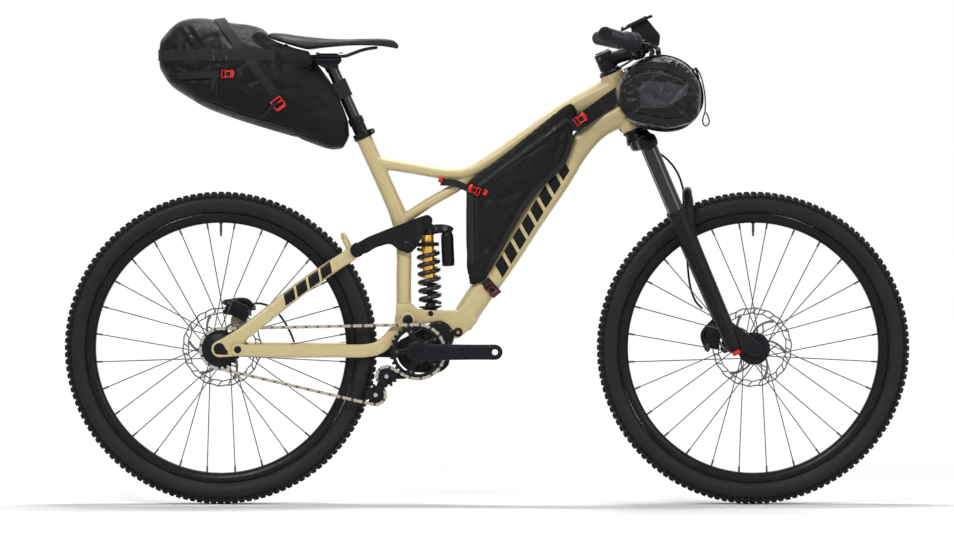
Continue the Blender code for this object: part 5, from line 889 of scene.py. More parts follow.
def weldedPiece(name, shapes, material, body, voxel, smoothing, node, factor=0.5, cuts=None):
    # overlapping closed shapes become one skin whose inner corners are filled like dressed welds
    piece = makePiece(name, shapes, material, body, (), ride=False)
    tool = makePiece(name + "Cut", cuts, material, body, ride=False) if cuts else None
    fused(piece, voxel, smoothing, factor, tool)
    oneLook(piece, material)
    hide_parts(node)
    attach(piece, body)


def placed(rows, side=1):
    # rows of (x, h, y, sizes ...) as points and sizes, on one side of the bike
    rows = np.asarray(rows, float)
    return np.hstack([rows[:, :1], side * rows[:, 2:3], bike["axleHeight"] + rows[:, 1:2], rows[:, 3:]])


def planRows(rows, count):
    # stations of (x, h, half width, half height) in the middle plane, smoothed into sweep rows
    return smoothRows(placed(np.insert(rows, 2, 0, axis=1)), count)


def bothSides(rows):
    # rows of (x, h, y, ...) from one side to the middle, then back out on the other side
    return list(rows) + [(x, h, -y, *rest) for x, h, y, *rest in reversed(rows[:-1])]


def frameSkin():
    m = mainFrame
    along = steer(1) - steer(0)
    cradle = rounded(m["cradle"], 0.006, 5)
    shapes = [
        sweep(planRows(m["topTube"], 90), sides=m["sides"], power=2.7),
        sweep(planRows(m["downTube"], 90), sides=m["sides"], power=3.0),
        sweep(planRows(m["seatTube"], 80), sides=m["sides"], power=2.2),
        sweep(planRows(m["strut"], 40), sides=24, power=2.5),
        turnedAbout(m["headTube"], steer(0), along, 48),
        pin(-0.177, 0.064, -0.032, 0.032, 0.0155, 36, 0.001),
        pin(-0.177, 0.229, -0.024, 0.024, 0.0152, 36, 0.001),
    ]
    for low, high in ((-0.0315, -0.0152), (0.0152, 0.0315)):
        shapes.append(plateShape(cradle, low, high, 0.0015))
    for block in (m["rearBlock"], m["frontBlock"]):
        shapes.append(plateShape(rounded(block, 0.004, 4), -0.0315, 0.0315, 0.0015))
    return shapes


weldedPiece("frameSkin", frameSkin(), sandPaint, "frame", voxel=mainFrame["voxel"],
            smoothing=mainFrame["smoothing"], node="main_frame")

shockBolt = [pin(-0.126, 0.078, -0.0345, -0.0312, 0.0058, 20, 0.0008),
             pin(-0.126, 0.078, 0.0312, 0.0345, 0.0058, 20, 0.0008), pin(-0.126, 0.078, -0.033, 0.033, 0.004, 16)]
makePiece("shockFootBolt", shockBolt, blackAlloy, "frame", ())


def headsetCup(start, direction):
    profile = mm((0, 15.5), (0, 26.2), (0.8, 26.8), (4.6, 26.8), (5.5, 25.8), (6, 24), (9.6, 22.6), (10, 22),
                 (10, 15.5))
    return turnedAbout(profile, start, direction, 56, hollow=True)


along = steer(1) - steer(0)
makePiece("headsetTop", headsetCup(steer(-0.0003), -along), blackAlloy, "frame", ["headset_upper"])
lowCup = turnedAbout(mm((0, 15.5), (0, 28.2), (0.8, 28.8), (4.6, 28.8), (6, 26.2), (9.6, 24.8), (10, 24),
                        (10, 15.5)), steer(0.1353), along, 56, hollow=True)
makePiece("headsetFoot", lowCup, blackAlloy, "frame", ["headset_lower"])


def pivotBolt(name, x, h, half, node):
    # axle with a domed, hex-socketed cap at each end
    profile = (fromPlace(-half,
                         mm((0, 0), (0, 3.5), (2.2, 3.6), (2.2, 4), (0, 4.2), (0, 8.8), (1.2, 11), (3.6, 11.4),
                            (4, 11), (4, 6))) + fromPlace(half,
                                                          mm((-4, 6), (-4, 11), (-3.6, 11.4), (-1.2, 11), (0, 8.8),
                                                             (0, 4.2), (-2.2, 4), (-2.2, 3.6), (0, 3.5), (0, 0))))
    profile = [(a, max(r, 0.00002)) for a, r in profile]
    makePiece(name, turnedAbout(profile, at(x, h), (0, 1, 0), 36), blackAlloy, "frame", [node])


pivotBolt("mainPivotBolt", -0.177, 0.064, 0.0492, "main_pivot_axle")
pivotBolt("rockerPivotBolt", -0.177, 0.229, 0.0372, "rocker_axle")


def seatCollar():
    axis = post(1) - post(0)
    ring = turnedAbout(mm((-8.8, 18.2), (-8.8, 20.8), (-8, 21.4), (5.2, 21.4), (6, 20.6), (6, 16), (0.4, 16),
                          (0.4, 18.2)), post(0), axis, 56, hollow=True)
    ear = [post(-0.0075, 0.019), post(0.005, 0.019), post(0.005, 0.0262), post(0.002, 0.0295), post(-0.004, 0.0295),
           post(-0.0075, 0.0262)]
    shapes = [ring]
    for low, high in ((-0.011, -0.0012), (0.0012, 0.011)):
        rings = [np.array(ear) + np.array((0, y, 0)) for y in (low, high)]
        shapes.append(gridShape(np.stack(rings)))
    shapes += [marked(rodShape(post(-0.001, 0.0245, -0.012), post(-0.001, 0.0245, 0.012), 0.0034, 16, 0.0005), 1),
               marked(rodShape(post(-0.001, 0.0245, -0.0122), post(-0.001, 0.0245, -0.01), 0.0048, 16, 0.0006), 1)]
    return shapes


makePiece("seatCollar", seatCollar(), [blackAlloy, darkSteel], "frame", ["seat_clamp"])
tubeProfile = mm((-140, 14.1), (-140, 15.5), (26, 15.5), (27.2, 16.8), (28, 17.5), (33, 17.5), (33.6, 16.9),
                 (34.6, 16.9), (35.2, 17.5), (39.8, 17.5), (41.2, 16.2), (43, 15.5), (43, 14.1))
makePiece("postSleeve", turnedAbout(tubeProfile, post(0), post(1) - post(0), 56, hollow=True), blackAlloy, "frame",
          ["post_tube"])
print("frame built")


# Rear suspension and coil shock

rear = {
    "inner": 0.0323,
    "arm": 0.0125,
    "dropout": 0.0743,
    "tip": 0.0891,
    "coilTurns": 6.5,
    "coilRadius": 0.0215,
    "coilWire": 0.0105,
}


def chainstayShapes():
    middle = rear["inner"] + rear["arm"] / 2
    shapes = []
    for side in (-1, 1):
        rows = [(-0.5555, -0.001, rear["tip"], 0.00475, 0.014), (-0.532, -0.003, rear["tip"], 0.0048, 0.0138),
                (-0.44, -0.005, 0.068, 0.0075, 0.015), (-0.345, -0.005, 0.05, 0.0075, 0.015),
                (-0.27, -0.005, 0.0415, 0.0063, 0.015), (-0.232, 0.008, middle, 0.00625, 0.0148),
                (-0.203, 0.04, middle, 0.00625, 0.0136), (-0.177, 0.064, middle, 0.00625, 0.0135)]
        shapes += [sweep(smoothRows(placed(rows, side), 90), sides=28, power=3.2),
                   pin(-0.177, 0.064, side * rear["inner"], side * (rear["inner"] + rear["arm"]), 0.0177, 40,
                       0.001), pin(-0.5555, -0.001, side * 0.0847, side * 0.094, 0.015, 40, 0.001)]
    yoke = [(-0.2345, 0.006, y, 0.008, 0.015) for y in (-0.037, -0.012, 0.012, 0.037)]
    shapes.append(sweep(smoothRows(placed(yoke), 24), (1, 0, 0), 24, 2.6))
    return shapes


weldedPiece("chainstaySkin", chainstayShapes(), sandPaint, "chainstay", voxel=0.0018, smoothing=6, node="chainstay")
horstCaps = []
for side in (-1, 1):
    horstCaps += [pin(-0.5555, -0.001, side * 0.0935, side * 0.0957, 0.0082, 28, 0.0007),
                  pin(-0.5555, -0.001, side * 0.0755, side * 0.094, 0.005, 20)]
makePiece("dropoutPivotCaps", horstCaps, blackAlloy, "chainstay", ())


def seatstayShapes():
    shapes = []
    middle = rear["dropout"] + 0.005
    eye = 0.0343 + 0.0057
    for side in (-1, 1):
        rows = [(-0.578, 0.01, middle, 0.0048, 0.015), (-0.548, 0.031, middle, 0.0048, 0.0155),
                (-0.5, 0.068, 0.0725, 0.007, 0.0155), (-0.43, 0.124, 0.061, 0.008, 0.0158),
                (-0.355, 0.177, 0.048, 0.008, 0.0155), (-0.313, 0.204, eye, 0.0058, 0.015),
                (-0.292, 0.2185, eye, 0.0057, 0.0145)]
        shapes.append(sweep(smoothRows(placed(rows, side), 90), sides=28, power=3.0))
        turn = np.radians(np.linspace(100, 262, 14))
        outline = [(-0.596 + 0.0188 * math.cos(t), 0.0188 * math.sin(t)) for t in turn]
        turn = np.radians(np.linspace(285, 400, 10))
        outline += [(-0.5555 + 0.0152 * math.cos(t), -0.001 + 0.0152 * math.sin(t)) for t in turn]
        outline += [(-0.53, 0.034), (-0.556, 0.044)]
        shapes += [sidePlate(rounded(outline, 0.004, 3), side, rear["dropout"], rear["dropout"] + 0.01, 0.0008),
                   pin(-0.29, 0.22, side * 0.0343, side * 0.0457, 0.0147, 36, 0.001)]
    arch = [(-0.306, 0.218, eye, 0.0066, 0.0052), (-0.318, 0.243, eye - 0.006, 0.0066, 0.0052),
            (-0.322, 0.252, 0.018, 0.0066, 0.0052), (-0.322, 0.253, 0.0, 0.0066, 0.0052)]
    shapes.append(sweep(smoothRows(placed(bothSides(arch)), 60), (0.43, 0, 0.9), 20, 2.4))
    outline = rounded(mm((-575, 30), (-545, 50), (-532, 78), (-536, 100), (-560, 106), (-578, 60)), 0.006, 4)
    shapes.append(plateShape(outline, 0.0708, 0.0803, 0.0008))
    return shapes


weldedPiece("seatstaySkin", seatstayShapes(), sandPaint, "seatstay", voxel=0.0018, smoothing=5, node="seatstay")
axleHead = [turnedAbout(mm((-88.2, 0.02), (-88.2, 3.2), (-86.2, 3.4), (-86.2, 4), (-88.2, 4.2), (-88.2, 9.4),
                           (-86.8, 11), (-84.8, 11), (-84.6, 6), (84.6, 6), (84.6, 5.2), (85.2, 0.02)),
                        at(-0.596, 0), (0, 1, 0), 36)]
makePiece("rearThroughAxle", axleHead, blackAlloy, "seatstay", ["rear_axle"])
turn = np.radians(np.linspace(62, 238, 18))
shield = (np.vstack([0.0136 * np.stack([np.cos(turn), np.sin(turn)], 1),
                     [(0.0125, -0.0128), (0.0186, -0.0112), (0.0176, -0.0052)]]) + (bike["rearX"], 0.0))
makePiece("rearAxleShield", plateShape(shield, -0.086, -0.0845, 0.0006), castBlack, "seatstay", ())


def innerFace(x):
    return np.interp(x, (-0.268, -0.197, -0.159, -0.145), (0.046, 0.0243, 0.0243, 0.0175))


def runningMean(values, count):
    return np.convolve(np.pad(values, count // 2, mode="edge"), np.ones(count) / count, "valid")


def rockerShapes():
    # two forged plates that flare from the shock to the stays, joined by pins
    edge = np.array(mm((-294, 210, 232.5), (-267.8, 212.5, 247.8), (-251, 225, 254.5), (-216, 235, 268.5),
                       (-194, 216, 277), (-159, 219, 290), (-143, 256, 296), (-128, 273, 296.5)))
    x = np.linspace(-0.302, -0.1235, 70)
    low, high = (runningMean(np.interp(x, edge[:, 0], edge[:, k]), 7) for k in (1, 2))
    pinch = np.sqrt(np.clip(1 - ((x - np.clip(x, -0.29, -0.135)) / 0.0122) ** 2, 0.02, 1))
    middle = (low + high) / 2
    half = (high - low) / 2 * pinch
    shapes = []
    for side in (-1, 1):
        near = side * innerFace(x)
        far = side * (innerFace(x) + 0.008)
        c = 0.001
        rows = [(near, c), (near + side * c, 0), (far - side * c, 0), (far, c)]
        section = []
        for y, shrink in rows:
            section.append(np.stack([x, y, bike["axleHeight"] + middle - half + shrink], 1))
        for y, shrink in reversed(rows):
            section.append(np.stack([x, y, bike["axleHeight"] + middle + half - shrink], 1))
        shapes.append(gridShape(np.stack(section, 1)))
        for px, ph, radius in ((-0.29, 0.22, 0.0157), (-0.177, 0.229, 0.0162), (-0.135, 0.285, 0.0127)):
            f = float(innerFace(px))
            shapes.append(pin(px, ph, side * (f + 0.0003), side * (f + 0.009), radius, 40, 0.0012))
        shapes += [pin(-0.29, 0.22, side * 0.0347, side * 0.05, 0.005, 20),
                   marked(pin(-0.29, 0.22, side * 0.0545, side * 0.0562, 0.008, 28, 0.0006), 1),
                   marked(pin(-0.135, 0.285, side * 0.0262, side * 0.0278, 0.0066, 24, 0.0005), 1)]
    shapes += [pin(-0.135, 0.285, -0.024, 0.024, 0.004, 20), pin(-0.263, 0.2345, -0.047, 0.047, 0.006, 24)]
    return shapes


makePiece("rockerForging", rockerShapes(), [blackPaint, blackAlloy], "rocker", ["rocker"])

shockLow = at(-0.126, 0.078)
shockHigh = at(-0.135, 0.285)
shockAlong = unit(shockHigh - shockLow)
shockAhead = np.array((shockAlong[2], 0, -shockAlong[0]))
shockLength = float(np.linalg.norm(shockHigh - shockLow))


def shockAt(up, ahead=0.0, y=0.0):
    return shockLow + shockAlong * up + shockAhead * ahead + np.array((0, y, 0))


def shockShaft():
    seat = 0.0215 - 0.00525 - 0.0003
    turned = turnedAbout([(-0.01, 0.006), (-0.006, 0.01), (0.0, 0.0108), (0.005, 0.0118), (seat - 0.008, 0.013),
                          (seat - 0.004, 0.0225), (seat - 0.0025, 0.0258), (seat - 0.0005, 0.026), (seat, 0.0255),
                          (seat, 0.0125), (seat + 0.006, 0.0108), (seat + 0.0065, 0.0062), (seat + 0.012, 0.006),
                          (0.12, 0.006)], shockLow, shockAlong, 48)
    eye = rodShape(shockAt(0, y=-0.0131), shockAt(0, y=0.0131), 0.0107, 36, 0.0008)
    bumper = turnedAbout(fromPlace(seat,
                                   mm((6.6, 6.6), (7.2, 9.6), (9.2, 10.4), (10, 9.4), (11.2, 9.8), (12.2, 8.4),
                                      (12.6, 6.2))), shockLow, shockAlong, 36)
    return [turned, eye, marked(bumper, 1)]


makePiece("shockShaftRod", shockShaft(), [blackAlloy, gripRubber], "shock_shaft", ["shock_shaft"])


def coilShape():
    # spring wire: a helix of 32 points a turn, the wire thinned towards both ends
    r = rear
    t = np.linspace(0, 1, int(r["coilTurns"] * 32) + 1)
    turn = 2 * math.pi * r["coilTurns"] * t
    ease = np.clip(t / 0.09, 0, 1) * np.clip((1 - t) / 0.09, 0, 1)
    up = 0.0215 + (0.144 - 0.0215) * t
    path = (shockLow + shockAlong * up[:, None]
            + (shockAhead * np.cos(turn)[:, None] + sideways * np.sin(turn)[:, None]) * r["coilRadius"])
    size = r["coilWire"] / 2 * (0.72 + 0.28 * np.sqrt(ease))
    return sweep(np.hstack([path, size[:, None], size[:, None]]), shockAlong, 16)


coil = makePiece("coilSpringWire", coilShape(), springSteel, "shock_shaft", ["coil_spring"])
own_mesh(coil)


def shockBody():
    low = 0.144 + 0.00525 + 0.0003
    top = shockLength
    # the barrel is bored, so that the shaft runs up inside it
    barrel = [(0.1745, 0.0066), (0.078, 0.0066), (0.078, 0.0128), (0.0788, 0.0145), (low - 0.0004, 0.0145)]
    for k in range(14):
        a = low + 0.012 + k * 0.0018
        barrel += [(a, 0.0146), (a + 0.0006, 0.015), (a + 0.0012, 0.0146)]
    shapes = [turnedAbout(barrel + [(top - 0.0315, 0.0145), (top - 0.0312, 0.012)], shockLow, shockAlong, 56)]
    collar = fromPlace(low,
                       mm((0, 15), (0, 24.5), (0.8, 25.5), (3, 25.5), (3.4, 24.8), (5, 24.8), (5.4, 25.5),
                          (7.5, 25.5), (8.2, 24.6), (9.5, 15)))
    shapes.append(marked(turnedAbout(collar, shockLow, shockAlong, 40, hollow=True), 1))
    head = fromPlace(top, mm((-32, 15), (-31, 16.6), (-13, 16.6), (-7, 12.4), (-6.5, 6)))
    shapes += [marked(turnedAbout(head, shockLow, shockAlong, 48), 1),
               marked(rodShape(shockAt(top, y=-0.0126), shockAt(top, y=0.0126), 0.0124, 36, 0.0008), 1)]
    bridge = [(*shockAt(top - 0.0215, 0.002), 0.012, 0.0112), (*shockAt(top - 0.0195, 0.022), 0.0118, 0.0106),
              (*shockAt(top - 0.0195, 0.036), 0.0115, 0.01), (*shockAt(top - 0.022, 0.048), 0.011, 0.0092),
              (*shockAt(top - 0.0265, 0.056), 0.01, 0.008)]
    shapes.append(marked(sweep(smoothRows(bridge, 24), (0, 1, 0), 28, 3.0), 1))
    tank = fromPlace(top,
                     mm((-104, 10), (-103.5, 11.8), (-101.5, 14), (-98.5, 14.2), (-98, 13.6), (-96.5, 13.6),
                        (-96, 14.2), (-40, 14.2), (-36, 13.8), (-32, 12.5), (-22, 10.2)))
    shapes.append(marked(turnedAbout(tank, shockAt(0, 0.044), shockAlong, 48), 2))
    knobs = [rodShape(shockAt(top - 0.019, 0.04, -0.0185), shockAt(top - 0.019, 0.04, -0.011), 0.0068, 28, 0.0008),
             rodShape(shockAt(top - 0.019, 0.02, -0.015), shockAt(top - 0.019, 0.02, -0.011), 0.0036, 20, 0.0005)]
    shapes += [marked(k, 3) for k in knobs]
    return shapes


makePiece("shockDamper", shockBody(), [goldAlloy, blackAlloy, blackPaint, darkSteel], "shock_body", ["shock_body"])
print("rear suspension and shock built")


# Gearbox, cranks, sprockets, tensioner and the chain with its separate links

drive = {
    "crank": (-0.155, -0.007),
    "crankLength": 0.1725,
    "face": 0.091,
    "thick": 0.014,
    "line": 0.0545,
    "pitch": 0.0127,
    "ringTeeth": 30,
    "cogTeeth": 22,
    "pulleyTeeth": 11,
    "upper": (-0.2245, -0.062),
    "cageLength": 0.048,
    "cageSwing": math.radians(-30.48),
    "inner": 0.0013,
    "plate": 0.0011,
    "plateHalf": 0.004,
    "roller": 0.0037,
    "lobe": (-0.109, 0.027),
}


def beltRadius(teeth):
    return drive["pitch"] * teeth / (2 * math.pi)


upperPulley = np.array(drive["upper"])
lowerPulley = upperPulley + drive["cageLength"] * ray(drive["cageSwing"] - math.pi / 2)
rearCentre = np.array((bike["rearX"], 0.0))


def chainRoute():
    # the closed run: arcs and straights as evenly spaced points, each marked with the number of its stretch
    d = drive
    pulley = beltRadius(d["pulleyTeeth"])
    circles = [(np.array(d["crank"]), beltRadius(d["ringTeeth"]), 1), (upperPulley, pulley, -1),
               (lowerPulley, pulley, 1), (rearCentre, beltRadius(d["cogTeeth"]), 1)]
    runs = []
    for i, (c0, r0, s0) in enumerate(circles):
        c1, r1, s1 = circles[(i + 1) % 4]
        gap = c1 - c0
        heading = math.atan2(gap[1], gap[0]) - math.asin((s0 * r0 - s1 * r1) / np.hypot(*gap))
        normal = ray(heading + math.pi / 2)
        runs.append((c0 + s0 * r0 * normal, c1 + s1 * r1 * normal))
    points, marks = [], []
    for i, (centre, radius, sense) in enumerate(circles):
        before = runs[i - 1]
        start = math.atan2(*(before[1] - centre)[::-1])
        end = math.atan2(*(runs[i][0] - centre)[::-1])
        turn = (start - end) * sense % (2 * math.pi)
        t = np.linspace(0, turn, 400, endpoint=False)
        a = start - sense * t
        points.append(centre + radius * np.stack([np.cos(a), np.sin(a)], 1))
        marks += [2 * i] * 400
        t = np.linspace(0, 1, 1200, endpoint=False)[:, None]
        points.append(runs[i][0] + (runs[i][1] - runs[i][0]) * t)
        marks += [2 * i + 1] * 1200
    points = np.vstack(points)
    ring = np.vstack([points, points[:1]])
    return ring, runOf(ring), np.append(marks, marks[-1])


ringLine, ringRun, ringMarks = chainRoute()
linkCount = 2 * round(ringRun[-1] / drive["pitch"] / 2)
linkPitch = ringRun[-1] / linkCount


def chainAt(distance):
    s = np.asarray(distance) % ringRun[-1]
    return np.stack([np.interp(s, ringRun, ringLine[:, k]) for k in (0, 1)], -1)


def linkShapes(k):
    # two figure-of-eight plates, a roller at one end and the rivet heads; outer and inner links alternate
    d = drive
    a, b = chainAt(k * linkPitch), chainAt((k + 1) * linkPitch)
    along = (b - a) / np.linalg.norm(b - a)
    up = np.array((-along[1], along[0]))
    h = d["plateHalf"]
    turn = np.radians((110, 145, 180, 215, 250))
    left = np.stack([np.cos(turn), np.sin(turn)], 1) * h
    right = -left
    waist = np.array([(0.0, -0.66 * h)])
    length = np.linalg.norm(b - a)
    outline = np.vstack([left, np.array([(length / 2, 0)]) + waist, right + np.array((length, 0)),
                         np.array([(length / 2, 0)]) - waist])
    flat = a + outline[:, :1] * along + outline[:, 1:] * up
    wide = d["plate"] + 0.0001 if k % 2 else 0.0
    shapes = []
    for side in (-1, 1):
        rings = [layer(flat, y)
                 for y in sorted(-d["line"] + side * (d["inner"] + wide + k) for k in (0, d["plate"]))]
        shapes.append(marked(gridShape(np.stack(rings)), 0 if k % 2 else 1))
    shapes.append(marked(pin(a[0], a[1], -d["line"] - d["inner"] + 0.0001, -d["line"] + d["inner"] - 0.0001,
                             d["roller"], 8), 1))
    reach = d["inner"] + 2 * d["plate"] + 0.0004
    shapes.append(marked(pin(a[0], a[1], -d["line"] - reach, -d["line"] + reach, 0.0017, 8), 0))
    return shapes


def stretchOf(k):
    # which piece of the chain a link belongs to, from the middle of the link
    s = ((k + 0.5) * linkPitch) % ringRun[-1]
    mark = int(ringMarks[min(np.searchsorted(ringRun, s), len(ringMarks) - 1) - 1])
    x = float(chainAt(s)[0])
    if mark in (2, 3, 4):
        return "chainCage"
    if mark == 5 and x > -0.3:
        return "chainSlack"
    if mark == 5 and x > -0.5:
        return "chainLower"
    if mark == 7 and -0.5 < x < -0.17:
        return "chainUpper"
    if x < -0.495:
        return "chainRear"
    return "chainFront"


def buildChain():
    groups = {}
    for k in range(linkCount):
        groups.setdefault(stretchOf(k), []).extend(linkShapes(k))
    look = [chainSteel, darkSteel]
    pieces = {name: makePiece(name, shapes, look, "frame", (), angle=30, ride=False) for name,
              shapes in groups.items()}
    line = -drive["line"]
    blends = {
        "chainUpper": ("frame", "chainstay", at(-0.17, 0.056, line), at(-0.26, 0.054, line)),
        "chainLower": ("frame", "chainstay", at(-0.3, -0.12, line), at(-0.5, -0.07, line)),
        "chainRear": ("chainstay", "seatstay", at(-0.5, 0.0, line), at(-0.5555, 0.0, line)),
        "chainSlack": ("tensioner", "frame", at(-0.262, -0.128, line), at(-0.3, -0.12, line)),
        "chainCage": ("frame", "tensioner", at(-0.22, -0.044, line), at(-0.244, -0.072, line)),
    }
    for name, piece in pieces.items():
        if name in blends:
            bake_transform(piece)
        else:
            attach(piece, "frame")
    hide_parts("chain")
    print("chain: %d links in %d stretches" % (linkCount, len(pieces)))


buildChain()


def phaseFor(centre):
    # angle of the chain pin that sits on this sprocket nearest its middle, so the teeth fall between the rollers
    pins = chainAt(np.arange(linkCount) * linkPitch)
    off = pins - centre
    away = np.hypot(off[:, 0], off[:, 1])
    pick = np.argmin(np.abs(away - np.sort(away)[2]))
    return math.atan2(off[pick, 1], off[pick, 0])


def toothedPlate(centre, teeth, low, high, inner):
    # ring plate whose outer edge follows the roller seats: 12 points a tooth, bevelled on both sides
    pitch = beltRadius(teeth)
    step = np.linspace(0, 1, 12, endpoint=False)
    rise = np.array((-0.0037, -0.0034, -0.0022, -0.0002, 0.0016, 0.0027, 0.003, 0.0027, 0.0016, -0.0002, -0.0022,
                     -0.0034))
    a = phaseFor(centre) + 2 * math.pi * (np.arange(teeth)[:, None] + step).ravel() / teeth
    r = pitch + np.tile(rise, teeth)
    rings = [(y, np.where(r > pitch, r - cut, r)) for y, cut in
             ((low, 0.0008), (low + 0.0004, 0.0), (high - 0.0004, 0.0), (high, 0.0008))]
    rings += [(high, inner), (low, inner)]
    grid = [layer(centre + np.stack([reach * np.cos(a), reach * np.sin(a)], 1), y) for y, reach in rings]
    return gridShape(np.stack(grid), loop=True, caps=False)


def chainringShapes():
    line = -drive["line"]
    centre = np.array(drive["crank"])
    shapes = [toothedPlate(centre, teeth=drive["ringTeeth"], low=line - 0.0011, high=line + 0.0011, inner=0.05)]
    hub = fromPlace(line, mm((-9.5, 13.2), (-9.5, 22.5), (-8.5, 23.8), (8, 23.8), (9, 22.5), (9, 13.2)))
    shapes.append(turnedAbout(hub, at(*centre), (0, 1, 0), 60, hollow=True))
    for k in range(5):
        a = 2 * math.pi * (k + 0.5) / 5
        start, end = (at(*(centre + reach * ray(a)), line) for reach in (0.02, 0.0515))
        rows = np.array([(*start, 0.0022, 0.009), (*(start * 0.5 + end * 0.5), 0.0018, 0.0062),
                         (*(start * 0.2 + end * 0.8), 0.0016, 0.008), (*end, 0.0014, 0.012)])
        shapes.append(sweep(smoothRows(rows, 14), sides=14, power=3.2))
        spot = centre + 0.047 * ray(a)
        shapes.append(marked(rodShape(at(*spot, line - 0.003), at(*spot, line + 0.002), 0.004, 20, 0.0005), 1))
    return shapes


makePiece("chainringPlate", chainringShapes(), [blackAlloy, darkSteel], "chainring", ["chainring"])


def cogShapes():
    line = -drive["line"]
    shapes = [toothedPlate(rearCentre, teeth=drive["cogTeeth"], low=line - 0.001, high=line + 0.001, inner=0.03)]
    hub = [(-0.0665, 0.0168), (-0.0665, 0.0195), (-0.0655, 0.0205), (line - 0.005, 0.0208), (line - 0.0016, 0.033),
           (line + 0.0016, 0.033), (line + 0.005, 0.0215), (-0.0415, 0.02), (-0.0415, 0.0168)]
    shapes.append(turnedAbout(hub, at(*rearCentre), (0, 1, 0), 56, hollow=True))
    return shapes


makePiece("rearCogPlate", cogShapes(), [blackAlloy], "rear_cog", ["rear_cog"])


def pulleyShapes(centre):
    line = -drive["line"]
    shapes = [toothedPlate(centre, teeth=drive["pulleyTeeth"], low=line - 0.0012, high=line + 0.0012, inner=0.0105)]
    rim = fromPlace(line,
                    mm((-1.8, 4), (-4, 4.2), (-4, 8), (-2, 8.6), (-1.4, 12.5), (1.4, 12.5), (2, 8.6), (4, 8),
                       (4, 4.2), (1.8, 4)))
    shapes.append(turnedAbout(rim, at(*centre), (0, 1, 0), 40, hollow=True))
    return shapes


makePiece("upperPulleyWheel", pulleyShapes(upperPulley), mattPlastic, "upper_pulley", ["upper_pulley"])
makePiece("lowerPulleyWheel", pulleyShapes(lowerPulley), mattPlastic, "lower_pulley", ["lower_pulley"])
for name, spot, y, body in (("upperPulleyBolt", upperPulley, -0.067, "frame"),
                            ("lowerPulleyBolt", lowerPulley, -0.066, "tensioner")):
    head = mm((-0.4, 4.8), (0.6, 4.8), (1.4, 4), (1.4, 2.2), (0.6, 2), (0.6, 0.03))
    makePiece(name, turnedAbout(head, at(*spot, y), (0, -1, 0), 32), boltSteel, body, ())


def crankShapes(side, direction):
    # forged arm: the section narrows from the axle to the pedal eye
    d = drive
    cx, ch = d["crank"]
    middle = side * (d["face"] - d["thick"] / 2)
    reach = direction * d["crankLength"]
    rows = [(cx - direction * 0.0165, ch, 0.0058, 0.015), (cx, ch, 0.0068, 0.0218),
            (cx + reach * 0.16, ch, 0.007, 0.0196), (cx + reach * 0.42, ch, 0.0068, 0.0177),
            (cx + reach * 0.72, ch, 0.0066, 0.017), (cx + reach * 0.92, ch, 0.0066, 0.017),
            (cx + reach, ch, 0.0066, 0.017), (cx + reach + direction * 0.0135, ch, 0.0052, 0.011)]
    p = np.array([(x, middle, bike["axleHeight"] + h, a, b) for x, h, a, b in rows])
    shapes = [sweep(smoothRows(p, 90), sides=36, power=3.4)]
    low, high = sorted((side * (d["face"] - d["thick"]), side * d["face"]))
    shapes += [pin(cx, ch, low, high, 0.0222, 56, 0.0014),
               pin(cx + reach, ch, low + 0.0004, high - 0.0004, 0.017, 48, 0.0014)]
    inner = side * (d["face"] - d["thick"])
    shapes.append(pin(cx, ch, inner, inner - side * 0.008, 0.019, 48, 0.0008))
    return shapes


def buildCrank(name, node, side, direction):
    cx, ch = drive["crank"]
    eye = cx + direction * drive["crankLength"]
    outer = side * drive["face"]
    cuts = [pin(eye, ch, -0.12, 0.12, 0.0066, 32),
            pin(cx, ch, outer - side * 0.004, outer + side * 0.01, 0.0118, 40)]
    weldedPiece(name, crankShapes(side, direction), blackAlloy, "crank", voxel=0.0013, smoothing=1, node=node,
                cuts=cuts)


buildCrank("crankArmRight", "crank_right", -1, 1)
buildCrank("crankArmLeft", "crank_left", 1, -1)
cx, ch = drive["crank"]
axleEnds = [pin(cx, ch, -0.0865, 0.0865, 0.012, 40, 0.0004)]
for side in (-1, 1):
    y = side * 0.0905
    cap = mm((-3.5, 11.7), (-1.2, 11.7), (-0.4, 10.8), (-0.4, 6.2), (-2.2, 5.6), (-2.6, 0.03))
    axleEnds.append(marked(turnedAbout([(y + side * a, r) for a, r in cap] + [(y - side * 0.006, 0.00003)],
                                       at(cx, ch), (0, 1, 0), 40), 1))
makePiece("crankSpindle", axleEnds, [boltSteel, blackAlloy], "crank", ["crank_axle"])


def casingOutline(extra):
    rows = []
    cx, ch = drive["crank"]
    for x, h, radius, start, end in ((cx, ch, 0.048, 150, 268), (cx + 0.034, ch - 0.008, 0.042, 268, 330),
                                     (*drive["lobe"], 0.0365, 332, 446)):
        t = np.radians(np.linspace(start, end, 14))
        rows.append(np.stack([x + (radius + extra) * np.cos(t), h + (radius + extra) * np.sin(t)], 1))
    return np.vstack(rows)


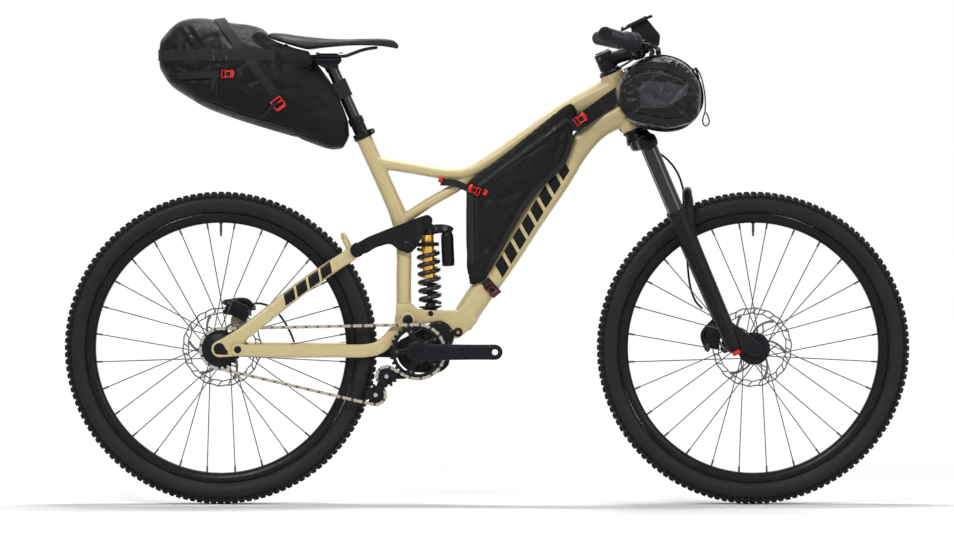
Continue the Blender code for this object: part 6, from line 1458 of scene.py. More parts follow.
def gearboxShapes():
    cx, ch = drive["crank"]
    lx, lh = drive["lobe"]
    shapes = [plateShape(casingOutline(-0.0006), -0.0315, 0.0315, 0.0016),
              plateShape(casingOutline(-0.003), -0.0335, 0.0335, 0.0012),
              turnedAbout(mm((0, 34), (9.8, 34), (11.6, 33), (13, 30.5), (13.3, 26.2), (12.7, 25), (12.7, 11),
                             (13.4, 10), (13.4, 0.1)), at(lx, lh, -0.0305), (0, -1, 0), 72),
              turnedAbout(mm((0, 46), (10.5, 46), (12.5, 44), (13.2, 40), (12.8, 38), (12.8, 0.1)),
                          at(-0.14, 0.0, 0.0305), (0, 1, 0), 72),
              turnedAbout(mm((0, 30), (9.5, 30), (11, 28), (11.8, 25), (11.8, 0.1)), at(cx, ch, -0.0305),
                          (0, -1, 0), 56), pin(-0.065, 0.036, -0.034, 0.034, 0.0105, 36, 0.0012)]
    for k in range(9):
        a = math.radians(200 + 15 * k)
        ends = [at(*(ray(a) * reach + (cx + 0.02, ch)), -0.0328) for reach in (0.02, 0.043)]
        shapes.append(sweep([(*end, 0.0022, 0.0014) for end in ends], sides=8, power=2.4))
    for spot in lobeBolts():
        shapes.append(rodShape(at(*spot, -0.031), at(*spot, -0.044), 0.0042, 20, 0.0006))
    return shapes


def lobeBolts():
    # six places round the lobe of the casing
    return [np.array(drive["lobe"]) + 0.0305 * ray(math.radians(25 + 60 * k)) for k in range(6)]


def buildGearbox():
    cx, ch = drive["crank"]
    cuts = [pin(-0.065, 0.036, -0.1, 0.1, 0.004, 24),
            pin(cx, ch, -0.1, 0.1, 0.0128, 36),
            pin(-0.177, 0.064, -0.1, 0.1, 0.0195, 40)]
    weldedPiece("gearboxCasing", gearboxShapes(), castBlack, "frame", voxel=0.0014, smoothing=1,
                node="gearbox_housing", cuts=cuts)
    profile = mm((0, 3.2), (0.6, 3.4), (2.2, 3.4), (2.8, 2.8), (2.8, 1.8), (1.2, 1.6), (1.2, 0.03))
    bolts = [turnedAbout(profile, at(*spot, -0.0438), (0, -1, 0), 20) for spot in lobeBolts()]
    makePiece("gearboxBolts", bolts, darkSteel, "frame", ())


buildGearbox()
print("drive built")


# Fork: forged crown, dark stanchions, cast lowers with their arch, axle, rebound knob and both calipers

fork = {
    "half": 0.07,
    "ahead": 0.013,
    "tube": 0.0175,
    "seal": 0.337,
    "length": 0.687,
    "crown": 0.155,
    "hub": 0.055,
}


def crownShapes():
    f = fork
    along = steer(1) - steer(0)
    stations = np.array(mm((-95, 16.5, 29, 9, 23), (-92.5, 11, 33, 3, 28), (-84, 2.5, 34, -6, 34.5),
                           (-70, 0.2, 34.5, -9, 35.5), (-56, 0, 33.5, -8, 35), (-42, 0, 30, -14, 32.5),
                           (-30, 0, 28.2, -22, 31), (0, 0, 28.5, -25.5, 31)))
    stations = np.vstack([stations, (stations[:-1] * np.array((-1, 1, 1, 1, 1)))[::-1]])
    rows = smoothRows(stations, 60)
    u, v = superellipse(32, 3.2)
    down = f["crown"] + (rows[:, 1:2] + rows[:, 2:3]) / 2 + (rows[:, 2:3] - rows[:, 1:2]) / 2 * v
    ahead = (rows[:, 3:4] + rows[:, 4:5]) / 2 + (rows[:, 4:5] - rows[:, 3:4]) / 2 * u
    grid = (steer(0) + down[..., None] * along + ahead[..., None] * (steer(0, 1) - steer(0))
            + rows[:, None, :1] * sideways)
    race = turnedAbout(mm((145.5, 15), (145.5, 25), (147.5, 26.2), (150, 26.2), (156, 29), (164, 29.5), (164, 15)),
                       steer(0), along, 56)
    shapes = [gridShape(grid), race, rodShape(steer(-0.05), steer(0.15), 0.0143, 40, 0.0006)]
    for side in (-1, 1):
        y = side * f["half"]
        cap = fromPlace(f["crown"], mm((-1.2, 0.03), (-1.2, 9), (0.2, 10), (0.2, 14.5), (1.2, 16), (6, 16.5)))
        shapes.append(marked(turnedAbout(cap, steer(0, f["ahead"], y), along, 48), 1))
    return shapes


makePiece("forkCrownForging", crownShapes(), [blackPaint, blackAlloy], "steering", ["fork_crown"])
along = steer(1) - steer(0)
for side, name, node in ((-1, "stanchionRight", "stanchion_right"), (1, "stanchionLeft", "stanchion_left")):
    shape = rodShape(steer(fork["crown"] + 0.012, fork["ahead"], side * fork["half"]),
                     steer(0.396, fork["ahead"], side * fork["half"]), fork["tube"], 64, 0.0008)
    makePiece(name, shape, darkStanchion, "steering", [node])


def lowerShapes():
    f = fork
    shapes = []
    end = f["length"]
    turn = np.radians(np.linspace(-150, 60, 20))
    arc = np.stack([bike["frontX"] + 0.0185 * np.cos(turn), 0.0185 * np.sin(turn)], 1)
    corners = [steer(end - 0.085, f["ahead"] + 0.01), steer(end - 0.085, f["ahead"] - 0.006),
               steer(end - 0.01, f["ahead"] - 0.006)]
    outline = np.vstack([arc, [(p[0], p[2] - bike["axleHeight"]) for p in corners]])
    for side in (-1, 1):
        y = side * f["half"]
        profile = (fromPlace(f["seal"],
                             mm((2, 17.6), (0, 18.8), (1.2, 19.8), (3, 19.8), (3.4, 21.2), (6, 21.5), (30, 21.5),
                                (60, 21.2), (90, 20.2), (150, 19.5), (220, 18.7)))
                   + fromPlace(end, mm((-75, 18), (-40, 16.8), (-18, 15), (-12, 13.8), (-11.8, 10), (-30, 6))))
        shapes += [turnedAbout(profile, steer(0, f["ahead"], y), along, 56),
                   sidePlate(outline, side, f["hub"] + 0.0003, f["hub"] + 0.017, 0.0014)]
    arch = (fromPlace(f["half"],
                      mm((0, 396, 19, 12.5, 10), (-1, 378, 27, 12.5, 10), (-5, 356, 36, 11.8, 9.5),
                         (-17, 333, 45.5, 10.8, 8.8)))
            + mm((36, 317, 50.5, 10.2, 8.5), (16, 309.5, 53.5, 10, 8.5), (0, 308, 54, 10, 8.5)))
    whole = arch + [(-y, d, a, w, t) for y, d, a, w, t in reversed(arch[:-1])]
    rows = np.array([(*steer(d, a, y), w, t) for y, d, a, w, t in whole])
    shapes.append(sweep(smoothRows(rows, 90), steer(0, 1) - steer(0), 28, 2.6))
    mount = rounded(mm((548, 70), (520, 72), (512, 58), (522, 50), (530, 20), (524, -6), (534, -16), (560, 0)),
                    0.005, 4)
    shapes.append(plateShape(mount, 0.0521, 0.0641, 0.0012))
    return shapes


weldedPiece("forkLowersCasting", lowerShapes(), castBlack, "fork_lowers", voxel=0.0017, smoothing=4,
            node="fork_lowers", factor=0.45)
axleFace = fork["hub"] + 0.017 + 0.0003
frontAxle = [turnedAbout(fromPlace(-axleFace,
                                   mm((-3.8, 0.03), (-3.8, 3.2), (-1.2, 3.4), (-1.2, 4), (-3.8, 4.2), (-3.8, 8.6),
                                      (-2.6, 10), (-0.2, 10), (0, 7.5)))
                         + fromPlace(axleFace, mm((-1, 7.5), (-0.6, 0.03))), at(bike["frontX"], 0), (0, 1, 0), 40)]
makePiece("frontThroughAxle", frontAxle, blackAlloy, "fork_lowers", ["front_axle"])


def reboundKnob():
    # fluted knob: radius 9.8 mm, r (1 - 0.055 max(0, sin 14 a)) gives 14 shallow scallops
    start = steer(fork["length"] - 0.0117, fork["ahead"], -fork["half"])
    profile = np.array(mm((0, 4), (0, 8.8), (1.2, 9.8), (9.2, 9.8), (11.2, 8.8), (11.8, 6), (11.8, 0.3)))
    axis = unit(along)
    turn = circle(112)
    flute = 1 - 0.055 * np.clip(np.sin(turn * 14), 0, 1)[None]
    r = profile[:, 1:] * np.where((profile[:, 1:] > 0.0085), flute, 1.0)
    return gridShape(start + profile[:, None, :1] * axis + (r * np.cos(turn))[..., None] * sideways
                     + (r * np.sin(turn))[..., None] * np.cross(axis, sideways))


makePiece("reboundKnobRed", reboundKnob(), redAlloy, "fork_lowers", ["rebound_knob"])


def arcPoints(radius, start, end):
    return [(radius * math.cos(a), radius * math.sin(a)) for a in np.radians(np.linspace(start, end, 7))]


def caliperShapes(centre, offset, start, end, bracket):
    # two halves of a caliper with a slot for the disc, banjo, bolts and a bent bracket
    half = 0.0118

    def polar(radius, angle, y):
        t = np.radians(angle)
        return centre + np.array((math.cos(t) * radius, y, math.sin(t) * radius))

    shapes = []
    outline = rounded(arcPoints(0.0745, start, end) + arcPoints(0.1085, end - 5, start + 5), 0.004, 3)
    place = lambda xy, y: layer(xy + (centre[0], 0.0), y)
    for low, high in ((offset - half, offset - 0.0023), (offset + 0.0023, offset + half)):
        shapes.append(plateShape(outline, low, high, 0.0016, place))
    bridge = np.array(arcPoints(0.095, start, end) + arcPoints(0.1075, end - 6, start + 6))
    shapes.append(plateShape(bridge, offset - 0.004, offset + 0.004, 0.0004, place))
    middle = (start + end) / 2
    cap = fromPlace(offset - half,
                    mm((-2, 0.03), (-2, 3), (-1, 3.2), (-1, 4.6), (-2, 4.8), (-2, 9.2), (-1, 10.4), (2, 10.8)))
    shapes.append(marked(turnedAbout(cap, polar(0.087, middle, 0), (0, 1, 0), 40), 1))
    for a in (start + 7, end - 7):
        bolt = fromPlace(offset - half,
                         mm((-3, 0.03), (-3, 1.6), (-1.2, 1.7), (-1.2, 2.2), (-3, 2.4), (-3, 3.6), (-2.2, 4),
                            (1, 4)))
        shapes.append(marked(turnedAbout(bolt, polar(0.101, a, 0), (0, 1, 0), 24), 2))
    feet = np.array([(*polar(r, a, offset + half - 0.0035), 0.0036, 0.0062) for a, r in bracket])
    shapes.append(sweep(smoothRows(feet, 24), sides=16, power=3.0))
    for a, r in (bracket[0], bracket[-1]):
        shapes.append(marked(rodShape(polar(r, a, offset + half - 0.0095), polar(r, a, offset + half - 0.0062),
                                      0.0044, 6, 0.0005), 2))
    return shapes


caliperLook = [castBlack, blackAlloy, darkSteel]
makePiece("frontCaliperBody",
          caliperShapes(at(bike["frontX"], 0), offset=0.04, start=145, end=184,
                        bracket=((184, 0.1), (165, 0.1135), (143, 0.103))), caliperLook, "fork_lowers",
          ["front_caliper"])
makePiece("rearCaliperBody",
          caliperShapes(at(bike["rearX"], 0), offset=0.0585, start=46, end=88,
                        bracket=((88, 0.1), (64, 0.116), (50, 0.112))), caliperLook, "seatstay", ["rear_caliper"])
print("fork and calipers built")


# Stem, handlebar, grips, brake levers, twist shifter and the device holder

bar = {
    "stations": (0.045, 0.2, 0.38),
    "back": (0.0, -0.006, -0.077),
    "rise": (0.0, 0.013, 0.031),
    "radius": 0.0159,
    "endRadius": 0.0111,
    "gripStart": 0.262,
    "perch": 0.185,
    "twistStart": 0.214,
}


def barPoint(y, ahead=0.0, up=0.0):
    reach = min(abs(y), 0.3825)
    back, rise = (float(np.interp(reach, bar["stations"], bar[key])) for key in ("back", "rise"))
    return steer(-0.027, 0.0725) + np.array((back + ahead, y, rise + up))


def barLine(start, end, count):
    return np.array([barPoint(y) for y in np.linspace(start, end, count)])


def ribbedTube(path, radius, ribs, depth, phase):
    # tube with the radius r(s) - depth * max(0, pattern), closed at both ends on a hollow bore
    across, up = frames(path, (0, 0, 1))
    turn = circle(72)
    r = np.asarray(radius)[:, None] - depth * np.clip(phase(np.arange(len(path))[:, None], ribs * turn[None]), 0, 1)
    grid = (path[:, None] + across[:, None] * (r * np.cos(turn))[..., None]
            + up[:, None] * (r * np.sin(turn))[..., None])
    inner = path[[-1, 0]]
    bore = (inner[:, None] + across[[-1, 0], None] * 0.0116 * np.cos(turn)[:, None]
            + up[[-1, 0], None] * 0.0116 * np.sin(turn)[:, None])
    return gridShape(np.concatenate([grid, bore]), loop=True, caps=False)


def buildStem():
    axis = steer(1) - steer(0)
    clampLow, clampHigh = -0.0106, -0.05
    shapes = [rodShape(steer(clampLow), steer(clampHigh), 0.0205, 56, 0.0012)]
    neck = [(*steer(-0.03, 0.002), 0.0185, 0.018), (*steer(-0.029, 0.026), 0.016, 0.015),
            (*steer(-0.0275, 0.05), 0.018, 0.0158), (*steer(-0.027, 0.056), 0.0225, 0.0175)]
    shapes += [sweep(smoothRows(neck, 30), (0, 1, 0), 40, 3.0),
               rodShape(barPoint(-0.024), barPoint(0.024), bar["radius"] + 0.0068, 56, 0.0012)]
    for side in (-1, 1):
        for up in (-1, 1):
            spot = steer(-0.027 + up * 0.0165, 0.0725, side * 0.016)
            shapes.append(rodShape(spot - 0.01 * steerAhead, spot + 0.0105 * steerAhead, 0.0052, 24, 0.0006))
    weldedPiece("stemForging", shapes, blackAlloy, "steering", voxel=0.0011, smoothing=2, node="stem")
    bolts = []
    hex_ = mm((0, 3.6), (1, 4), (3.4, 4), (4, 3.4), (4, 1.9), (1.8, 1.7), (1.8, 0.03))
    for side in (-1, 1):
        for up in (-1, 1):
            bolts.append(turnedAbout(hex_, steer(-0.027 + up * 0.0165, 0.0725 + 0.01, side * 0.016), steerAhead,
                                     24))
        bolts.append(turnedAbout(hex_, steer(-0.04, -0.012, side * 0.0185), (0, side, 0), 24))
    cap = mm((0, 15), (0.6, 16.8), (2.2, 17.2), (3.4, 16), (3.6, 6), (2.2, 5.2), (2.2, 0.03))
    bolts.append(turnedAbout(cap, steer(-0.0506), -axis, 48))
    makePiece("stemBolts", bolts, darkSteel, "steering", ())


steerAhead = unit(steer(0, 1) - steer(0))
buildStem()

half = [(0.38, bar["endRadius"]), (0.3, bar["endRadius"]), (0.21, bar["endRadius"]), (0.14, 0.0113), (0.1, 0.015),
        (0.085, 0.0159), (0.045, 0.0159)]
rows = [(*barPoint(-y), r, r) for y, r in half] + [(*barPoint(y), r, r) for y, r in reversed(half)]
makePiece("handlebarTube", sweep(smoothRows(rows, 150), (0, 0, 1), 32), blackAlloy, "steering", ["handlebar"])

for side, name, node, start in ((-1, "rightGripSleeve", "grip_right", bar["gripStart"]),
                                (1, "leftGripSleeve", "grip_left", bar["twistStart"] + 0.02)):
    path = barLine(side * start, side * 0.3822, 120)
    s = np.linspace(0, 1, 120)
    radius = np.interp(s, (0, 0.02, 0.05, 0.07, 0.96, 0.985, 1.0),
                       (0.0168, 0.0181, 0.0181, 0.0158, 0.0156, 0.016, 0.0148))
    pads = lambda i, a: (np.clip(2.2 * np.sin(i * 0.95 + 0.4 * np.sin(a)), -0.2, 1) * np.clip(1.8 * np.cos(a / 2),
        0.0, 1) * ((i > 8) & (i < 114)))
    sleeve = ribbedTube(path, radius, 12, 0.0015, pads)
    end = unit(path[-1] - path[-2])
    plug = mm((-3, 11.8), (-0.5, 11.8), (0.8, 11.4), (1.2, 9.5), (0.6, 8), (1, 4), (1, 0.03))
    makePiece(name, [sleeve, marked(turnedAbout(plug, barPoint(side * 0.3822), end, 40), 1)],
              [gripRubber, mattPlastic], "steering", [node])

path = barLine(-0.2614, -bar["twistStart"], 90)
s = np.linspace(0, 1, 90)
radius = np.interp(s, (0, 0.05, 0.12, 0.62, 0.7, 0.74, 0.96, 1.0),
                   (0.0165, 0.019, 0.02, 0.0198, 0.0196, 0.0222, 0.0226, 0.0214))
flutes = lambda i, a: np.clip(1.4 * np.cos(a), 0, 1) * ((i > 7) & (i < 58))
makePiece("twistShifterBarrel", ribbedTube(path, radius, 20, 0.0012, flutes), gripRubber, "twist_shifter",
          ["twist_shifter"], angle=50)


def buildBrake(side, letter):
    mid = bar["perch"]
    along = unit(barPoint(side * (mid + 0.008)) - barPoint(side * (mid - 0.008)))
    band = mm((-7.2, 11.7), (-7.2, 15.2), (-6, 16.2), (6, 16.2), (7.2, 15.2), (7.2, 11.7))
    shapes = [turnedAbout(band, barPoint(side * mid), along, 56, hollow=True)]
    tank = [(*barPoint(side * (mid - 0.044), 0.021, -0.01), 0.006, 0.0062),
            (*barPoint(side * (mid - 0.034), 0.021, -0.0095), 0.0088, 0.009),
            (*barPoint(side * (mid - 0.012), 0.021, -0.007), 0.01, 0.01),
            (*barPoint(side * (mid + 0.004), 0.0225, -0.007), 0.0088, 0.0094),
            (*barPoint(side * (mid + 0.014), 0.025, -0.008), 0.005, 0.007)]
    shapes.append(sweep(smoothRows(tank, 60), (1, 0, 0), 32, 2.8))
    weldedPiece(letter + "BrakePerch", shapes, mattPlastic, "steering", voxel=0.0009, smoothing=2,
                node="brake_perch_" + letter)
    pivot = barPoint(side * (mid + 0.006), 0.029, -0.008)
    small = [rodShape(pivot - np.array((0, 0, 0.0082)), pivot + np.array((0, 0, 0.0082)), 0.0032, 24, 0.0006)]
    exitPoint = barPoint(side * (mid - 0.044), 0.021, -0.01)
    small.append(rodShape(exitPoint, exitPoint - np.array((0, side * 0.01, 0)) + np.array((0.002, 0, 0)), 0.004, 20,
                          0.0005))
    for spot in (barPoint(side * mid, 0.0158, 0.006), barPoint(side * mid, -0.001, -0.0172)):
        small.append(rodShape(spot - np.array((0.004, 0, 0)), spot + np.array((0.0035, 0, 0)), 0.003, 20, 0.0005))
    makePiece(letter + "PerchBolts", small, darkSteel, "steering", ())
    blade = [(pivot, 0.0052, 0.0037), (pivot + (0.012, side * 0.018, 0), 0.0056, 0.0036),
             (pivot + (0.019, side * 0.04, -0.005), 0.005, 0.0042),
             (pivot + (0.0195, side * 0.06, -0.009), 0.0042, 0.0054),
             (pivot + (0.016, side * 0.08, -0.0115), 0.0038, 0.0058),
             (pivot + (0.0175, side * 0.092, -0.013), 0.0038, 0.0056),
             (pivot + (0.0215, side * 0.099, -0.0135), 0.0034, 0.0046)]
    rows = np.array([(*p, a, b) for p, a, b in blade])
    eye = mm((-3.7, 2.6), (-3.7, 5.2), (-3, 5.9), (3, 5.9), (3.7, 5.2), (3.7, 2.6))
    shapes = [sweep(smoothRows(rows, 80), (1, 0, 0), 28, 2.6), turnedAbout(eye, pivot, (0, 0, 1), 32, hollow=True)]
    makePiece(letter + "LeverBlade", shapes, leverBlack, "brake_lever_" + letter, ["brake_lever_" + letter])


buildBrake(-1, "right")
buildBrake(1, "left")


def buildHolder():
    # flat tray on a turned-up housing, with a pad, side clips and a clamp ring
    shapes = []
    tray = mm((299.5, 707), (366, 739), (370, 740), (369, 744.5), (365, 745.5), (303, 715), (300, 712))
    shapes.append(plateShape(tray, -0.034, 0.034, 0.0012))
    lip = mm((300, 710), (306, 713), (304.5, 719.5), (300.5, 718))
    shapes.append(plateShape(lip, -0.03, 0.03, 0.0008))
    body = rounded(mm((321, 718.5), (359, 735.5), (372.5, 718), (387.5, 700.5), (385, 676.5), (372, 670.5),
                      (352, 684.5), (328.5, 694.5)), 0.006, 5)
    shapes.append(plateShape(body, -0.024, 0.024, 0.003))
    foot = rounded(mm((325.5, 683), (340, 683), (348, 700), (330, 700)), 0.003, 4)
    shapes.append(plateShape(foot, 0.018, 0.0335, 0.001))
    weldedPiece("deviceHolder", shapes, mattPlastic, "steering", voxel=0.001, smoothing=2, node="device_mount")
    small = [turnedAbout(mm((-3.6, 16.3), (-3.6, 18.6), (-2.8, 19.2), (2.8, 19.2), (3.6, 18.6), (3.6, 16.3)),
                         barPoint(0.03), (0, 1, 0), 48, hollow=True)]
    slope = math.atan2(0.032, 0.0665)
    axes = [(math.cos(slope), 0, math.sin(slope)), (0, 1, 0), (-math.sin(slope), 0, math.cos(slope))]
    small.append(marked(boxShape(at(0.334, 0.7312), (0.05, 0.052, 0.0034), axes, 0.001), 1))
    for side in (-1, 1):
        small += [boxShape(at(0.336, 0.729, side * 0.0325), (0.03, 0.004, 0.0085), axes, 0.001),
                  rodShape(at(0.372, 0.696, side * 0.0236), at(0.372, 0.696, side * 0.0258), 0.0062, 32, 0.0006),
                  rodShape(at(0.345, 0.708, side * 0.0236), at(0.345, 0.708, side * 0.025), 0.0042, 28, 0.0006)]
    makePiece("holderFittings", small, [mattPlastic, gripRubber], "steering", ())


buildHolder()
print("cockpit built")


# Brake hoses

hoseRoutes = {
    "rear": mm((-533.2, 89.8, 56), (-528, 96, 55.5), (-512, 98, 55), (-492, 92.5, 54.5), (-472, 78, 54.5),
               (-456, 57, 57), (-443, 33, 64), (-434, 10.8, 66.5)),
    "front": mm((318, 640, 105), (276, 612, 88), (264, 575, 84), (270, 535, 92), (290, 500, 100), (322, 471, 101),
                (362, 449, 100.5), (400, 427, 98.5), (428, 394, 97), (443, 350, 96.5), (448, 300, 96.5),
                (450, 245, 96), (452, 190, 94), (457, 140, 80), (468, 105, 60), (483, 87, 44)),
}
perchExit = barPoint(bar["perch"] - 0.0425, 0.021, -0.01)
frontHose = [perchExit, perchExit + (0, -0.022, -0.004), *placed(hoseRoutes["front"])]
makePiece("rearBrakeHose", pipe(placed(hoseRoutes["rear"]), 0.0025, 90, 14), hoseRubber, "seatstay", ["rear_hose"])
hose = makePiece("frontBrakeHose", pipe(frontHose, 0.0025, 160, 14), hoseRubber, "steering", (),
                 ride=False)
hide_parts("front_hose")
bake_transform(hose)


# Seat post, rails and saddle

saddle = {
    "stations": mm((-487, 702.5, 698, 34), (-480, 705.5, 690, 53), (-455, 704.5, 681, 68), (-425, 700.5, 671.5, 70),
                   (-400, 697.2, 666, 64), (-372, 694.3, 669.5, 52), (-345, 692.3, 672.5, 41),
                   (-310, 691.5, 675.5, 29), (-270, 692.5, 676, 22.5), (-235, 692.5, 674, 19.5),
                   (-212, 689.5, 670.5, 17), (-202, 683, 669, 12), (-198.5, 678, 671.5, 6)),
    "railHalf": 0.022,
    "railHeight": 0.653,
    "rail": 0.0035,
}


def saddleShell():
    # section at each station: a crowned top from -1 to 1 that rolls over into drawn-in sides and a hollow underside
    s = saddle
    rows = smoothRows(np.array([(x, 0, top, low, half) for x, top, low, half in s["stations"]]), 110)
    across = np.concatenate([np.sin(np.linspace(-math.pi / 2, math.pi / 2, 41)), np.linspace(0.9, -0.9, 17)])
    topShare = np.concatenate([(1 - np.abs(np.sin(np.linspace(-math.pi / 2, math.pi / 2, 41))) ** 5.5) * 0.72
                               + 0.26, 0.1 - 0.02 * np.linspace(-1, 1, 17) ** 2])
    groove = np.exp(-(across[:41] / 0.13) ** 2)
    x, top, low, half = rows[:, 0:1], rows[:, 2:3], rows[:, 3:4], rows[:, 4:5]
    wide = np.clip((half - 0.02) / 0.05, 0, 1)
    h = low + (top - low) * topShare
    h[:, :41] -= 0.0022 * wide * np.exp(-((x + 0.37) / 0.075) ** 2) * groove
    y = half * across[None]
    return gridShape(np.stack([np.broadcast_to(x, y.shape), y, bike["axleHeight"] + h], -1))


saddlePiece = makePiece("saddleCover", saddleShell(), saddleSkin, "seatpost", ["saddle"], angle=70)


def railShapes():
    s = saddle
    half = [(-0.452, 0.6783, s["railHalf"] + 0.01), (-0.444, 0.6715, s["railHalf"] + 0.0082),
            (-0.436, 0.664, s["railHalf"] + 0.006), (-0.424, 0.6565, s["railHalf"] + 0.002),
            (-0.41, s["railHeight"], s["railHalf"]), (-0.366, s["railHeight"], s["railHalf"]),
            (-0.322, s["railHeight"], s["railHalf"]), (-0.304, 0.658, 0.0214), (-0.285, 0.665, 0.02),
            (-0.27, 0.669, 0.0165), (-0.256, 0.6712, 0.0125), (-0.2498, 0.672, 0.007), (-0.248, 0.6722, 0.0)]
    return pipe(placed(bothSides(half)), s["rail"], 140, 14, (0, 0, 1))


makePiece("saddleRailWire", railShapes(), blackAlloy, "seatpost", ["saddle_rails"])


def postHeadShapes():
    s = saddle
    h = s["railHeight"]
    cradle = rounded([(-0.393, h - 0.003), (-0.385, h - 0.016), (-0.362, h - 0.028), (-0.34, h - 0.026),
                      (-0.326, h - 0.012), (-0.326, h - 0.003)], 0.004, 4)
    plate = rounded([(-0.386, h - 0.0005), (-0.329, h - 0.0005), (-0.334, h + 0.0065), (-0.381, h + 0.0065)], 0.003,
                    4)
    web = [(-0.378, h - 0.006), (-0.337, h - 0.006), (-0.337, h + 0.004), (-0.378, h + 0.004)]
    shapes = [plateShape(cradle, -0.014, 0.014, 0.002), plateShape(web, -0.013, 0.013, 0.0005)]
    for side in (-1, 1):
        a, b = sorted((side * 0.014, side * 0.0178))
        shapes.append(plateShape(cradle, a - 0.0002, b, 0.001))
        clampLow = rounded([(-0.388, h - 0.004), (-0.382, h - 0.012), (-0.334, h - 0.012), (-0.328, h - 0.004)],
                           0.003, 4)
        shapes.append(sidePlate(clampLow, side, 0.0222, 0.0262, 0.0008))
    shapes.append(plateShape(plate, -0.0165, 0.0165, 0.0012))
    for x in (-0.386, -0.333):
        shapes.append(marked(rodShape(at(x + 0.006, h + 0.006), at(x + 0.006, h + 0.0085), 0.0045, 24, 0.0005), 1))
    return shapes


stanchion = turnedAbout(mm((-92, 12), (-92, 13.3), (158, 13.3), (160, 15), (166, 16), (171, 15.5), (174, 13)),
                        post(0), post(1) - post(0), 56)
makePiece("seatPostTube", [stanchion], darkStanchion, "seatpost", ())
makePiece("seatPostHead", postHeadShapes(), [blackAlloy, darkSteel], "seatpost", ["seatpost"])
print("seat built")


# Packing bags: shells that are remeshed, filled by cloth pressure and then creased; their straps come after

bags = {
    "voxel": 0.0048,
    "pressure": 3.2,
    "steps": 16,
    "seatCap": 0.006,
    "frameVoxel": 0.0026,
    "frameCap": 0.004,
    "barCap": 0.005,
    "webThick": 0.0016,
    "webLift": 0.0015,
}


def coordsOf(piece, key="co"):
    flat = np.empty(len(piece.data.vertices) * 3)
    piece.data.vertices.foreach_get(key, flat)
    return flat.reshape(-1, 3)


def moveTo(piece, points):
    piece.data.vertices.foreach_set("co", points.ravel())
    piece.data.update()


def swollen(piece, cap):
    # cloth pressure from inside, each point held to a largest move
    b = bags
    before = coordsOf(piece)
    scene = bpy.context.scene
    fill = piece.modifiers.new("fill", "CLOTH")
    cloth = fill.settings
    cloth.use_pressure = True
    cloth.uniform_pressure_force = b["pressure"]
    cloth.effector_weights.gravity = 0
    cloth.quality = 4
    cloth.tension_stiffness = cloth.compression_stiffness = 18
    cloth.bending_stiffness = 0.8
    fill.point_cache.frame_start = 1
    fill.point_cache.frame_end = b["steps"]
    for k in range(1, b["steps"] + 1):
        scene.frame_set(k)
    settled(piece)
    scene.frame_set(1)
    move = coordsOf(piece) - before
    length = np.linalg.norm(move, axis=1, keepdims=True)
    moveTo(piece, before + move * np.minimum(1, cap / np.maximum(length, 1e-9)))


def creaseDepth(points, creases):
    # each crease is a straight valley (or a ridge where its depth is negative) that fades to its two ends
    c = np.asarray(creases, float)
    x, h = points[:, 0], points[:, 2] - bike["axleHeight"]
    ax, ah, bx, bh, width, depth = c.T
    run = np.stack([bx - ax, bh - ah], 1)
    length = np.linalg.norm(run, axis=1)
    d = run / length[:, None]
    px = x[:, None] - ax
    ph = h[:, None] - ah
    t = (px * d[:, 0] + ph * d[:, 1]) / length
    off = px * -d[:, 1] + ph * d[:, 0]
    fade = np.clip(1 - np.abs(2 * t - 1) ** 4, 0, 1)
    valley = np.exp(-(off / width) ** 2) * fade
    return (valley * depth).sum(1)


def scattered(seed, count, box, length, width, depth, lean, spread):
    # repeatable small creases inside a box of (x, h), all leaning about one way
    rng = np.random.default_rng(seed)
    x0, x1, h0, h1 = box
    x, h = rng.uniform(x0, x1, count), rng.uniform(h0, h1, count)
    a = np.radians(lean + rng.normal(0, spread, count))
    s = length * rng.uniform(0.5, 1.2, count) / 2
    w = width * rng.uniform(0.6, 1.4, count)
    d = depth * rng.uniform(0.4, 1.3, count) * np.where(rng.random(count) < 0.35, -0.7, 1.0)
    return np.stack([x - np.cos(a) * s, h - np.sin(a) * s, x + np.cos(a) * s, h + np.sin(a) * s, w, d], 1)


def creased(piece, creases, deepest=0.004):
    # pushes the skin in along its normals, the more the squarer it faces sideways
    points, normals = coordsOf(piece), coordsOf(piece, "normal")
    facing = np.clip((np.abs(normals[:, 1]) - 0.15) / 0.5, 0, 1)
    depth = np.clip(creaseDepth(points, creases), -deepest * 0.5, deepest) * facing
    moveTo(piece, points - normals * depth[:, None] * 1.5)


def bagShell(name, shapes, material, body, cap, creases, smooth=4, fit=None):
    # closed shapes fused, swollen, creased, kept out of what they lie against, then subdivided once
    piece = makePiece(name, shapes, material, body, (), ride=False)
    fused(piece, bags["voxel"], smooth)
    swollen(piece, cap)
    if len(creases):
        creased(piece, creases)
    if fit:
        moveTo(piece, fit(coordsOf(piece)))
    finer = piece.modifiers.new("finer", "SUBSURF")
    finer.levels = finer.render_levels = 1
    settled(piece)
    if fit:
        moveTo(piece, fit(coordsOf(piece)))
    oneLook(piece, material)
    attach(piece, body)
    return piece


def clearOfRod(start, direction, radius, reach=(-9, 9)):
    # points inside a round bar are pushed straight out to its surface
    start, direction = np.asarray(start, float), unit(direction)

    def fit(points):
        t = (points - start) @ direction
        off = points - start - t[:, None] * direction
        d = np.linalg.norm(off, axis=1)
        inside = (d < radius) & (t > reach[0]) & (t < reach[1])
        moved = points + off / np.maximum(d, 1e-6)[:, None] * (radius - d)[:, None]
        return np.where(inside[:, None], moved, points)
    return fit


def surfaceTree(piece):
    return BVHTree.FromObject(piece, bpy.context.evaluated_depsgraph_get())


def meeting(tree, x, h, side):
    # where a line across the bike first meets the skin, from the given side
    return tree.ray_cast(Vector(at(x, h, side * 0.6)), Vector((0, -side, 0)))


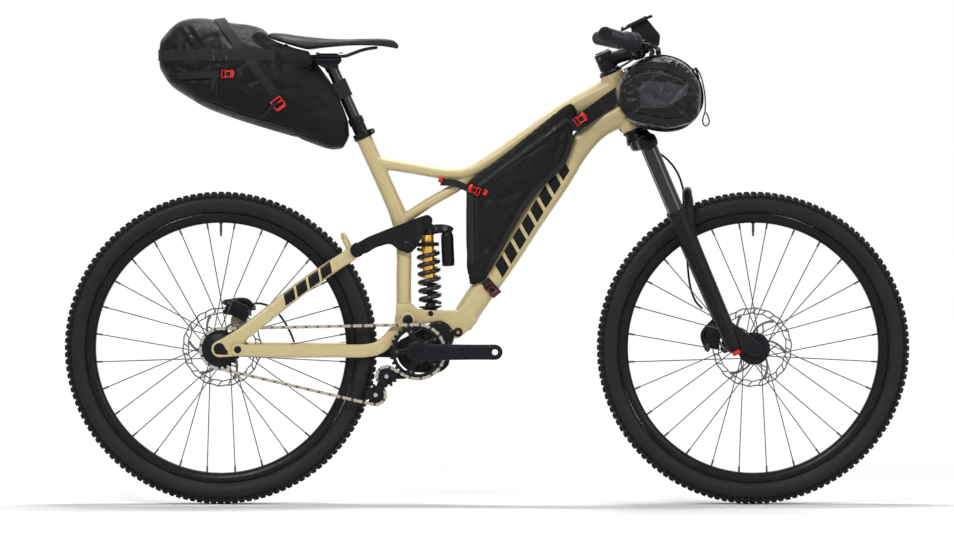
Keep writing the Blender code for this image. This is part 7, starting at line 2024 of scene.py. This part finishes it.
def skinRows(tree, xh, side):
    # y of the skin at each point of a grid of (x, h), nan where there is none
    hits = [[meeting(tree, x, h, side)[0] for x, h in row] for row in xh]
    return np.array([[hit.y if hit else np.nan for hit in row] for row in hits])


def webShape(grid, thick, normal):
    # strip of (n, m, 3) centre points thickened both ways along its normals into one closed shell
    top, low = grid + normal * thick / 2, grid - normal * thick / 2
    return gridShape(np.concatenate([top, low[:, ::-1]], axis=1))


def webPiece(name, grids, body, material=strapWeb, width=0.02):
    # one piece of webbing from several strips; its UV map runs in metres along and across each
    shapes, uvs = [], []
    for grid, normal in grids:
        n, m = grid.shape[:2]
        run = runOf(grid[:, m // 2])
        across = np.linspace(0, width, m)
        u = np.repeat(run[:, None], 2 * m, 1)
        v = np.tile(np.concatenate([across, across[::-1]]), (n, 1))
        shapes.append(webShape(grid, bags["webThick"], normal))
        uvs.append(np.stack([u.ravel(), v.ravel()], 1))
    piece = makePiece(name, shapes, material, body, (), angle=50, ride=False)
    uv = np.vstack(uvs)
    uvLayer = piece.data.uv_layers.new(name="UVMap")
    loops = np.empty(len(piece.data.loops), dtype=int)
    piece.data.loops.foreach_get("vertex_index", loops)
    uvLayer.data.foreach_set("uv", uv[loops].ravel())
    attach(piece, body)
    return piece


def flatLine(route, count):
    # evenly spaced points of a route of (x, h), smoothed where it has more than two
    flat = np.array([(x, h, 0) for x, h in route], float)
    return smoothRows(flat, count)[:, :2] if len(route) > 2 else np.linspace(flat[0], flat[-1], count)[:, :2]


def webNormal(grid, outward):
    # unit normals of a strip, all turned to the outward side, which is a function of them
    normal = unit(np.cross(unit(np.gradient(grid, axis=0)), unit(np.gradient(grid, axis=1))))
    return normal * np.sign(outward(normal))


def laidStrap(tree, route, width, side=-1, count=40, lift=bags["webLift"]):
    # strip laid on a skin along a route of (x, h), each row square to the route
    line = flatLine(route, count)
    d = unit(np.gradient(line, axis=0))
    n = np.stack([-d[:, 1], d[:, 0]], 1)
    xh = line[:, None] + n[:, None] * np.linspace(-width / 2, width / 2, 5)[None, :, None]
    y = skinRows(tree, xh, side)
    for k in range(count):
        row = y[k]
        if np.isnan(row).all():
            row[:] = y[k - 1] if k else 0
        else:
            row[np.isnan(row)] = np.nanmean(row)
    outer = y.min(1, keepdims=True) if side < 0 else y.max(1, keepdims=True)
    y = np.apply_along_axis(runningMean, 0, 0.45 * y + 0.55 * outer, 3)
    grid = np.stack([xh[..., 0], y + side * lift, bike["axleHeight"] + xh[..., 1]], -1)
    return grid, webNormal(grid, lambda normal: normal[..., 1:2] * side)


def releaseBuckle(centre, along, across, out, size=0.02):
    # side-release buckle: a red domed half with its arms, a red slotted bar, and the strap's dark fold between them
    s = size
    axes = np.stack([unit(along), unit(across), unit(out)])
    c = np.asarray(centre, float)
    place = lambda a, b, z: c + axes[0] * a + axes[1] * b + axes[2] * z

    def slab(outline, layers):
        rings = []
        for z, e in layers:
            flat = inset(np.asarray(outline, float) * s, e * s)
            rings.append(c + flat[:, :1] * axes[0] + flat[:, 1:] * axes[1] + z * s * axes[2])
        return gridShape(np.stack(rings))

    turn = np.radians(np.linspace(-90, 90, 13))
    dome = np.vstack([np.stack([0.42 + 0.4 * np.cos(turn), 0.62 * np.sin(turn)], 1),
                      [(0.3, 0.6), (0.22, 0.3), (0.22, -0.3), (0.3, -0.6)]])
    shapes = [slab(dome, ((-0.14, 0.03), (-0.1, 0.0), (0.1, 0.0), (0.2, 0.06), (0.24, 0.16)))]
    fold = rounded([(-0.5, -0.42), (0.34, -0.4), (0.34, 0.4), (-0.5, 0.42)], 0.08, 4)
    shapes.append(marked(slab(fold, ((-0.12, 0.02), (-0.09, 0.0), (0.04, 0.0), (0.08, 0.03))), 2))
    for b in (-0.34, 0.34):
        arm = [(*place(-0.4 * s, b * s, 0.06 * s), 0.055 * s, 0.07 * s),
               (*place(0.0, b * 1.18 * s, 0.09 * s), 0.06 * s, 0.08 * s),
               (*place(0.34 * s, b * 1.25 * s, 0.08 * s), 0.06 * s, 0.08 * s)]
        shapes.append(sweep(smoothRows(arm, 10), axes[1], 8, 2.6))
    for a, half in ((-0.42, 0.62), (-0.88, 0.56)):
        bar = rounded([(a - 0.09, -half), (a + 0.09, -half), (a + 0.09, half), (a - 0.09, half)], 0.06, 4)
        shapes.append(slab(bar, ((-0.12, 0.02), (-0.08, 0.0), (0.1, 0.0), (0.15, 0.03))))
    for b in (-0.5, 0.5):
        bar = rounded([(-0.9, b - 0.07), (-0.4, b - 0.07), (-0.4, b + 0.07), (-0.9, b + 0.07)], 0.05, 4)
        shapes.append(slab(bar, ((-0.11, 0.02), (-0.08, 0.0), (0.08, 0.0), (0.12, 0.03))))
    return shapes


def seatBagShapes():
    stations = np.array(mm((-307, 474.5, -322.5, 445, 30), (-313, 522, -356, 445, 45), (-347, 593, -419, 472, 56),
                           (-396, 647, -470, 488.5, 68), (-458, 666.5, -533, 505.5, 78),
                           (-515, 716, -582, 520.5, 84), (-576, 724, -629, 538, 84), (-640, 738, -670, 562, 81),
                           (-692, 729, -708, 588, 68), (-732, 688, -733, 626, 46)))
    high, low = layer(stations[:, :2], 0), layer(stations[:, 2:4], 0)
    rows = smoothRows(np.hstack([(high + low) / 2, high - low, stations[:, 4:]]), 60)
    middle, span, half = rows[:, :3], rows[:, 3:6] / 2, rows[:, 6]
    u, v = superellipse(64, 2.7)
    grid = middle[:, None] + sideways * (half[:, None] * u)[..., None] + span[:, None] * v[:, None]
    # a shoulder on each side rises past the rails to the underside of the saddle
    shoulder = rounded(mm((-520, 708), (-506, 715), (-491.5, 707), (-488.5, 703), (-472.6, 694), (-448.5, 687),
                          (-425, 679), (-403, 674), (-394, 659), (-384, 638), (-420, 620), (-480, 630),
                          (-530, 670)), 0.006, 4)
    return [gridShape(grid), plateShape(shoulder, 0.041, 0.065, 0.004), plateShape(shoulder, -0.065, -0.041, 0.004)]


def underSaddle(points):
    # cloth under the saddle stays below the saddle's lower edge
    edge = np.interp(points[:, 0], [-0.49, -0.4875, -0.4726, -0.455, -0.425, -0.4, -0.38],
                     [0.8, 0.695, 0.686, 0.6795, 0.6698, 0.6643, 0.66])
    high = np.where(points[:, 0] < -0.49, 9, bike["axleHeight"] + edge)
    return np.stack([points[:, 0], points[:, 1], np.minimum(points[:, 2], high)], 1)


def joined(*groups):
    return np.vstack([np.atleast_2d(np.asarray(g, float)) for g in groups])


seatCreases = joined(mm((-690, 715, -650, 660, 6, 3), (-672, 722, -630, 668, 5, 3), (-716, 690, -676, 640, 5, 2.5),
                        (-655, 715, -628, 672, 4, -2), (-720, 640, -664, 622, 4.5, 3), (-715, 612, -655, 600, 4, 3),
                        (-710, 650, -640, 648, 4, 2.8), (-722, 598, -610, 600, 3.5, 3.5),
                        (-605, 705, -600, 655, 6, 3), (-590, 695, -588, 640, 4, -2),
                        (-640, 600, -600, 566, 5, -2.6), (-625, 575, -596, 545, 4, 2.6),
                        (-608, 640, -604, 560, 3, 3), (-560, 600, -530, 575, 6, 2.4),
                        (-545, 588, -500, 602, 5, 2.4), (-500, 660, -470, 610, 6, 2.6),
                        (-470, 655, -430, 575, 6, 2), (-390, 580, -360, 520, 7, 1.8)),
                     scattered(seed=3, count=26, box=(-0.715, -0.59, 0.56, 0.72), length=0.045, width=0.0035,
                               depth=0.0022, lean=60, spread=35),
                     scattered(seed=5, count=30, box=(-0.59, -0.36, 0.48, 0.68), length=0.07, width=0.006,
                               depth=0.0015, lean=20, spread=50))
lowRod = clearOfRod(post(0), post(1) - post(0), 0.0245, (-9, 0.09))
highRod = clearOfRod(post(0), post(1) - post(0), 0.017)
seatShell = bagShell("seatBagShell", seatBagShapes(), bagCloth, "seatpost", bags["seatCap"], seatCreases,
                     fit=lambda p: underSaddle(highRod(lowRod(p))))
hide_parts("seat_bag")


def frameBagShapes():
    core = mm((-43, 176), (-36, 160), (-26, 156), (20, 228), (92, 338), (155, 422), (178, 460), (184, 500),
              (168, 503), (142, 487), (78, 440), (14, 395), (-34, 370), (-44, 361))
    panel = mm((-46.5, 177), (-38.5, 137.5), (-3, 149), (20, 198), (52, 263), (90, 325), (128, 365), (159, 393),
               (177, 423), (193, 476), (204, 528), (190, 552), (163, 537), (104, 489), (52, 446.5), (8, 412),
               (-28, 386.5), (-48, 370))
    return rounded(core, 0.01, 5), rounded(panel, 0.012, 5)


def frameBagPanel(outline, low, high, crown):
    # panel whose outer face rises to a crown: rings shrink towards the middle as the height follows 1 - r^2.6
    centre = outline.mean(0)
    side = math.copysign(1, high)
    rings = [(scale, low) for scale in (0.06, 0.5, 1.0)]
    rings += [(scale, high + side * crown * (0.25 - scale ** 2.6))
              for scale in (1.0, 0.985, 0.95, 0.88, 0.76, 0.6, 0.4, 0.2, 0.06)]
    return gridShape(np.stack([layer(centre + (outline - centre) * scale, y) for scale, y in rings]))


def frameBag():
    core, panel = frameBagShapes()
    shapes = [plateShape(core, -0.0352, 0.0352, 0.002), frameBagPanel(panel, -0.0318, -0.0372, 0.0034),
              frameBagPanel(panel, 0.0318, 0.0372, 0.0034)]
    piece = makePiece("frameBagShell", shapes, bagCloth, "frame", (), ride=False)
    fused(piece, bags["frameVoxel"], 3)
    swollen(piece, bags["frameCap"] * 0.4)
    creases = joined(mm((-10, 372, 150, 470, 2.2, 1.6), (30, 340, 150, 455, 6, -1.4),
                        (-22, 330, -26, 180, 3.5, -1.6), (-10, 330, -12, 200, 3, 1.4), (75, 345, 10, 225, 6, -1.2),
                        (60, 300, 125, 400, 5, 1.2), (150, 420, 172, 500, 5, 1.4), (20, 330, 90, 360, 8, 1)),
                     scattered(seed=11, count=34, box=(-0.03, 0.18, 0.18, 0.52), length=0.06, width=0.0055,
                               depth=0.0011, lean=55, spread=30))
    creased(piece, creases, 0.0022)
    points = coordsOf(piece)
    moveTo(piece, np.stack([points[:, 0], np.clip(points[:, 1], -0.0398, 0.0398), points[:, 2]], 1))
    oneLook(piece, bagCloth)
    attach(piece, "frame")
    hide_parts("frame_bag")
    return piece


frameShell = frameBag()


def barBagShapes():
    outline = np.array(mm((288.5, 546), (288.5, 576), (296, 604), (319, 632), (348, 642), (382, 648), (407, 651),
                          (443, 632), (467, 600), (475, 569), (470, 522), (460, 507), (434, 497), (405, 491),
                          (361, 498), (311, 510)))
    closed = smoothRows(np.hstack([outline, np.zeros((len(outline), 1))]), 96, True)[:, :2]
    centre = np.array((0.38, 0.572))
    stations = [(-1.0, 0.1), (-0.992, 0.55), (-0.975, 0.78), (-0.94, 0.915), (-0.88, 0.975), (-0.5, 1.0), (0, 1.0),
                (0.5, 1.0), (0.88, 0.975), (0.94, 0.915), (0.975, 0.78), (0.992, 0.55), (1.0, 0.1)]
    rows = []
    for y, scale in stations:
        rows.append(layer(centre + (closed - centre) * scale, y * 0.2125))
    return [gridShape(np.stack(rows))]


def fitBar(points):
    # points inside the room of the steering axis go straight ahead until they clear it
    off = points - steer(0)
    a, y = off @ steerAhead, off[:, 1]
    room = 0.046
    want = np.sqrt(np.clip(room ** 2 - y ** 2, 0, None))
    push = np.where((np.abs(y) < room) & (a < want), want - a, 0)
    return points + steerAhead * push[:, None]


def radial(centre, count, near, far, width, depth):
    # pleats that run in to the drawn end, every other one a ridge
    a = circle(count) + 0.1 * np.sin(np.arange(count) * 2.3)
    c, s = np.cos(a), np.sin(a)
    sign = np.where(np.arange(count) % 2, -0.8, 1.0)
    return np.stack([centre[0] + near * c, centre[1] + near * s, centre[0] + far * c, centre[1] + far * s,
                     np.full(count, width), depth * sign], 1)


barCreases = joined(mm((345, 575, 395, 545, 4, 2.5), (345, 560, 385, 520, 5, -2.2), (395, 545, 440, 590, 5, 2.6),
                       (430, 560, 448, 520, 4, 2.8), (440, 600, 462, 560, 4, -2.6), (330, 560, 318, 520, 5, 2.4),
                       (425, 628, 445, 585, 3, 3), (410, 625, 418, 595, 2.8, 3), (450, 540, 462, 515, 3, 2.6)),
                    scattered(seed=21, count=60, box=(0.3, 0.47, 0.5, 0.64), length=0.04, width=0.003, depth=0.0026,
                              lean=70, spread=45),
                    radial((0.388, 0.572), count=34, near=0.046, far=0.09, width=0.003, depth=0.003))
barShell = bagShell("barBagShell", barBagShapes(), bagGloss, "steering", bags["barCap"], barCreases, smooth=3,
                    fit=fitBar)
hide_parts("bar_bag")
print("bag shells filled and creased")


# Trims: webbing loops, buckles, seams, zip, harness, and the plain blocks on the tubes

def onSkin(tree, x, h, side=-1):
    # point of the skin and its normal, turned outwards
    hit = meeting(tree, x, h, side)
    if not hit[0]:
        return at(x, h), np.array((0, side, 0.0))
    normal = np.array(hit[1])
    return np.array(hit[0]), normal * math.copysign(1, normal[1] * side)


def loopStrap(tree, centre, u, v, width, start, end, count=60, columns=5, lift=bags["webLift"]):
    # strip round a skin: rays cos(a) u + sin(a) v come in towards the centre, one row for each angle
    u, v = unit(u), unit(v)
    w = unit(np.cross(u, v))
    a = np.radians(np.linspace(start, end, count))
    rays = np.cos(a)[:, None] * u + np.sin(a)[:, None] * v
    reach = np.full((count, columns), np.nan)
    offsets = np.linspace(-width / 2, width / 2, columns)
    for i in range(count):
        for j in range(columns):
            origin = centre + w * offsets[j]
            hit = tree.ray_cast(Vector(origin + rays[i] * 0.6), Vector(-rays[i]))
            if hit[0]:
                reach[i, j] = (np.array(hit[0]) - origin) @ rays[i]
    for i in range(count):
        good = ~np.isnan(reach[i])
        reach[i] = reach[i, good].mean() if good.any() and not good.all() else reach[i]
        if not good.any():
            reach[i] = reach[i - 1] if i else 0.05
    reach = 0.55 * reach + 0.45 * reach.max(1, keepdims=True)
    reach = np.apply_along_axis(runningMean, 0, reach, 3) + lift
    grid = centre + w * offsets[None, :, None] + rays[:, None] * reach[..., None]
    return grid, webNormal(grid, lambda normal: (normal * rays[:, None]).sum(-1, keepdims=True))


def seamShape(tree, route, radius=0.0011, side=-1, count=40):
    # piping or a seam's raised edge laid on the skin
    hits = [onSkin(tree, x, h, side) for x, h in flatLine(route, count)]
    return sweep([(*(p + n * radius * 0.35), radius, radius * 0.8) for p, n in hits], (0, 1, 0), 8)


def stitchShapes(tree, route, side=-1, gap=0.0042):
    # row of separate stitches along a route
    length, radius = 0.0024, 0.00045
    line = flatLine(route, 400)
    run = runOf(line)
    shapes = []
    for s in np.arange(0.002, run[-1] - 0.002, gap):
        ends = []
        for t in (s, s + length):
            x, h = np.interp(t, run, line[:, 0]), np.interp(t, run, line[:, 1])
            p, n = onSkin(tree, x, h, side)
            ends.append(p + n * 0.0002)
        shapes.append(rodShape(ends[0], ends[1], radius, 5))
    return shapes


def settingOn(tree, x, h, heading, side, lift):
    # centre and axes (along, across, out) of a fitting that lies on the skin
    p, n = onSkin(tree, x, h, side)
    n = unit(n * (0.5, 1.0, 0.5))
    along = np.array((math.cos(heading), 0, math.sin(heading)))
    along = unit(along - n * (along @ n))
    return p + n * lift, along, np.cross(n, along), n


def buckleOn(tree, x, h, heading, side, size):
    return releaseBuckle(*settingOn(tree, x, h, heading, side, 0.0035), size)


def ladderShapes(tree, x, h, heading, side=-1, size=0.024):
    # ladder lock: a slotted plate with two cross bars and a raised thumb lip
    c, along, across, n = settingOn(tree, x, h, heading, side, 0.003)
    s = size
    axes = [along, across, n]
    shapes = []
    for a in (-0.45, -0.05, 0.42):
        shapes.append(boxShape(c + along * a * s, (0.16 * s, 1.05 * s, 0.13 * s), axes, 0.0006))
    for b in (-0.5, 0.5):
        shapes.append(boxShape(c + across * b * s, (1.06 * s, 0.12 * s, 0.15 * s), axes, 0.0006))
    shapes.append(boxShape(c + along * 0.56 * s + n * 0.0014, (0.16 * s, 0.9 * s, 0.16 * s), axes, 0.0008))
    return shapes


seatBagSeams = [
    (mm((-709, 601), (-665, 598), (-609, 604)), 0.0012, 40),
    ([(-0.6026, 0.639), (-0.6035, 0.6), (-0.606, 0.556)], 0.0014, 40),
    (mm((-605, 715), (-598.5, 690), (-599, 670)), 0.0012, 40),
    (mm((-625, 552), (-540, 520), (-440, 493), (-360, 464)), 0.0013, 70),
    (mm((-470, 648), (-430, 605), (-385, 540), (-348, 485)), 0.0011, 60),
]


def trimSeatBag():
    tree = surfaceTree(seatShell)
    # the diagonal strap goes over the top from one ladder lock to the other
    top, low = np.array((-0.5936, 0.73)), np.array((-0.47, 0.564))
    d = unit(low - top)
    middle = at(*(top + low) / 2)
    drop = np.array((d[0], 0, d[1]))
    half = np.linalg.norm(low - top) / 2
    edge = math.degrees(math.atan2(half, abs(onSkin(tree, *low)[0][1])))
    grids = [loopStrap(tree, middle, sideways, -drop, 0.02, -edge, 180 + edge, 110)]
    # the long band runs level round the tail
    grids.append(loopStrap(tree, at(-0.585, 0.655), sideways, (-1, 0, 0), 0.025, -58, 238, 150))
    for side in (-1, 1):
        grids += [laidStrap(tree, [(-0.69, 0.6085), (-0.64, 0.611), (-0.596, 0.6125)], 0.016, side, 26),
                  laidStrap(tree, [(-0.556, 0.613), (-0.545, 0.613)], 0.016, side, 6),
                  laidStrap(tree, mm((-468, 552), (-482, 536), (-498, 518)), 0.009, side, 16, lift=0.0042),
                  laidStrap(tree, mm((-604, 618), (-608, 600), (-612, 578)), 0.011, side, 16)]
    webPiece("seatBagWebbing", grids, "seatpost")
    hard, seams, threads = [], [], []
    for side in (-1, 1):
        hard += buckleOn(tree, -0.5757, 0.6127, 0.0, side, 0.0165)
        hard += ladderShapes(tree, -0.466, 0.548, math.atan2(d[1], d[0]), side, 0.024)
        for k in range(3):
            ends = [onSkin(tree, -0.609 + k * 0.0145, h, side)[0] + (0, side * 0.003, 0) for h in (0.668, 0.642)]
            hard.append(marked(rodShape(*ends, 0.001, 8), 1))
        for route, radius, count in seatBagSeams:
            seams.append(seamShape(tree, route, radius, side, count))
        threads += stitchShapes(tree, [(-0.6006, 0.637), (-0.6014, 0.6), (-0.604, 0.557)], side)
        threads += stitchShapes(tree, mm((-620, 557), (-540, 525), (-440, 498), (-365, 470)), side)
    makePiece("seatBagBuckles", hard, [redAlloy, mutedThread, mattPlastic], "seatpost", ())
    makePiece("seatBagPiping", seams, bagGloss, "seatpost", ())
    makePiece("seatBagStitches", threads, mutedThread, "seatpost", ())
    # post strap: hook-and-loop band round the seat post with its free tail
    foot, wide, ahead = post(0.112), unit(post(1) - post(0)), unit(post(0, 1) - post(0))
    turn = circle(56)
    reach = np.where(np.cos(turn) > -0.7, 0.0167, 0.0164)[:, None]
    path = foot + ahead * reach * np.cos(turn)[:, None] + sideways * reach * np.sin(turn)[:, None]
    grid = path[:, None] + wide * np.linspace(-0.0205, 0.0205, 5)[None, :, None]
    normal = unit(path - foot - wide * ((path - foot) @ wide)[:, None])[:, None] * np.ones((1, 5, 1))
    closed = np.concatenate([grid, grid[:1]]), np.concatenate([normal, normal[:1]])
    tail = []
    for side in (-1, 1):
        line = [post(0.112, x, side * y) for x,
                y in ((-0.002, 0.0178), (-0.014, 0.0182), (-0.03, 0.0192), (-0.044, 0.0215))]
        line = smoothRows(line, 14)
        tail.append((line[:, None] + wide * np.linspace(-0.0195, 0.0195, 5)[None, :, None],
                     np.broadcast_to(sideways * side, (14, 5, 3))))
    webPiece("seatPostStrap", [closed] + tail, "seatpost", width=0.03)


trimSeatBag()
print("seat bag trimmed")


frameTree = surfaceTree(bpy.data.objects["frameSkin"])


def edgeStrap(path, side, count, lean, low, high, columns):
    # strip along rows of (x, h, y) on one side, its width from low to high along the lean
    line = smoothRows(placed(path, side), count)
    grid = line[:, None] + unit(lean) * np.linspace(low, high, columns)[None, :, None]
    normal = unit(np.cross(np.gradient(grid, axis=0), np.gradient(grid, axis=1)))
    return grid, normal * math.copysign(1, normal[8, columns // 2, 1] * side)


frameBagRoutes = {
    "zip": mm((-20, 364), (29, 401), (95, 450), (154.6, 494), (178, 513)),
    "lower": mm((0, 172), (26, 217), (58, 277), (96, 338), (133, 377), (162, 405), (178, 433), (190, 478)),
    "rear": mm((-35, 190), (-36, 270), (-37, 348)),
    "stitches": mm((-22.5, 185), (-23.5, 260), (-24.5, 345)),
    "foot": [(-0.0045, 0.1515), (0.0075, 0.1375), (0.0235, 0.1185)],
    "upperStrap": mm((185, 502, 38.5), (196, 505, 40.5), (214, 516, 38.5), (240, 534.5, 29), (264, 552.5, 26.2),
                     (292, 572, 26.2), (306, 582, 24), (317, 589.3, 14), (321.2, 592.2, 0)),
    "rearStrap": mm((-20, 347, 39.5), (-32, 353, 40), (-47, 359.5, 37.5), (-62, 366, 28.5), (-76, 370, 23.5),
                    (-92, 371.2, 21.5), (-100, 371.5, 15), (-103, 371.5, 0)),
}
frameBagSeams = [
    (mm((-25, 175), (-26, 260), (-27, 354)), 0.0009, 50),
    (mm((8, 197), (48, 272), (89, 340), (127, 382), (154, 410), (170, 440), (180, 480)), 0.0009, 70),
    (mm((-18, 350), (29, 386), (95, 435), (154.6, 479)), 0.0008, 60),
]


def trimFrameBag(shell):
    tree = surfaceTree(shell)
    route = frameBagRoutes
    grids, hard, seams, threads = [], [], [], []
    for side in (-1, 1):
        out = sideways * side
        # zip tape with its teeth, under the top tube
        grids.append(laidStrap(tree, route["zip"], 0.013, side, 60))
        line = flatLine(route["zip"], 96)
        for k in range(len(line) - 1):
            x, h = (line[k] + line[k + 1]) / 2
            t = unit(line[k + 1] - line[k])
            across = np.array((-t[1], 0, t[0]))
            spot = onSkin(tree, x, h, side)[0] + out * 0.0026 + across * (0.0009 if k % 2 else -0.0009)
            threads.append(boxShape(spot, (0.0015, 0.0026, 0.0012), [np.array((t[0], 0, t[1])), across, out],
                                    0.0003))
        # lower and rear border bands
        grids += [laidStrap(tree, route["lower"], 0.012, side, 80), laidStrap(tree, route["rear"], 0.014, side, 44)]
        for path, radius, count in frameBagSeams:
            seams.append(seamShape(tree, path, radius, side, count))
        threads += stitchShapes(tree, route["stitches"], side, 0.005)
        p = onSkin(tree, 0.15, 0.49, side)[0]
        for shift, size, c, s, edge in (((0, 0.004, 0), (0.011, 0.008, 0.0028), 0.8, 0.6, 0.001),
                                        ((-0.012, 0.0046, -0.0105), (0.018, 0.0042, 0.0016), 0.74, 0.67, 0.0007)):
            axes = [(c, 0, s), (-s, 0, c), (0, side, 0)]
            hard.append(marked(boxShape(p + np.array(shift) * (1, side, 1), size, axes, edge), 1))
    for side in (-1, 1):
        out = sideways * side
        # upper strap: from the bag's nose, through its buckle, round the tube under the head tube
        grids.append(edgeStrap(route["upperStrap"], side, 70, (-0.57, 0, 0.82), -0.0205, 0.012, 7))
        along = unit(np.array((0.82, 0, 0.57)))
        hard += releaseBuckle(at(0.2106, 0.513, side * 0.044), along, np.cross(out, along), out, 0.0175)
        # rear strap: up over the top tube, with its buckle at the bag's corner
        grids.append(edgeStrap(route["rearStrap"], side, 60, (0.2, 0, 0.98), -0.008, 0.0075, 5))
        axes = [(0.94, 0, -0.34), (0.34, 0, 0.94), (0, side, 0)]
        hard.append(boxShape(at(-0.1035, 0.3768, side * 0.0205), (0.01, 0.013, 0.005), axes, 0.0012))
        along = unit(np.array((-0.9, 0, 0.43)))
        axes = [along, np.cross(out, along), out]
        hard += releaseBuckle(at(-0.0302, 0.3545, side * 0.044), *axes, 0.016)
        hard.append(boxShape(at(-0.004, 0.3483, side * 0.041), (0.009, 0.014, 0.003), axes, 0.001))
        grids.append(laidStrap(frameTree, route["foot"], 0.022, side, 20))
        # the foot buckle's red parts take the darker red, which is painted shade
        buckle = buckleOn(frameTree, 0.01, 0.13, math.radians(-50), side, 0.0185)
        hard += [shape if len(shape) > 2 else marked(shape, 3) for shape in buckle]
    webPiece("frameBagWebbing", grids, "frame")
    makePiece("frameBagBuckles", hard, [redAlloy, darkSteel, mattPlastic, shadedRedAlloy], "frame", ())
    makePiece("frameBagPiping", seams, bagGloss, "frame", ())
    makePiece("frameBagZip", threads, mutedThread, "frame", ())


trimFrameBag(frameShell)
print("frame bag trimmed")


def trimBarBag(shell):
    tree = surfaceTree(shell)
    centre = at(0.388, 0.572)
    grids = []
    for y in (-0.118, 0.118):
        grids.append(loopStrap(tree, centre + (0, y, 0), (1, 0, 0), (0, 0, 1), 0.022, -128, 118, 90, lift=0.003))
    sheet = loopStrap(tree, centre, (1, 0, 0), (0, 0, 1), 0.3, -122, 112, 90, 25, lift=0.0014)
    ends = []
    for side in (-1, 1):
        ends += [laidStrap(tree, mm((312, 618), (348, 630), (400, 627), (448, 602)), 0.016, side, 34),
                 laidStrap(tree, mm((308, 522), (350, 514), (400, 506), (448, 512)), 0.014, side, 34)]
    webPiece("barBagWebbing", grids + ends, "steering")
    webPiece("barBagHarness", [sheet], "steering", bagCloth, 0.3)
    panel = []
    for side in (-1, 1):
        # end panel: 60 mm high at its rear edge, its lower side rising to a blunt point ahead
        grid, normal = np.zeros((44, 17, 3)), np.zeros((44, 17, 3))
        for i, u in enumerate(np.linspace(0, 1, 44)):
            low, high = 0.537 + 0.033 * max(0.0, u - 0.45) ** 1.3 / 0.46, 0.596 - 0.015 * u ** 3
            for j, v in enumerate(np.linspace(0, 1, 17)):
                p, n = onSkin(tree, 0.34 + 0.105 * u - 0.004 * math.sin(math.pi * v), low + (high - low) * v, side)
                grid[i, j], normal[i, j] = p + n * 0.0016, n
        panel.append((grid, normal))
    webPiece("barBagPanel", panel, "steering", slateCloth, 0.046)
    seams, hard = [], []
    for side in (-1, 1):
        seams += [seamShape(tree, mm((302, 518), (340, 506), (382, 499)), 0.0015, side, 40),
                  seamShape(tree, mm((308, 590), (335, 610), (380, 614), (430, 598)), 0.0012, side, 40)]
    makePiece("barBagPiping", seams, mutedThread, "steering", ())
    x, h = ray(math.radians(28)) * 0.1
    away = np.array((0.3, 0, 0.1))
    out, along = unit((1.0, 0, 0.35)), unit((-0.35, 0, 1.0))
    for y in (-0.118, 0.118):
        spot = centre + (x, y, h)
        hit = tree.ray_cast(Vector(spot + away), Vector(unit(-away)))
        p = np.array(hit[0]) if hit[0] else spot
        hard += releaseBuckle(p + out * 0.007, along, np.cross(out, along), out, 0.015)
    makePiece("barBagBuckles", hard, [mattPlastic] * 3, "steering", ())


trimBarBag(barShell)
print("bar bag trimmed")


def blockShapes(tree, start, end, width, count, lean, gap, shift=0.0):
    # leaning blocks along a line, each laid on the skin on both sides of the tube
    start, end = np.array(start), np.array(end)
    length = np.linalg.norm(end - start)
    t = (end - start) / length
    n = np.array((-t[1], t[0]))
    step = length / count
    shapes = []
    for k in range(count):
        for side in (-1, 1):
            u = np.linspace(k * step + gap / 2, (k + 1) * step - gap / 2, 8)
            v = np.linspace(-width / 2, width / 2, 7)
            xh = start + (u[:, None] + lean * v[None])[..., None] * t + (v + shift)[None, :, None] * n
            y = skinRows(tree, xh, side)
            if np.isnan(y).mean() > 0.4:
                continue
            y = np.where(np.isnan(y), side * np.nanmin(np.abs(y)), y)
            grid = np.stack([xh[..., 0], y + side * 0.0003, bike["axleHeight"] + xh[..., 1]], -1)
            shapes.append(webShape(grid, 0.0003, webNormal(grid, lambda normal: normal[..., 1:2] * side)))
    return shapes


blocks = blockShapes(frameTree, (0.03, 0.164), (0.185, 0.412), width=0.029, count=8, lean=0.55, gap=0.009,
                     shift=0.007)
makePiece("downTubeBlocks", blocks, blackPaint, "frame", ())
stayTree = surfaceTree(bpy.data.objects["seatstaySkin"])
blocks = blockShapes(stayTree, (-0.454, 0.107), (-0.346, 0.184), width=0.024, count=4, lean=0.45, gap=0.006)
makePiece("seatstayBlocks", blocks, blackPaint, "seatstay", ())
print("blocks laid")


# CAD nodes that keep their own shape take their finishes here
keptFinish = {
    "plastic": mattPlastic,
    "black": blackAlloy,
    "steel": boltSteel,
    "stanchion": darkStanchion,
    "grip": gripRubber,
    "chain": chainSteel,
    "gold": goldAlloy,
    "red": redAlloy,
    "saddle": saddleSkin,
    "sand": sandPaint,
    "fabric": bagCloth,
    "tread": tyreRubber,
    "spoke": spokeSteel,
}
for name, node in nodes.items():
    for slot in node.material_slots:
        base = slot.material.name.split(".")[0] if slot.material else ""
        if base in keptFinish:
            slot.material = keptFinish[base]

bpy.context.scene.view_settings.view_transform = "Standard"
